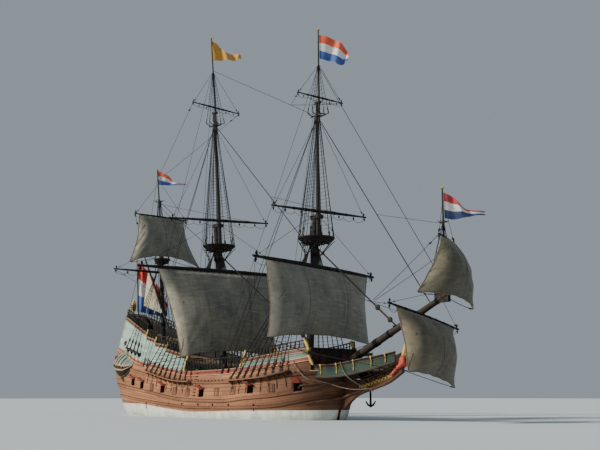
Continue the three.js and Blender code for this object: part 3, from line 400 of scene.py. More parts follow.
def plank_finish(name, colour, dark, length=7.0, seam=0.05, roughness=0.55, streaks=0.35, seam_colour=None,
                 bow_shade=0.0):
    """Planks along the UV map: u runs along them in metres and v counts them."""
    f = Finish(name, roughness)
    uv = f.node("ShaderNodeSeparateXYZ", {0: f.place("UV")})
    u, v = uv.outputs[0], uv.outputs[1]
    row = f.math("FLOOR", v)
    shift = f.node("ShaderNodeTexWhiteNoise", {"W": row}, noise_dimensions="1D").outputs["Value"]
    along = f.math("ADD", f.math("DIVIDE", u, length), f.math("MULTIPLY", shift, 7.3))
    plank = f.node("ShaderNodeCombineXYZ", {0: f.math("FLOOR", along), 1: row})
    tone = f.node("ShaderNodeTexWhiteNoise", {"Vector": plank.outputs[0]}).outputs["Value"]
    edge = f.math("ABSOLUTE", f.math("SUBTRACT", f.math("FRACT", v), 0.5))
    end = f.math("ABSOLUTE", f.math("SUBTRACT", f.math("FRACT", along), 0.5))
    open_seam = f.math("MULTIPLY", f.span(edge, 0.5 - 2.6 * seam, 0.5 - seam),
                       f.math("LESS_THAN", f.math("PINGPONG", row, 1.5), 0.5))
    lines = f.math("MAXIMUM", f.span(edge, 0.5 - seam, 0.5), f.span(end, 0.5 - 0.008, 0.5))
    lines = f.math("MAXIMUM", lines, f.math("MULTIPLY", open_seam, 0.7))
    grain = f.cloud(f.place("UV", (0.35, 3.1, 1)), 6.0, 6.0, 0.62)
    stain = f.cloud(f.place("Object", (1, 1, 2.2)), 2.3, 5.0, 0.6)
    drip = f.cloud(f.place("Object", (7, 7, 0.55)), 3.0, 4.0, 0.6)
    base = f.mix(f.span(tone, 0.1, 0.9), shade(colour, 0.76), shade(colour, 1.24))
    base = f.mix(f.span(grain, 0.38, 0.72, 0.0, 0.6), base, dark)
    base = f.mix(f.span(stain, 0.42, 0.75, 0.0, 0.5), base, shade(dark, 1.25))
    base = f.mix(f.span(drip, 0.55, 0.8, 0.0, streaks), base, shade(dark, 0.7))
    base = f.mix(f.math("MULTIPLY", lines, 0.85), base, seam_colour or shade(dark, 0.3))
    # Painted shade: the wood darkens towards the bow along the model's X
    spot = f.node("ShaderNodeSeparateXYZ", {0: f.place("Object")})
    base = f.mix(f.span(spot.outputs[0], BOW_SHADE_FROM, BOW_SHADE_TO, 0.0, bow_shade), base, shade(dark, 0.6))
    height = f.math("SUBTRACT", f.math("MULTIPLY", grain, 0.35), lines)
    rough = f.span(stain, 0.3, 0.8, roughness - 0.12, roughness + 0.15)
    return f.finish(base, height, 0.0012, rough)


def paint_finish(name, colour, worn, roughness=0.5, wear=0.35, metallic=0.0, scale=9.0):
    """Old paint on wood, thin in patches."""
    f = Finish(name, roughness, metallic)
    patch = f.cloud(f.place("Object", (1, 1, 1.6)), scale, 6.0, 0.65)
    fine = f.cloud(f.place("Object"), scale * 9, 3.0, 0.6)
    base = f.mix(f.span(patch, 0.4, 0.62), shade(colour, 0.82), shade(colour, 1.1))
    base = f.mix(f.span(fine, 0.55, 0.72, 0.0, wear), base, worn)
    height = f.math("ADD", patch, f.math("MULTIPLY", fine, 0.4))
    rough = f.span(fine, 0.3, 0.8, max(roughness - 0.1, 0.05), roughness + 0.15)
    return f.finish(base, height, 0.0008, rough)


def spar_finish(name, colour, dark, roughness=0.5):
    """Long grain along a spar, with checks and darker greased stretches."""
    f = Finish(name, roughness)
    grain = f.cloud(f.place("UV", (40.0, 0.8, 1)), 1.6, 6.0, 0.6)
    band = f.cloud(f.place("UV", (0.4, 1.1, 1)), 1.1, 3.0, 0.5)
    base = f.mix(f.span(grain, 0.35, 0.7), colour, dark)
    base = f.mix(f.span(band, 0.45, 0.65, 0.0, 0.6), base, shade(dark, 0.8))
    return f.finish(base, grain, 0.0009, f.span(grain, 0.3, 0.7, roughness - 0.1, roughness + 0.15))


def rope_finish(name, colour, dark):
    """Twisted rope: slanting strands on the object's own coordinates."""
    f = Finish(name, 0.85)
    strands = f.node("ShaderNodeTexWave", {"Vector": f.place("Object", (1, 1, 1)), "Scale": 120.0,
                                           "Distortion": 2.0}, wave_type="BANDS", bands_direction="DIAGONAL")
    fuzz = f.cloud(f.place("Object"), 60.0, 3.0)
    base = f.mix(f.span(fuzz, 0.35, 0.65), colour, dark)
    base = f.mix(f.math("MULTIPLY", strands.outputs["Fac"], 0.35), base, shade(dark, 0.6))
    return f.finish(base, strands.outputs["Fac"], 0.0006)


def canvas_finish(name, colour, dark, warm, cloth=0.62):
    """Sailcloth on its UV map in metres: sewn cloths, creases with a painted highlight and painted shade,
    mildew, a coarse weave and a painted highlight along the starboard edge.
    """
    f = Finish(name, 0.88, sheen=0.25)
    uv = f.node("ShaderNodeSeparateXYZ", {0: f.place("UV")})
    across = f.math("DIVIDE", uv.outputs[0], cloth)
    strip = f.math("FLOOR", across)
    tone = f.node("ShaderNodeTexWhiteNoise", {"W": strip}, noise_dimensions="1D").outputs["Value"]
    edge = f.math("ABSOLUTE", f.math("SUBTRACT", f.math("FRACT", across), 0.5))
    seam = f.span(edge, 0.455, 0.5)
    stain = f.cloud(f.place("UV", (0.16, 0.16, 1)), 1.7, 7.0, 0.66)
    rubbed = f.cloud(f.place("UV", (0.5, 2.2, 1)), 0.8, 6.0, 0.7)
    threads = f.cloud(f.place("UV", (30, 30, 1)), 1.0, 2.0)
    base = f.mix(f.span(stain, 0.36, 0.66), colour, dark)
    base = f.mix(f.span(rubbed, 0.52, 0.72, 0.0, 0.55), base, warm)
    base = f.mix(f.span(tone, 0, 1, 0.0, 0.22), base, shade(dark, 0.8))
    base = f.mix(f.math("MULTIPLY", seam, 0.45), base, shade(dark, 0.55))
    base = f.mix(f.span(threads, 0.45, 0.6, 0.0, 0.25), base, shade(dark, 0.7))
    # Painted highlight along the starboard edge of the sail, weaker where the cloth is stained
    leech_highlight = f.math("MULTIPLY", f.span(uv.outputs[0], 1.5, 0.15), f.span(stain, 0.3, 0.6, 1.0, 0.35))
    base = f.mix(f.math("MULTIPLY", leech_highlight, 0.88), base, tuple(min(c * 2.6, 1.0) for c in warm))
    # Creases: one noise bumps the cloth and paints a highlight on their ridges and shade in their hollows
    crease_bump_and_painted_light = f.cloud(f.place("UV", (0.35, 2.6, 1)), 1.3, 5.0, 0.6)
    base = f.mix(f.span(crease_bump_and_painted_light, 0.56, 0.7, 0.0, 0.45), base, shade(warm, 1.3))
    base = f.mix(f.span(crease_bump_and_painted_light, 0.44, 0.3, 0.0, 0.6), base, shade(dark, 0.55))
    height = f.math("ADD", f.math("MULTIPLY", threads, 0.3),
                    f.math("ADD", seam, f.math("MULTIPLY", rubbed, 0.8)))
    return f.finish(base, f.math("ADD", height, f.math("MULTIPLY", crease_bump_and_painted_light, 2.0)), 0.0022)


def flag_finish(name, stripes, warm):
    """Bunting with level stripes, counted by v of the UV map."""
    f = Finish(name, 0.8, sheen=0.3)
    uv = f.node("ShaderNodeSeparateXYZ", {0: f.place("UV")})
    base = stripes[0]
    for i, colour in enumerate(stripes[1:], start=1):
        past = f.math("GREATER_THAN", uv.outputs[1], i / len(stripes))
        base = f.mix(past, base, colour)
    weave = f.cloud(f.place("UV", (90, 60, 1)), 1.0, 2.0)
    fade = f.cloud(f.place("UV"), 3.0, 5.0)
    base = f.mix(f.span(fade, 0.35, 0.75, 0.0, 0.2), base, warm)
    base = f.mix(f.span(weave, 0.45, 0.6, 0.0, 0.18), base, (0.1, 0.09, 0.08))
    return f.finish(base, weave, 0.0004)


def boot_finish(name, colour, dirty, green):
    """The pale band at the waterline, stained downwards and green by the water."""
    f = Finish(name, 0.6)
    spot = f.node("ShaderNodeSeparateXYZ", {0: f.place("Object")})
    drip = f.cloud(f.place("Object", (9, 9, 1.1)), 2.2, 6.0, 0.65)
    patch = f.cloud(f.place("Object"), 3.0, 6.0, 0.65)
    low = f.span(spot.outputs[2], 0.075, -0.02)
    base = f.mix(f.span(drip, 0.42, 0.7, 0.0, 0.75), colour, dirty)
    base = f.mix(f.span(patch, 0.45, 0.75, 0.0, 0.4), base, dirty)
    base = f.mix(f.math("MULTIPLY", low, f.span(patch, 0.3, 0.6)), base, green)
    return f.finish(base, f.math("ADD", drip, patch), 0.001)


def glass_finish(name, colour):
    f = Finish(name, 0.12, specular=0.6)
    wave = f.cloud(f.place("Object"), 40.0, 2.0)
    return f.finish(f.mix(f.span(wave, 0.4, 0.6), colour, shade(colour, 1.8)), wave, 0.0003)


def iron_finish(name, colour):
    f = Finish(name, 0.55, 0.7)
    pits = f.cloud(f.place("Object"), 55.0, 5.0, 0.65)
    rust = f.cloud(f.place("Object"), 12.0, 5.0, 0.7)
    base = f.mix(f.span(rust, 0.55, 0.75, 0.0, 0.5), colour, (0.12, 0.045, 0.018))
    return f.finish(base, pits, 0.0006, f.span(pits, 0.3, 0.7, 0.4, 0.75))


# Settings a user would change
class ShipHullSettings(bpy.types.PropertyGroup):
    planking: FloatVectorProperty(name="Planking", description="Oiled oak of the hull's side",
                                  subtype="COLOR", default=(0.385, 0.17, 0.076), min=0, max=1)
    planking_dark: FloatVectorProperty(name="Planking, dark", description="Grain, stains and wales",
                                       subtype="COLOR", default=(0.092, 0.037, 0.019), min=0, max=1)
    upper_works: FloatVectorProperty(name="Upper works", description="Pale green paint above the sheer",
                                     subtype="COLOR", default=(0.31, 0.41, 0.35), min=0, max=1)
    wale_thickness: FloatProperty(name="Wale thickness", description="How far a wale stands out, real metres",
                                  default=0.115, min=0.0, max=0.2)


class ShipRigSettings(bpy.types.PropertyGroup):
    ratline_step: FloatProperty(name="Ratline step", description="Height between ratlines, real metres",
                                default=0.42, min=0.3, max=1.0)
    shroud_radius: FloatProperty(name="Shroud radius", description="Radius of a lower shroud, real metres",
                                 default=0.052, min=0.02, max=0.1)
    line_radius: FloatProperty(name="Line radius", description="Radius of running lines, real metres",
                               default=0.026, min=0.01, max=0.06)


class ShipSailSettings(bpy.types.PropertyGroup):
    cloth_width: FloatProperty(name="Cloth width", description="Width of one sewn cloth, real metres",
                               default=0.66, min=0.3, max=1.2)
    crease: FloatProperty(name="Crease depth", description="Depth of the creases, real metres",
                          default=0.05, min=0.0, max=0.2)
    across: IntProperty(name="Columns", description="Columns of points across a sail", default=56, min=8,
                        max=120)


class ShipStageSettings(bpy.types.PropertyGroup):
    lens: FloatProperty(name="Lens", description="Focal length on a 36 mm sensor", default=52.45, min=10,
                        max=200)
    key: FloatProperty(name="Key light", description="Strength of the sun-like lamp", default=5.6, min=0,
                       max=20)
    fill: FloatProperty(name="Fill light", description="Strength of the soft light all round", default=0.42,
                        min=0, max=5)


def hull_settings():
    return bpy.context.scene.ship_hull


def rig_settings():
    return bpy.context.scene.ship_rig


def sail_settings():
    return bpy.context.scene.ship_sails


PAINTS = {}


def paints():
    """Every finish of the ship, made once."""
    if PAINTS:
        return PAINTS
    s = hull_settings()
    planking, dark, green = tuple(s.planking), tuple(s.planking_dark), tuple(s.upper_works)
    gold_worn = (0.20, 0.10, 0.03)
    PAINTS.update(
        # The planking, the wales and the green upper works take painted shade towards the bow
        planking=plank_finish("oiled_planking", planking, dark, seam=0.07, bow_shade=0.85),
        wale=plank_finish("oiled_wale", shade(planking, 0.72), shade(dark, 0.7), 9.0, 0.04, bow_shade=0.85),
        dark_wood=plank_finish("dark_wood", (0.028, 0.018, 0.012), (0.011, 0.008, 0.006), 5.0, 0.05, 0.7),
        deck=plank_finish("deck_planking", (0.36, 0.27, 0.175), (0.17, 0.12, 0.08), 8.0, 0.06, 0.75, 0.1,
                          (0.02, 0.018, 0.015)),
        green=plank_finish("green_planking", green, (0.13, 0.21, 0.18), 6.0, 0.035, 0.55, 0.3,
                           (0.05, 0.08, 0.07), bow_shade=0.6),
        timber=paint_finish("timber", planking, dark, 0.55, 0.6),
        boot=boot_finish("boot_paint", (0.66, 0.68, 0.61), (0.36, 0.35, 0.27), (0.2, 0.26, 0.2)),
        red=paint_finish("red_paint", (0.42, 0.065, 0.045), (0.2, 0.07, 0.04)),
        strip=paint_finish("sheer_strake_paint", (0.27, 0.052, 0.038), (0.12, 0.045, 0.028)),
        head_cream=paint_finish("head_cream_paint", (0.12, 0.09, 0.05), (0.05, 0.035, 0.02)),
        cream=paint_finish("cream_paint", (0.42, 0.29, 0.15), (0.17, 0.10, 0.05)),
        # Near-black wood, painted shade: the inner walls of the rails and the front of the forecastle; the
        # lower band of each gallery takes it too
        inner_wall=plank_finish("near_black_shade_wood", (0.014, 0.011, 0.010), (0.007, 0.006, 0.005), 5.0, 0.05),
        head_green=paint_finish("head_green_paint", (0.026, 0.049, 0.036), (0.011, 0.018, 0.014), 0.6),
        roof_green=paint_finish("roof_green_paint", shade(green, 0.55), (0.07, 0.1, 0.08)),
        # Half as bright as the green upper works, for the forecastle: darker paint and painted shade together
        fore_green=plank_finish("fore_green_shaded_planking", shade(green, 0.5), (0.05, 0.085, 0.07), 6.0, 0.035,
                                0.55, 0.3, (0.03, 0.05, 0.045)),
        dark_red=paint_finish("dark_red_paint", (0.07, 0.013, 0.013), (0.03, 0.014, 0.01)),
        dark_green=paint_finish("dark_green_paint", (0.055, 0.095, 0.072), (0.022, 0.03, 0.022)),
        leaf_green=paint_finish("leaf_green_paint", shade(green, 0.36), (0.05, 0.07, 0.05)),
        gold=paint_finish("gilding", (0.52, 0.35, 0.075), gold_worn, 0.45, 0.4, 0.12),
        old_gold=paint_finish("old_gilding", (0.19, 0.125, 0.04), (0.06, 0.035, 0.018), 0.55, 0.5, 0.1),
        mast=spar_finish("mast_wood", (0.026, 0.027, 0.025), (0.011, 0.012, 0.012), 0.65),
        bowsprit=spar_finish("bowsprit_wood", (0.048, 0.032, 0.022), (0.014, 0.011, 0.009), 0.65),
        spar=spar_finish("spar_wood", (0.022, 0.018, 0.015), (0.009, 0.008, 0.0075), 0.65),
        top=plank_finish("top_wood", (0.03, 0.023, 0.018), (0.011, 0.009, 0.008), 2.0, 0.05, 0.7),
        rope=rope_finish("tarred_rope", (0.016, 0.0135, 0.0115), (0.008, 0.007, 0.0065)),
        hemp=rope_finish("hemp_rope", (0.26, 0.21, 0.145), (0.12, 0.09, 0.06)),
        block=paint_finish("block_wood", (0.02, 0.0145, 0.011), (0.01, 0.0075, 0.006), 0.7),
        iron=iron_finish("black_iron", (0.014, 0.014, 0.015)),
        glass=glass_finish("window_glass", (0.012, 0.018, 0.02)),
        netting=paint_finish("dark_netting", (0.012, 0.011, 0.011), (0.04, 0.03, 0.026), 0.9, 0.35),
        canvas=canvas_finish("sail_canvas", (0.235, 0.222, 0.177), (0.102, 0.103, 0.09), (0.30, 0.265, 0.19)),
        # Darker, warmer copies of the sail canvas for the spritsail and the sprit topsail: their darkness is
        # painted shade
        head_canvas=canvas_finish("head_canvas", (0.14, 0.12, 0.08), (0.063, 0.056, 0.04),
                                  (0.185, 0.15, 0.097)),
        top_canvas=canvas_finish("head_topsail_canvas", (0.12, 0.108, 0.075), (0.058, 0.053, 0.038),
                                 (0.17, 0.145, 0.092)),
        # Canvas about twice as bright as the rest, for the lateen sail: painted light
        pale_canvas=canvas_finish("pale_canvas", (0.56, 0.48, 0.36), (0.36, 0.3, 0.21), (0.62, 0.52, 0.36)),
        tricolour=flag_finish("striped_bunting", ((0.02, 0.08, 0.32), (0.72, 0.70, 0.68),
                                                  (0.72, 0.085, 0.018)),
                              (0.5, 0.45, 0.4)),
        jack_stripes=flag_finish("jack_bunting", ((0.012, 0.03, 0.12), (0.66, 0.64, 0.62),
                                                  (0.42, 0.022, 0.03)),
                                 (0.35, 0.3, 0.28)),
        ensign_stripes=flag_finish("ensign_bunting", ((0.035, 0.13, 0.42), (0.74, 0.72, 0.70),
                                                      (0.62, 0.035, 0.02)),
                                   (0.5, 0.45, 0.4)),
        gold_flag=flag_finish("gold_bunting", ((0.52, 0.27, 0.04),), (0.35, 0.2, 0.06)),
    )
    return PAINTS


def paint_list(*names):
    return [paints()[name] for name in names]


# Camera, light and floor
CAMERA_PLACE = Vector((90.3, -63.57, 2.466))
CAMERA_AZIMUTH, CAMERA_PITCH = math.radians(50), math.radians(11.094)
CAMERA_RIGHT = Vector((math.cos(CAMERA_AZIMUTH), math.sin(CAMERA_AZIMUTH), 0))
# Strength of the front light for each unit of the key light, and half the floor's side
FRONT_SHARE, FLOOR_REACH = 0.03, 900


class SHIP_OT_stage(bpy.types.Operator):
    """Camera at the photograph's angle, soft light and a floor at the waterline"""

    bl_idname = "ship.stage"
    bl_label = "Stage"

    def execute(self, context):
        s = context.scene.ship_stage
        lens = bpy.data.cameras.new("camera")
        lens.lens = s.lens
        lens.sensor_width = 36
        lens.clip_start, lens.clip_end = 0.1, 400
        camera = bpy.data.objects.new("camera", lens)
        camera.location = CAMERA_PLACE * SCALE
        camera.rotation_euler = (math.pi / 2 + CAMERA_PITCH, 0, CAMERA_AZIMUTH)
        context.scene.collection.objects.link(camera)
        context.scene.camera = camera
        self.light(context, "key", (-0.42, -0.80, 0.50), s.key, 9.0, (1.0, 0.95, 0.86))
        self.light(context, "front", (0.75, -0.35, 0.45), s.key * FRONT_SHARE, 40.0, (0.88, 0.94, 1.0))
        world = bpy.data.worlds.new("studio")
        world.use_nodes = True
        world.node_tree.nodes["Background"].inputs["Color"].default_value = (0.66, 0.76, 0.86, 1)
        world.node_tree.nodes["Background"].inputs["Strength"].default_value = s.fill
        context.scene.world = world
        floor = Shape()
        reach = FLOOR_REACH
        floor.add([(-reach, -reach, 0), (reach, -reach, 0), (reach, reach, 0), (-reach, reach, 0)],
                  [(0, 1, 2, 3)])
        plain = Finish("floor_paint", 0.7)
        grey = plain.cloud(plain.place("Object"), 0.25, 3.0)
        plain.finish(plain.mix(grey, (0.50, 0.55, 0.58), (0.54, 0.59, 0.62)))
        floor.make("floor", [plain.material])
        return {"FINISHED"}

    def light(self, context, name, towards, strength, softness, colour):
        lamp = bpy.data.lights.new(name, "SUN")
        lamp.energy = strength
        lamp.angle = math.radians(softness)
        lamp.color = colour
        source = bpy.data.objects.new(name, lamp)
        source.rotation_euler = Vector(towards).to_track_quat("Z", "Y").to_euler()
        context.scene.collection.objects.link(source)


# Gunports: name, place along and height of the middle; the raised ones are on the starboard side
PORT_WIDTH, PORT_HEIGHT, LID_CLEAR, PORT_DEPTH = 0.9, 0.82, 0.055, 0.75
GUNPORTS = (("quarter", -15.0, 4.36), ("after", -12.1, 3.93), ("main", -6.33, 3.38), ("waist", 2.51, 2.86),
            ("fore", 11.94, 3.26), ("bow", 18.75, 3.44))
# How far a lid is raised, in degrees, where it is not 130
LID_OPEN = {"fore": 112}
SHUT_PORTS = (-9.2, -3.4, -0.45, 5.65, 8.8, 15.35)
PORT_LINE = curve([(x, z) for _, x, z in GUNPORTS])


def port_axes(x, z, side):
    """Along, outward and up directions of a gunport, and the middle of its opening."""
    out = side_out(x, z, side)
    along = UP.cross(out) * -side
    return (along, out, UP), on_side(x, z, side)


# Strakes: rows of a hull section from the keel up, as (height, distance out, v, paint above the row)
BOOT, PLANK, WALE, CREAM, STRIP, DECK, INSIDE = range(7)
BOTTOM_ROWS = 12
HULL_PAINTS = ("boot", "planking", "wale", "cream", "strip", "deck", "planking")


def strake_rows(x_top, s, top):
    """Rows of the hull's skin at a station: planks between wales, which stand out with sharp edges."""
    thick = hull_settings().wale_thickness

    def height(line):
        z = min(line(x_top), top)
        return min(line(station_x(x_top, s, z)), top)

    boot = height(BOOT_TOP)
    lower = max(height(LOWER_WALE), boot + 0.06)
    middle = height(MIDDLE_WALE)
    upper = height(UPPER_WALE)
    strip = min(max(SHEER(x_top) - STRIP_HEIGHT(x_top), upper + 0.3), top)
    rows = []
    for i in range(BOTTOM_ROWS):
        share = (i / BOTTOM_ROWS) ** 1.35
        rows.append((KEEL + (boot - KEEL) * share, 0.0, i * 1.0, BOOT))
    count = [float(BOTTOM_ROWS)]

    def planks(low, high, number, paint=PLANK):
        for i in range(number):
            rows.append((low + (high - low) * i / number, 0.0, count[0] + i, paint))
        count[0] += number

    def wale(low, size, out, paint=WALE):
        high = min(low + size, top)
        rows.append((low, 0.0, count[0], paint))
        rows.append((low + 0.012, out, count[0], paint))
        rows.append((max(high - 0.03, low), out, count[0] + 1, paint))
        count[0] += 1
        return high

    planks(boot, lower, 2)
    at = wale(lower, 0.3, thick)
    planks(at, middle, 3)
    at = wale(middle, 0.36, thick)
    planks(at, upper, 4)
    at = wale(upper, 0.3, thick)
    planks(at, max(strip - 0.1, at), 4)
    at = wale(max(strip - 0.1, at), 0.1, thick, CREAM)
    rows.append((min(at, top), 0.02, count[0], STRIP))
    rows.append((top, 0.02, count[0] + 1, STRIP))
    return [(min(z, top), out, v, paint) for z, out, v, paint in rows]


def hull_stations():
    stern = [-21.86, -21.7, -21.4, -21.0, -20.5]
    aft = spread(-20, BREAK_AFT - 0.01, 34)
    waist = spread(BREAK_AFT, BREAK_FORE, 18)
    fore = spread(BREAK_FORE + 0.01, 19.6, 24) + [19.9, BEAK_BULKHEAD]
    beak = [BEAK_BULKHEAD + 0.01, 20.5, 20.8, 21.1, 21.4, 21.6, 21.8, 21.95, 22.1, 22.2, STEM_X(BEAK_TOP)]
    return stern + aft + waist + fore + beak


def hull_skin():
    """The planked hull, closed by its decks, with the waist left open."""
    rings, uvs = [], []
    for x in hull_stations():
        top = BEAK_TOP if x > BEAK_BULKHEAD else SHEER(x)
        s = station_of(x, top)
        rows = strake_rows(x, s, top)
        half, flat = [], []
        for z, out, v, _ in rows:
            at = station_x(x, s, z)
            half.append((at, half_breadth(at, z) + out, z))
            flat.append((at, v))
        well = WAIST_DECK(x) if BREAK_AFT <= x <= BREAK_FORE else top - 0.004
        edge = max(half_breadth(x, top) - WALL, STEM_HALF * 0.5)
        half += [(station_x(x, s, top), edge, top), (station_x(x, s, well), edge - 0.02, well)]
        flat += [(x, rows[-1][2] + 1), (x, edge * 4)]
        keel_point = (station_x(x, s, KEEL), 0, KEEL)
        middle = (station_x(x, s, well), 0, well)
        rings.append([keel_point] + half + [middle] + [(a, -b, c) for a, b, c in reversed(half)])
        uvs.append([(keel_point[0], 0)] + flat + [(x, 0)] + list(reversed(flat)))
    kinds = [row[3] for row in rows]
    side = [BOOT] + kinds[:-1] + [CREAM, INSIDE, DECK]
    paint_rows = side + [DECK, INSIDE, CREAM] + list(reversed(kinds[:-1])) + [BOOT]
    shape = Shape()
    shape.loft(rings, PLANK, uvs=uvs, paints=paint_rows)
    return shape.make("planked_hull", paint_list(*HULL_PAINTS), 28)


def cut_pockets(hull):
    """Opens the raised gunports in the hull's side and the hole of the bowsprit."""
    tools = Shape()
    for _, x, z in GUNPORTS:
        (along, out, up), middle = port_axes(x, z, -1)
        size = (PORT_WIDTH + 2 * LID_CLEAR, PORT_DEPTH + 0.5, PORT_HEIGHT + 2 * LID_CLEAR)
        tools.box(middle - out * (PORT_DEPTH - 0.5) / 2, size, (along, out, up))
    heel = Vector((20.0, 0, 5.35 - 0.9 * BOWSPRIT_SLOPE))
    tools.tube([heel, heel + Vector((3.6, 0, 3.6 * BOWSPRIT_SLOPE))], 0.455, 24)
    tool = tools.make("pocket_tool", paint_list("dark_wood"))
    hull.data.materials.append(paints()["dark_wood"])
    cut = hull.modifiers.new("pockets", "BOOLEAN")
    cut.operation = "DIFFERENCE"
    cut.solver = "EXACT"
    cut.object = tool
    cut.material_mode = "TRANSFER"
    bake(hull)
    bpy.data.objects.remove(tool)


def bake(piece):
    """Turns a piece's modifiers into its plain mesh."""
    graph = bpy.context.evaluated_depsgraph_get()
    done = bpy.data.meshes.new_from_object(piece.evaluated_get(graph))
    piece.modifiers.clear()
    piece.data = done
    return piece


# Geometry Nodes: copies of a small shape on points, and ropes along lines
def add_socket(tree, name, kind, way="INPUT"):
    return tree.interface.new_socket(name=name, in_out=way, socket_type=kind).identifier


def link_nodes(tree, *pairs):
    for (source, out), (target, into) in pairs:
        tree.links.new(source.outputs[out], target.inputs[into])


def ending(tree, source, out, group_in, finish_id):
    """Realize Instances, Set Material and the group's output."""
    realize = tree.nodes.new("GeometryNodeRealizeInstances")
    paint = tree.nodes.new("GeometryNodeSetMaterial")
    done = tree.nodes.new("NodeGroupOutput")
    link_nodes(tree, ((source, out), (realize, 0)), ((realize, 0), (paint, "Geometry")),
               ((group_in, finish_id), (paint, "Material")), ((paint, 0), (done, 0)))


def copies_tree():
    """Places a copy of one object on each point, turned and stretched by the point's attributes."""
    tree = bpy.data.node_groups.new("copies_on_points", "GeometryNodeTree")
    add_socket(tree, "Points", "NodeSocketGeometry")
    add_socket(tree, "Copy", "NodeSocketObject")
    add_socket(tree, "Finish", "NodeSocketMaterial")
    add_socket(tree, "Geometry", "NodeSocketGeometry", "OUTPUT")
    start = tree.nodes.new("NodeGroupInput")
    found = tree.nodes.new("GeometryNodeObjectInfo")
    place = tree.nodes.new("GeometryNodeInstanceOnPoints")
    turn = tree.nodes.new("FunctionNodeEulerToRotation")
    values = []
    for name in ("turn", "stretch"):
        value = tree.nodes.new("GeometryNodeInputNamedAttribute")
        value.data_type = "FLOAT_VECTOR"
        value.inputs["Name"].default_value = name
        values.append(value)
    link_nodes(tree, ((start, "Copy"), (found, "Object")), ((start, "Points"), (place, "Points")),
               ((found, "Geometry"), (place, "Instance")), ((values[0], "Attribute"), (turn, 0)),
               ((turn, 0), (place, "Rotation")), ((values[1], "Attribute"), (place, "Scale")))
    ending(tree, place, 0, start, "Finish")
    return tree


def ropes_tree():
    """A round rope along every chain of edges, as thick as the points' attribute says."""
    tree = bpy.data.node_groups.new("ropes_on_lines", "GeometryNodeTree")
    add_socket(tree, "Lines", "NodeSocketGeometry")
    add_socket(tree, "Sides", "NodeSocketInt")
    add_socket(tree, "Finish", "NodeSocketMaterial")
    add_socket(tree, "Geometry", "NodeSocketGeometry", "OUTPUT")
    start = tree.nodes.new("NodeGroupInput")
    line = tree.nodes.new("GeometryNodeMeshToCurve")
    thick = tree.nodes.new("GeometryNodeInputNamedAttribute")
    thick.data_type = "FLOAT"
    thick.inputs["Name"].default_value = "thick"
    ring = tree.nodes.new("GeometryNodeCurvePrimitiveCircle")
    ring.inputs["Radius"].default_value = 1.0
    sweep = tree.nodes.new("GeometryNodeCurveToMesh")
    sweep.inputs["Fill Caps"].default_value = True
    smooth = tree.nodes.new("GeometryNodeSetShadeSmooth")
    link_nodes(tree, ((start, "Lines"), (line, 0)), ((start, "Sides"), (ring, "Resolution")),
               ((line, 0), (sweep, "Curve")), ((ring, 0), (sweep, "Profile Curve")),
               ((thick, "Attribute"), (sweep, "Scale")), ((sweep, 0), (smooth, 0)))
    ending(tree, smooth, 0, start, "Finish")
    return tree


# Each node tree is made once and kept here
TREES = {}


def apply_tree(piece, make_tree, **inputs):
    """Runs a tree on a piece with its named inputs set by identifier, and keeps the result as a mesh."""
    if make_tree not in TREES:
        TREES[make_tree] = make_tree()
    tree = TREES[make_tree]
    modifier = piece.modifiers.new(tree.name, "NODES")
    modifier.node_group = tree
    identifiers = {item.name: item.identifier for item in tree.interface.items_tree}
    for name, value in inputs.items():
        modifier[identifiers[name]] = value
    return bake(piece)


def line_object(name, points, edges):
    mesh = bpy.data.meshes.new(name)
    mesh.from_pydata([tuple(c * SCALE for c in p) for p in points], edges, [])
    piece = bpy.data.objects.new(name, mesh)
    bpy.context.scene.collection.objects.link(piece)
    return piece


def copies(name, shape, places, paint, body, slot):
    """One piece made of many copies of a small shape: places are (point, turn, stretch)."""
    small = shape.make(name + "_one", [])
    points = line_object(name, [p for p, _, _ in places], [])
    for label, column in (("turn", 1), ("stretch", 2)):
        attribute = points.data.attributes.new(label, "FLOAT_VECTOR", "POINT")
        flat = [c for place in places for c in tuple(place[column])]
        attribute.data.foreach_set("vector", flat)
    apply_tree(points, copies_tree, Copy=small, Finish=paints()[paint])
    bpy.data.objects.remove(small)
    return finish_piece(points, body, slot)


def ropes(name, lines, paint="rope", sides=5):
    """One mesh of ropes: each line is (points, radius)."""
    points, edges, thick = [], [], []
    for path, radius in lines:
        start = len(points)
        points += list(path)
        edges += [(start + i, start + i + 1) for i in range(len(path) - 1)]
        thick += [radius * SCALE] * len(path)
    piece = line_object(name, points, edges)
    piece.data.attributes.new("thick", "FLOAT", "POINT").data.foreach_set("value", thick)
    return apply_tree(piece, ropes_tree, Sides=sides, Finish=paints()[paint])


def facing(way):
    """The turn that points a shape's +X along a direction."""
    return Vector(way).to_track_quat("X", "Z").to_euler()


def sag(start, end, drop, count=9):
    """A line between two points that hangs down in the middle."""
    start, end = Vector(start), Vector(end)
    return [start.lerp(end, t) - Vector((0, 0, drop * 4 * t * (1 - t))) for t in spread(0, 1, count)]


ONE = (1.0, 1.0, 1.0)


# Upper works
CLAPBOARD = 0.33
GREEN, GREEN_RAIL, UPPER_DECK, UPPER_WALL = range(4)
# In both lists the inner wall takes the near-black wood of painted shade
UPPER_PAINTS = ("green", "cream", "deck", "inner_wall")
# The forecastle's green is darkened partly as painted shade
FORE_PAINTS = ("fore_green", "cream", "deck", "inner_wall")


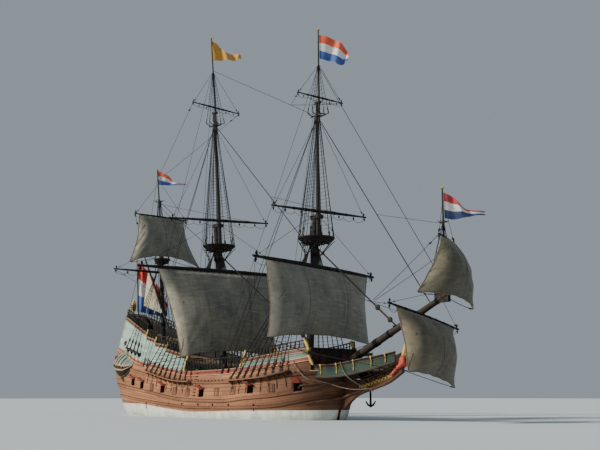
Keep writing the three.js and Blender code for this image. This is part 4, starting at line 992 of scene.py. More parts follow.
def upper_ring(x, top, deck, boards):
    """A section of the upper works: lapped boards outside, a cap, the inner wall and the deck."""
    low = SHEER(x) + 0.004
    s = station_of(x, low)

    def at(z):
        return x if x > RAKE_START else station_x(x, s, z)

    half, flat = [], []
    for i in range(boards):
        for z, out in ((low + CLAPBOARD * i, 0.035), (low + CLAPBOARD * (i + 1) - 0.004, 0.0)):
            z = min(z, top)
            half.append((at(z), half_breadth(at(z), z) + out, z))
            flat.append((x, i + (0.02 if out else 0.98)))
    edge = half_breadth(at(top), top) - WALL
    deck_x = x if x > TAFFRAIL_INSIDE else at(deck)
    half += [(at(top), half_breadth(at(top), top), top), (at(top), edge, top), (deck_x, edge + 0.03, deck)]
    flat += [(x, boards), (x, boards), (x, edge * 4)]
    bottom, middle = (at(low), 0, low), (deck_x, 0, deck)
    ring = [bottom] + half + [middle] + [(a, -b, c) for a, b, c in reversed(half)]
    return ring, [(x, 0)] + flat + [(x, 0)] + list(reversed(flat))


def upper_block(name, node, stations, top, deck, boards, finishes=UPPER_PAINTS):
    rings, uvs = [], []
    for x in stations:
        ring, uv = upper_ring(x, top(x), deck(x), boards)
        rings.append(ring)
        uvs.append(uv)
    side = [GREEN] * (2 * boards) + [GREEN_RAIL, UPPER_WALL, UPPER_DECK]
    kinds = [GREEN] + side[:-1] + [UPPER_DECK, UPPER_DECK] + list(reversed(side[:-1])) + [GREEN]
    shape = Shape()
    shape.loft(rings, GREEN, uvs=uvs, paints=kinds)
    piece = shape.make(name, paint_list(*finishes), 30)
    return finish_piece(piece, "ship", "green_paint", node)


def strip_section(inner, outer, half):
    """The (out, up) points of a flat strip."""
    return ((inner, -half), (outer, -half), (outer, half), (inner, half))


# Sections of the mouldings as (out, up) points, and how far the band's middle lies below the rail
BEAD = ((0.0, -0.036), (0.07, -0.032), (0.082, 0.0), (0.07, 0.032), (0.0, 0.036))
CAP = ((-0.24, 0.0), (0.09, 0.0), (0.105, 0.05), (0.09, 0.1), (-0.24, 0.1))
BAND = strip_section(0.0, 0.06, 0.16)
BAND_DROP = 0.24
HAND_RAIL = strip_section(-0.16, 0.02, 0.05)
MIDDLE_RAIL = strip_section(-0.11, -0.03, 0.03)
# Closed rails: name, from and to along the ship, and the line of their top
RAIL_RUNS = (("poop", -22.0, -13.75, POOP_RAIL), ("upper_quarter", -13.65, -10.78, QUARTER_RAIL),
             ("quarter", -10.73, -7.39, QUARTER_RAIL), ("lower_quarter", -7.34, -2.05, QUARTER_RAIL),
             ("forecastle", 9.85, 20.1, FORECASTLE_TOP))


def rail_length(x0, x1):
    return spread(x0, x1, max(3, int((x1 - x0) / 0.6)))


def rail_band(shape, run, side):
    """The painted band below a rail's cap, between two beads."""
    _, x0, x1, top = run
    xs = rail_length(x0, x1)
    shape.moulding(xs, lambda x: top(x) - BAND_DROP, side, BAND, paint=0)
    for drop in (0.06, 0.44):
        shape.moulding(xs, lambda x: top(x) - drop, side, BEAD, paint=1)
    shape.moulding(xs, top, side, CAP, paint=2)


def rail_dashes(run, side):
    """Places of the pale dashes on a band."""
    _, x0, x1, top = run
    places = []
    count = int((x1 - x0) / 0.46)
    for x in spread(x0 + 0.2, x1 - 0.2, count):
        z = top(x) - BAND_DROP
        way = side_out(x, z, side)
        places.append((on_side(x, z, side, 0.07), facing(way), ONE))
    return places


def dash_shape():
    """A carved pale leaf between two dark grounds: a rounded lozenge."""
    shape = Shape()
    shape.tube([(-0.02, 0, 0), (0.0, 0, 0), (0.035, 0, 0)], [0.055, 0.062, 0.03], 6)
    return shape


def post_shape():
    """A turned rail post, a metre high, that stands on the point it is placed on."""
    shape = Shape()
    width = 0.09
    rows = ((0, 0.6), (0.12, 0.6), (0.16, 1.0), (0.3, 0.55), (0.5, 0.95), (0.72, 0.5), (0.86, 0.8),
            (1.0, 0.7))
    shape.turned((0, 0, 0), UP, [(h, r * width) for h, r in rows], 8)
    return shape


# Open rails: name, from and to along the ship, the line that they stand on, and height
OPEN_RAILS = (("poop", -21.9, -13.9, POOP_RAIL, 0.95), ("quarter_high", -13.5, -10.9, QUARTER_RAIL, 0.85),
              ("quarter_middle", -10.6, -7.5, QUARTER_RAIL, 0.85),
              ("quarter_low", -7.2, -2.2, QUARTER_RAIL, 0.9),
              ("waist", -1.8, 9.6, SHEER, 1.25), ("forecastle", 9.95, 20.0, FORECASTLE_TOP, 0.72))


class SHIP_OT_hull(bpy.types.Operator):
    """Planked hull with wales, boot stripe, sheer strake and open gunports"""

    bl_idname = "ship.hull"
    bl_label = "Hull"

    def execute(self, context):
        hull = hull_skin()
        cut_pockets(hull)
        finish_piece(hull, "ship", "oiled_wood", "hull")
        self.sternpost()
        self.scuppers()
        return {"FINISHED"}

    def sternpost(self):
        """Sternpost and false keel, in one length of timber each."""
        post = Shape()
        rings = []
        for z in (KEEL, -2.8, 0, 1.5, 3.3):
            front, back = STERN_X(z) + 0.3, rudder_line(z) + 0.19
            rings.append([(front, -0.16, z), (front, 0.16, z), (back, 0.16, z), (back, -0.16, z)])
        post.loft(rings, 0)
        post.piece("sternpost", ["wale"], "oiled_wood")

    def scuppers(self):
        """Lead-lined drain holes with dark streaks below them."""
        shape = Shape()
        for side in (-1, 1):
            for x in (-10.4, -7.3, -4.4, -1.4, 2.08, 5.11, 8.22, 12.6):
                z = 1.5 + (0.05 if x > 0 else 0.1)
                (along, out, up), middle = port_axes(x, z, side)
                shape.tube([middle - out * 0.1, middle + out * 0.09], 0.11, 10, 0)
                shape.tube([middle - out * 0.02, middle + out * 0.1], 0.075, 10, 1)
                shape.box(middle - up * 0.38 + out * 0.004, (0.1, 0.02, 0.55), (along, out, up), 1)
        shape.piece("scuppers", ["dark_red", "iron"], "black_iron")


class SHIP_OT_upper_works(bpy.types.Operator):
    """Lapped green upper works with stepped rails, painted bands, posts and netting"""

    bl_idname = "ship.upper_works"
    bl_label = "Upper works"

    def execute(self, context):
        quarter = spread(POOP_START + 0.01, -10.76, 7) + [-10.75] + spread(-10.2, -7.37, 7) + [-7.36]
        quarter += spread(-6.9, BREAK_AFT, 12)
        upper_block("quarterdeck_side", "quarterdeck", quarter, QUARTER_RAIL, QUARTERDECK, 11)
        poop = [-21.86, -21.7, -21.69, -21.4, -21.0] + spread(-20.5, POOP_START - 0.01, 16)
        upper_block("poop_side", "poop", poop, POOP_RAIL,
                    lambda x: POOP_RAIL(x) - 0.004 if x < TAFFRAIL_INSIDE else POOP_DECK(x), 14)
        fore = spread(BREAK_FORE, BEAK_BULKHEAD - 0.05, 24)
        upper_block("forecastle_side", "forecastle", fore, FORECASTLE_TOP,
                    lambda x: FORECASTLE_TOP(x) - 0.004, 4, FORE_PAINTS)
        self.mouldings()
        self.rails()
        self.posts()
        self.catheads()
        return {"FINISHED"}

    def mouldings(self):
        for name, side in SIDES:
            shape = Shape()
            dashes = []
            for run in RAIL_RUNS:
                rail_band(shape, run, side)
                dashes += rail_dashes(run, side)
            shape.moulding(rail_length(-21.8, 20.1), SHEER, side, BEAD, 1)
            shape.piece(f"rail_bands_{name}", ["dark_red", "cream", "dark_wood"], "red_paint")
            copies(f"rail_leaves_{name}", dash_shape(), dashes, "cream", "ship", "gilding")

    def rails(self):
        for name, side in SIDES:
            hand = Shape()
            places = []
            nets = Shape()
            for run, x0, x1, base, height in OPEN_RAILS:
                xs = rail_length(x0, x1)
                for share, section in ((1, HAND_RAIL), (0.5, MIDDLE_RAIL)):
                    hand.moulding(xs, lambda x: base(x) + 0.1 + height * share, side, section)
                for x in spread(x0 + 0.05, x1 - 0.05, max(3, int((x1 - x0) / 0.55))):
                    places.append((on_side(x, base(x) + 0.08, side, -0.07), (0, 0, 0), (1, 1, height + 0.02)))
                if run != "forecastle":
                    self.net(nets, xs, base, height, side)
            hand.piece(f"handrails_{name}", ["dark_wood"], "spar_wood", f"forecastle_rail_{name}")
            copies(f"rail_posts_{name}", post_shape(), places, "dark_wood", "ship", "spar_wood")
            nets.piece(f"netting_{name}", ["netting"], "tarred_rope")

    def net(self, shape, xs, base, height, side):
        """Rope netting: crossing strands between the lower and the upper handrail."""
        step = 0.42
        count = max(2, int((xs[-1] - xs[0]) / step))
        for lean in (-1, 1):
            for i in range(count):
                x = xs[0] + (i + 0.5) * step
                x2 = min(max(x + lean * height * 0.5, xs[0]), xs[-1])
                low = on_side(x, base(x) + 0.1, side, -0.09)
                high = on_side(x2, base(x2) + 0.1 + height, side, -0.09)
                shape.tube([low, high], 0.014, 3)

    def posts(self):
        """Carved and gilded posts at the breaks of the rails."""
        shape = Shape()
        for side in (-1, 1):
            for x, low, high, lean in ((BREAK_AFT + 0.1, 5.35, 7.75, -0.25),
                                       (BREAK_FORE - 0.05, 5.6, 7.6, 0.35),
                                       (BEAK_BULKHEAD, 5.7, 8.45, -1.4), (-7.36, 8.4, 9.3, 0.0),
                                       (-10.75, 9.3, 10.15, 0.0), (-13.7, 10.3, 11.3, 0.0)):
                rows = []
                for i, t in enumerate(spread(0, 1, 9)):
                    z = low + (high - low) * t
                    foot = on_side(x, min(z, 7.3 if x > 0 else z), side, 0.05)
                    rows.append(Vector((foot.x + lean * (t - 0.35) - 0.12 * math.sin(6.3 * t), foot.y, z)))
                large = 1.3 if x == BEAK_BULKHEAD else 1.0
                sizes = [large * r for r in (0.08, 0.15, 0.11, 0.17, 0.12, 0.16, 0.12, 0.19, 0.1)]
                shape.tube(rows, sizes, 10)
                for i in (1, 3, 5, 7):
                    shape.tube([rows[i] + Vector((-0.16, 0, -0.05)), rows[i] + Vector((0, side * 0.06, 0)),
                                rows[i] + Vector((0.16, 0, 0.05))], [0.04, 0.1, 0.04], 8)
        shape.piece("gilded_posts", ["gold"], "gilding", sharp=60)

    def catheads(self):
        """The two beams that carry the anchors clear of the bow."""
        shape = Shape()
        for side in (-1, 1):
            base, head = Vector((19.7, side * 2.5, 6.75)), Vector((21.2, side * 4.75, 7.0))
            along = (head - base).normalized()
            axes = (along, along.cross(UP).normalized(), UP)
            shape.box((base + head) / 2, ((head - base).length, 0.3, 0.32), axes, 0)
            shape.box(head + along * 0.02, (0.06, 0.36, 0.38), axes, 1)
            for step in (0.25, 0.5, 0.75):
                shape.box(base.lerp(head, step), (0.05, 0.32, 0.34), axes, 2)
        shape.piece("catheads", ["dark_green", "gold", "iron"], "dark_green_paint")


# Spars: each row is foot, head, and the radii at the two
MASTS = {"foremast": ((16.25, 7.2), (17.25, 22.5), 0.42, 0.33),
         "mainmast": ((0.06, 4.2), (-2.45, 24.4), 0.46, 0.36),
         "mizzenmast": ((-14.69, 10.2), (-16.3, 23.4), 0.3, 0.24)}
TOPMASTS = {"fore": ((17.72, 19.2), (17.6, 35.9), 0.25, 0.17),
            "main": ((-1.42, 20.8), (-3.42, 40.0), 0.27, 0.18),
            "mizzen": ((-15.56, 20.9), (-17.86, 34.9), 0.17, 0.07),
            "sprit": ((36.0, 11.4), (35.98, 22.3), 0.15, 0.07)}
TOPGALLANTS = {"fore": ((17.96, 33.4), (17.86, 44.7), 0.14, 0.07),
               "main": ((-2.84, 37.3), (-4.52, 51.0), 0.14, 0.07)}
BOWSPRIT = ((20.9, 5.35), (36.6, 12.12), 0.44, 0.27)
BOWSPRIT_SLOPE, BOWSPRIT_LENGTH, BOWSPRIT_CAP_X, SPRIT_TOP_X = 0.4312, 17.1, 35.575, 35.6
LATEEN_RADIUS, LATEEN_CLEW = 0.16, Vector((-18.9, -0.9, 15.1))
# Tops: height of the floor and radius of the rim
TOPS = {"fore": (19.45, 2.1), "main": (21.05, 2.1), "mizzen": (21.0, 1.15)}
TOP_WALL, CAP_LENGTH, CAP_HALF, CAP_HEIGHT = 0.5, 1.5, 0.36, 0.45
# Share of a yard's radius along it, from the port end (-1) to the starboard end (1)
YARD_ROWS = ((-1, 0.42), (-0.72, 0.72), (-0.3, 0.98), (0, 1.0), (0.3, 0.98), (0.72, 0.72), (1, 0.42))
YARD_GAP = 0.055


def spar_at(spar, z):
    """The centre and the radius of a spar at a height."""
    (x0, z0), (x1, z1), r0, r1 = spar
    t = (z - z0) / (z1 - z0)
    return Vector((x0 + (x1 - x0) * t, 0, z)), r0 + (r1 - r0) * t


# Yards: the spar that each crosses, height, half length, radius, and degrees that it is braced round
YARDS = {"fore_yard": (MASTS["foremast"], 16.61, 10.9, 0.28, 11),
         "fore_topsail_yard": (TOPMASTS["fore"], 22.86, 6.35, 0.17, -8),
         "fore_topgallant_yard": (TOPGALLANTS["fore"], 36.25, 3.3, 0.1, -4),
         "main_yard": (MASTS["mainmast"], 18.1, 11.2, 0.3, -10),
         "main_topsail_yard": (TOPMASTS["main"], 24.8, 6.5, 0.18, -22),
         "main_topgallant_yard": (TOPGALLANTS["main"], 40.5, 3.9, 0.11, 1),
         "crossjack_yard": (MASTS["mizzenmast"], 19.5, 7.3, 0.17, -6),
         "mizzen_topsail_yard": (TOPMASTS["mizzen"], 27.65, 4.3, 0.13, -1),
         "sprit_topsail_yard": (TOPMASTS["sprit"], 17.25, 3.2, 0.12, 27)}
# Place along the ship, half length, radius, and degrees braced round and cocked up
SPRITSAIL_YARD = (33.3, 6.0, 0.17, 7.6, 8.8)
LOWER_YARDS = {"foremast": "fore_yard", "mainmast": "main_yard", "mizzenmast": "crossjack_yard"}


def yard_axes(name):
    """Centre, direction to the starboard end, direction forward, half length and radius of a yard."""
    if name == "spritsail_yard":
        x, half, radius, brace, tilt = SPRITSAIL_YARD
        b, t = math.radians(brace), math.radians(tilt)
        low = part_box(name)[0][2] / SCALE
        centre = Vector((x, 0, low + half * math.sin(t) + 0.42 * radius * math.cos(t)))
        along = Vector((math.sin(b) * math.cos(t), -math.cos(b) * math.cos(t), math.sin(t)))
        return centre, along, Vector((math.cos(b), math.sin(b), 0)), half, radius
    mast, z, half, radius, brace = YARDS[name]
    b = math.radians(brace)
    on, _ = spar_at(mast, z)
    reach = spar_at(mast, z - 0.15)[1] + YARD_GAP + radius
    centre = on + Vector((reach * math.cos(b), reach * math.sin(b), 0))
    return centre, Vector((math.sin(b), -math.cos(b), 0)), Vector((math.cos(b), math.sin(b), 0)), half, radius


YARD_THICK = steps(YARD_ROWS)


def on_yard(name, t, up=0.0, ahead=0.0):
    """A place along a yard: t is -1 at the port end and 1 at the starboard end."""
    centre, along, forward, half, _ = yard_axes(name)
    return centre + along * half * t + forward * ahead + Vector((0, 0, up))


def between_masts(which, z):
    """Halfway along the ship between a lower mast and its topmast at a height."""
    return (spar_at(MASTS[which + "mast"], z)[0].x + spar_at(TOPMASTS[which], z)[0].x) / 2


def shroud_angle(i, count, reach=62):
    """Angle of a shroud's place round the side of a top, which spreads over twice the reach."""
    return math.radians(-reach + 2 * reach * i / (count - 1)) + math.pi / 2


def ring_shape(sides, thick):
    """A loop of rope of radius 1 round the X axis."""
    shape = Shape()
    turns = [2 * math.pi * i / sides for i in range(sides + 1)]
    shape.tube([(0, math.cos(a), math.sin(a)) for a in turns], thick, 5)
    return shape


def block_shape():
    """A wooden block with its strop, along the X axis."""
    shape = Shape()
    rows = ((-0.17, 0.03), (-0.13, 0.1), (0, 0.135), (0.13, 0.1), (0.17, 0.03))
    across = Vector((0, 1, 0))
    rings = [[Vector((x, 0, 0)) + across * r * math.cos(a) + UP * r * 0.55 * math.sin(a)
              for a in (2 * math.pi * j / 8 for j in range(8))] for x, r in rows]
    shape.loft(rings)
    for y in (0.05, -0.05):
        shape.tube([(-0.24, 0, 0), (-0.17, y, 0), (0, 3 * y, 0), (0.17, y, 0), (0.24, 0, 0)], 0.025, 5)
    return shape


MAST_PAINTS = ("mast", "rope", "top", "iron", "gold")
MAST, BAND_ROPE, BAND_TOP, BAND_IRON, BAND_GOLD = range(5)


def pole(shape, spar, sides=18, count=12):
    """A spar with a gentle swell, from foot to head."""
    (x0, z0), (x1, z1), r0, r1 = spar
    rows = spread(0, 1, count)
    shape.tube([(x0 + (x1 - x0) * t, 0, z0 + (z1 - z0) * t) for t in rows],
               [r0 + (r1 - r0) * t for t in rows], sides, MAST)


def bands(shape, spar, heights, tall, out, paint, sides=18):
    """Bands round a spar, square to it."""
    way = (spar_at(spar, 1)[0] - spar_at(spar, 0)[0]).normalized()
    for z in heights:
        centre, radius = spar_at(spar, z)
        shape.tube([centre - way * tall / 2, centre + way * tall / 2], radius + out, sides, paint)


def rope_turn(shape, at, half, radius, out, sides):
    """One turn of rope round a spar: half is the half of its width along the spar."""
    shape.tube([at - half, at, at + half], [radius, radius + out, radius], sides, BAND_ROPE)


def wooldings(shape, spar, heights):
    """Turns of rope between two wooden hoops."""
    way = (spar_at(spar, 1)[0] - spar_at(spar, 0)[0]).normalized()
    for z in heights:
        centre, radius = spar_at(spar, z)
        for i in range(-3, 4):
            at = centre + way * i * 0.065
            rope_turn(shape, at, way * 0.034, radius, 0.035, 16)
        for end in (-0.27, 0.27):
            shape.tube([centre + way * (end - 0.035), centre + way * (end + 0.035)], radius + 0.03, 16, MAST)


def cross_trees(shape, x, z, half, size, lift):
    """Two fore-and-aft bars and three bars across with raised ends."""
    for side in (-1, 1):
        shape.box((x, side * half * 0.3, z), (half * 2, size, size * 1.2), None, BAND_TOP)
    for at in (-0.8, 0.0, 0.8):
        row = [Vector((x + at * half, y * half, z + size + lift * y * y)) for y in spread(-1, 1, 9)]
        shape.tube(row, size * 0.55, 6, BAND_TOP)


def mast_cap(shape, x, z):
    size = (CAP_LENGTH, 2 * CAP_HALF, CAP_HEIGHT - 0.06)
    shape.box((x, 0, z - CAP_HEIGHT / 2 + 0.02), size, None, BAND_TOP)
    shape.box((x, 0, z - 0.02), (CAP_LENGTH - 0.1, 2 * CAP_HALF - 0.1, 0.06), None, BAND_TOP)


def truck(shape, x, z):
    knob = ((0, 0.08), (0.04, 0.17), (0.1, 0.21), (0.17, 0.17), (0.2, 0.06))
    shape.turned((x, 0, z - 0.1), UP, knob, 12, BAND_GOLD)


class SHIP_OT_masts(bpy.types.Operator):
    """Lower masts, topmasts and topgallant poles with their rope bands, caps and trees"""

    bl_idname = "ship.masts"
    bl_label = "Masts"

    def execute(self, context):
        for name, spar in MASTS.items():
            self.lower_mast(name, spar)
        for name in ("fore", "main", "mizzen"):
            self.topmast(name)
        self.bowsprit()
        self.sprit_topmast()
        return {"FINISHED"}

    def lower_mast(self, name, spar):
        shape = Shape()
        pole(shape, spar)
        which = name.replace("mast", "")
        top, rim = TOPS[which]
        low = {"foremast": 9.6, "mainmast": 7.2, "mizzenmast": 12.2}[name]
        yard = YARDS[LOWER_YARDS[name]][1]
        wooldings(shape, spar, [z for z in spread(low, top - 1.4, 7) if abs(z - yard) > 0.7])
        x = spar_at(spar, top)[0].x
        half = 0.66 * rim
        for side in (-1, 1):
            beam, cheek = (0.4, 0.42) if rim > 2 else (0.26, 0.27)
            shape.box((x + 0.1, side * beam, top - 0.16), (2 * half, 0.16, 0.26), None, BAND_TOP)
            shape.plank((x, side * cheek, top - 1.5), (x + 0.05, side * cheek, top - 0.3), 0.3, 0.07,
                        (0, 1, 0), BAND_TOP)
        for at in (-0.55, 0.0, 0.55):
            shape.box((x + 0.1 + at * half, 0, top - 0.09), (0.16, 2 * half, 0.16), None, BAND_TOP)
        head_x, head_z = spar[1]
        mast_cap(shape, (spar_at(TOPMASTS[which], head_z)[0].x + head_x) / 2, head_z)
        for z in (top + 1.25, head_z - 0.9):
            bands(shape, spar, [z], 0.16, 0.02, BAND_IRON)
        shape.piece(name + "_pole", MAST_PAINTS, "mast_wood", name)

    def topmast(self, which):
        shape = Shape()
        spar = TOPMASTS[which]
        pole(shape, spar)
        (_, z0), (x1, z1) = spar[:2]
        bands(shape, spar, [z0 + 0.2, z0 + 0.8], 0.12, 0.015, BAND_IRON)
        if which in TOPGALLANTS:
            upper = TOPGALLANTS[which]
            pole(shape, upper, sides=12)
            trees = upper[0][1] + 0.75
            cross_trees(shape, (x1 + upper[0][0]) / 2, trees, 0.95, 0.1, 0.26)
            middle = (spar_at(spar, z1)[0].x + spar_at(upper, z1)[0].x) / 2
            shape.box((middle, 0, z1 - 0.12), (0.8, 0.42, 0.26), None, BAND_TOP)
            bands(shape, upper, [z1 + 3.9], 0.3, 0.03, BAND_ROPE, 10)
            truck(shape, upper[1][0], upper[1][1])
            self.hounds(shape, spar, trees)
        else:
            cross_trees(shape, spar_at(spar, 30.0)[0].x, 30.0, 0.6, 0.07, 0.12)
            self.hounds(shape, spar, 30.0)
            truck(shape, x1, z1)
        shape.piece(which + "_topmast_pole", MAST_PAINTS, "mast_wood", which + "_topmast")

    def hounds(self, shape, spar, z):
        """The thickening of a pole where its shrouds lie on it."""
        centre, radius = spar_at(spar, z - 0.9)
        rows = ((0, radius), (0.3, radius + 0.07), (0.85, radius + 0.12))
        shape.turned(centre, UP, rows, 12, BAND_TOP)

    def bowsprit(self):
        shape = Shape()
        (x0, z0), (x1, z1), r0, r1 = BOWSPRIT
        pole(shape, BOWSPRIT, sides=20, count=14)
        way = Vector((x1 - x0, 0, z1 - z0)).normalized()
        for along, count in ((3.4, 9), (6.0, 9), (8.2, 5), (10.3, 5), (12.2, 7), (15.2, 5)):
            radius = r0 + (r1 - r0) * along / BOWSPRIT_LENGTH
            for i in range(count):
                at = Vector((x0, 0, z0)) + way * (along + i * 0.075)
                rope_turn(shape, at, way * 0.035, radius, 0.04, 14)
        shape.box((BOWSPRIT_CAP_X, 0, 11.78), (1.7, 0.38, 1.1), None, BAND_TOP)
        shape.box((BOWSPRIT_CAP_X, 0, 12.38), (1.75, 0.4, 0.13), None, BAND_TOP)
        shape.piece("bowsprit_pole", ["bowsprit", *MAST_PAINTS[1:]], "mast_wood", "bowsprit")

    def sprit_topmast(self):
        shape = Shape()
        spar = TOPMASTS["sprit"]
        pole(shape, spar, sides=12)
        cross_trees(shape, spar_at(spar, 18.9)[0].x, 18.9, 0.4, 0.06, 0.08)
        truck(shape, spar[1][0], spar[1][1])
        bands(shape, spar, [12.9, 18.2], 0.25, 0.03, BAND_ROPE, 10)
        shape.piece("sprit_topmast_pole", MAST_PAINTS, "mast_wood", "sprit_topmast")


class SHIP_OT_tops(bpy.types.Operator):
    """Round tops with staves, ribs, a rail and a planked floor"""

    bl_idname = "ship.tops"
    bl_label = "Tops"

    def execute(self, context):
        for which, (z, rim) in TOPS.items():
            self.top(which + "_top", between_masts(which, z), z, 0.74 * rim, rim, TOP_WALL)
        self.top("sprit_top", SPRIT_TOP_X, 12.45, 0.9, 1.3, 0.75)
        return {"FINISHED"}

    def top(self, node, x, z, floor, rim, tall):
        shape = Shape()
        sides, wall = 40, 0.06
        hole = 0.34 * rim
        rows = ((hole, 0.0), (floor, 0.0), (floor + 0.02, 0.1), (rim - 0.03, tall - 0.08), (rim, tall - 0.06),
                (rim, tall), (rim - 0.14, tall), (rim - 0.12, tall - 0.06), (rim - 0.03 - wall, tall - 0.1),
                (floor - wall, 0.12), (hole, 0.1))
        turn = [2 * math.pi * j / sides for j in range(sides)]
        rings = [[(x + r * math.cos(a), r * math.sin(a), z + up) for a in turn] for r, up in rows + rows[:1]]
        uvs = [[(j * 0.18, 0.8 * i) for j in range(sides)] for i in range(len(rings))]
        shape.loft(rings, 0, caps=False, uvs=uvs)
        ribs = 20 if rim > 2 else 14
        for j in range(ribs):
            a = 2 * math.pi * (j + 0.5) / ribs
            out = Vector((math.cos(a), math.sin(a), 0))
            centre = Vector((x, 0, z))
            shape.plank(centre + out * floor + Vector((0, 0, 0.02)),
                        centre + out * (rim - 0.02) + Vector((0, 0, tall - 0.1)),
                        0.07, 0.06, out.cross(UP).cross(Vector((rim - floor, 0, tall))), 0)
        for level in (0.35, 0.68):
            r = floor + (rim - floor) * level + 0.012
            shape.tube([(x + r * math.cos(a), r * math.sin(a), z + tall * level) for a in turn + turn[:1]],
                       0.03, 5)
        shape.piece(node + "_staves", ["top"], "spar_wood", node, sharp=40)


# Square sails: yard, half widths of head and foot, drop, hollow of the foot, how far the foot's port and
# starboard corners stand ahead of the yard, and depth of the belly
SQUARE_SAILS = {"fore_course": ("fore_yard", 9.15, 8.95, 8.0, 0.65, 0.3, 0.2, 1.3),
                "main_course": ("main_yard", 8.6, 6.4, 10.8, 0.9, 2.6, 2.6, 1.7),
                "mizzen_topsail": ("mizzen_topsail_yard", 3.55, 5.5, 7.0, 1.2, 1.7, 1.3, 0.9),
                "spritsail": ("spritsail_yard", 4.9, 4.7, 5.9, 0.3, 0.0, 1.0, 1.8),
                "sprit_topsail": ("sprit_topsail_yard", 2.55, 4.4, 6.3, 0.2, 1.2, -1.9, 1.4)}
# How far the starboard clew of a sail is hauled up, and how the foot turns towards it
HAULED_UP, TWIST = {"sprit_topsail": 1.0}, {"sprit_topsail": 3}
SAIL_THICK = 0.022
ALL_YARDS = list(YARDS) + ["spritsail_yard"]


class SHIP_OT_yards(bpy.types.Operator):
    """Square yards with cleats, rope bands, blocks and robands, the spritsail yard's sling, and the lateen
    yard
    """

    bl_idname = "ship.yards"
    bl_label = "Yards"

    def execute(self, context):
        for name in ALL_YARDS:
            self.yard(name)
        self.lateen()
        return {"FINISHED"}

    def yard(self, name):
        centre, along, forward, half, radius = yard_axes(name)
        shape = Shape()
        rows = spread(-1, 1, 25)
        shape.tube([centre + along * half * t for t in rows], [radius * YARD_THICK(t) for t in rows], 16, 0)
        for t in (-0.93, -0.55, -0.3, -0.12, 0.12, 0.3, 0.55, 0.93):
            at, r = centre + along * half * t, radius * YARD_THICK(t)
            for i in (-1, 0, 1):
                rope_turn(shape, at + along * i * 0.07, along * 0.034, r, 0.032, 12)
        for side in (-1, 1):
            at = centre + along * side * (half * 0.985)
            shape.tube([at - along * 0.05, at + along * 0.05], radius * 0.42 + 0.03, 12, 2)
            for t in (0.16, 0.88):
                cleat = centre + along * side * half * t + forward * radius * YARD_THICK(t)
                shape.box(cleat, (0.5, 0.09, 0.1), (along, forward, UP), 0)
        if name == "spritsail_yard":
            self.sling(shape, centre, radius)
        shape.piece(name + "_spar", ["spar", "rope", "iron"], "spar_wood", name, body=name)
        self.fittings(name, centre, along, half, radius)

    def sling(self, shape, centre, radius):
        """The short sling that the yard hangs on below the bowsprit."""
        slope = math.atan(BOWSPRIT_SLOPE)
        up = Vector((-math.sin(slope), 0, math.cos(slope)))
        for lean in (-0.05, 0.0, 0.05):
            start = centre + Vector((0, lean, 0))
            shape.tube([start, start + up * (radius + 0.085)], 0.05, 8, 1)

    def fittings(self, name, centre, along, half, radius):
        """Robands round the head of a sail, and blocks along the yard."""
        down = Vector((0, 0, -1))
        places = []
        for t in (-0.96, -0.72, -0.4, 0.4, 0.72, 0.96):
            r = radius * YARD_THICK(t)
            places.append((centre + along * half * t + down * (r + 0.2), facing(down), ONE))
        for t in (-0.95, 0.95):
            r = radius * YARD_THICK(t)
            places.append((centre + along * half * t - down * (r + 0.2), facing(down), ONE))
        big = 1.15 if radius > 0.2 else 0.8 if radius > 0.12 else 0.6
        places = [(p, turn, (big, big, big)) for p, turn, _ in places]
        copies(name + "_blocks", block_shape(), places, "block", name, "spar_wood")
        sail = next((row for row in SQUARE_SAILS.values() if row[0] == name), None)
        if sail is None:
            return
        loops = []
        for t in spread(-sail[1] / half * 0.985, sail[1] / half * 0.985, int(2 * sail[1] / 0.42)):
            r = radius * YARD_THICK(t) + 0.02
            loops.append((centre + along * half * t, facing(along), (1, r, r)))
        copies(name + "_robands", ring_shape(10, 0.03), loops, "rope", name, "tarred_rope")

    def lateen(self):
        """The long mizzen yard that carries the three-cornered sail."""
        shape = Shape()
        low, high = lateen_ends()
        way = (high - low).normalized()
        length = (high - low).length
        rows = spread(0, 1, 21)
        shape.tube([low.lerp(high, t) for t in rows], [lateen_thick(t) for t in rows], 14, 0)
        for t in spread(0.05, 0.95, 17):
            at = low + way * length * t
            r = lateen_thick(t)
            rope_turn(shape, at, way * 0.05, r, 0.03, 10)
        shape.piece("lateen_yard_spar", ["spar", "rope"], "spar_wood", "lateen_yard")


def lateen_thick(t):
    """The lateen yard's radius at a share of its length."""
    return LATEEN_RADIUS * (1 - 0.58 * abs(2 * t - 1) ** 1.8)


def lateen_ends():
    low, high = (Vector(corner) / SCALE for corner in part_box("lateen_yard"))
    y = (low.y + high.y) / 2
    return Vector((-11.3, y, 9.35)), Vector((-20.0, y, 22.4))


# Sails and flags
def cloth_shape(point, columns, rows, thick, size):
    """A closed sheet over a grid of points, with a UV map in metres."""
    grid = [[Vector(point(u, v)) for u in spread(0, 1, columns)] for v in spread(0, 1, rows)]
    fronts, backs, uvs = [], [], []
    for i in range(rows):
        for j in range(columns):
            across = grid[i][min(j + 1, columns - 1)] - grid[i][max(j - 1, 0)]
            down = grid[min(i + 1, rows - 1)][j] - grid[max(i - 1, 0)][j]
            normal = across.cross(down).normalized() * thick / 2
            fronts.append(grid[i][j] + normal)
            backs.append(grid[i][j] - normal)
            uvs.append((size[0] * j / (columns - 1), size[1] * (1 - i / (rows - 1))))
    shape = Shape()
    total = rows * columns
    faces = []
    for i in range(rows - 1):
        for j in range(columns - 1):
            a = i * columns + j
            quad = (a, a + 1, a + columns + 1, a + columns)
            faces += [quad, tuple(total + k for k in reversed(quad))]
    edge = [i * columns for i in range(rows)] + [(rows - 1) * columns + j for j in range(1, columns)]
    edge += [i * columns + columns - 1 for i in range(rows - 2, -1, -1)]
    edge += [j for j in range(columns - 2, 0, -1)]
    for a, b in zip(edge, edge[1:] + edge[:1]):
        faces.append((b, a, total + a, total + b))
    shape.add(fronts + backs, faces, 0, uvs + uvs)
    return shape, grid


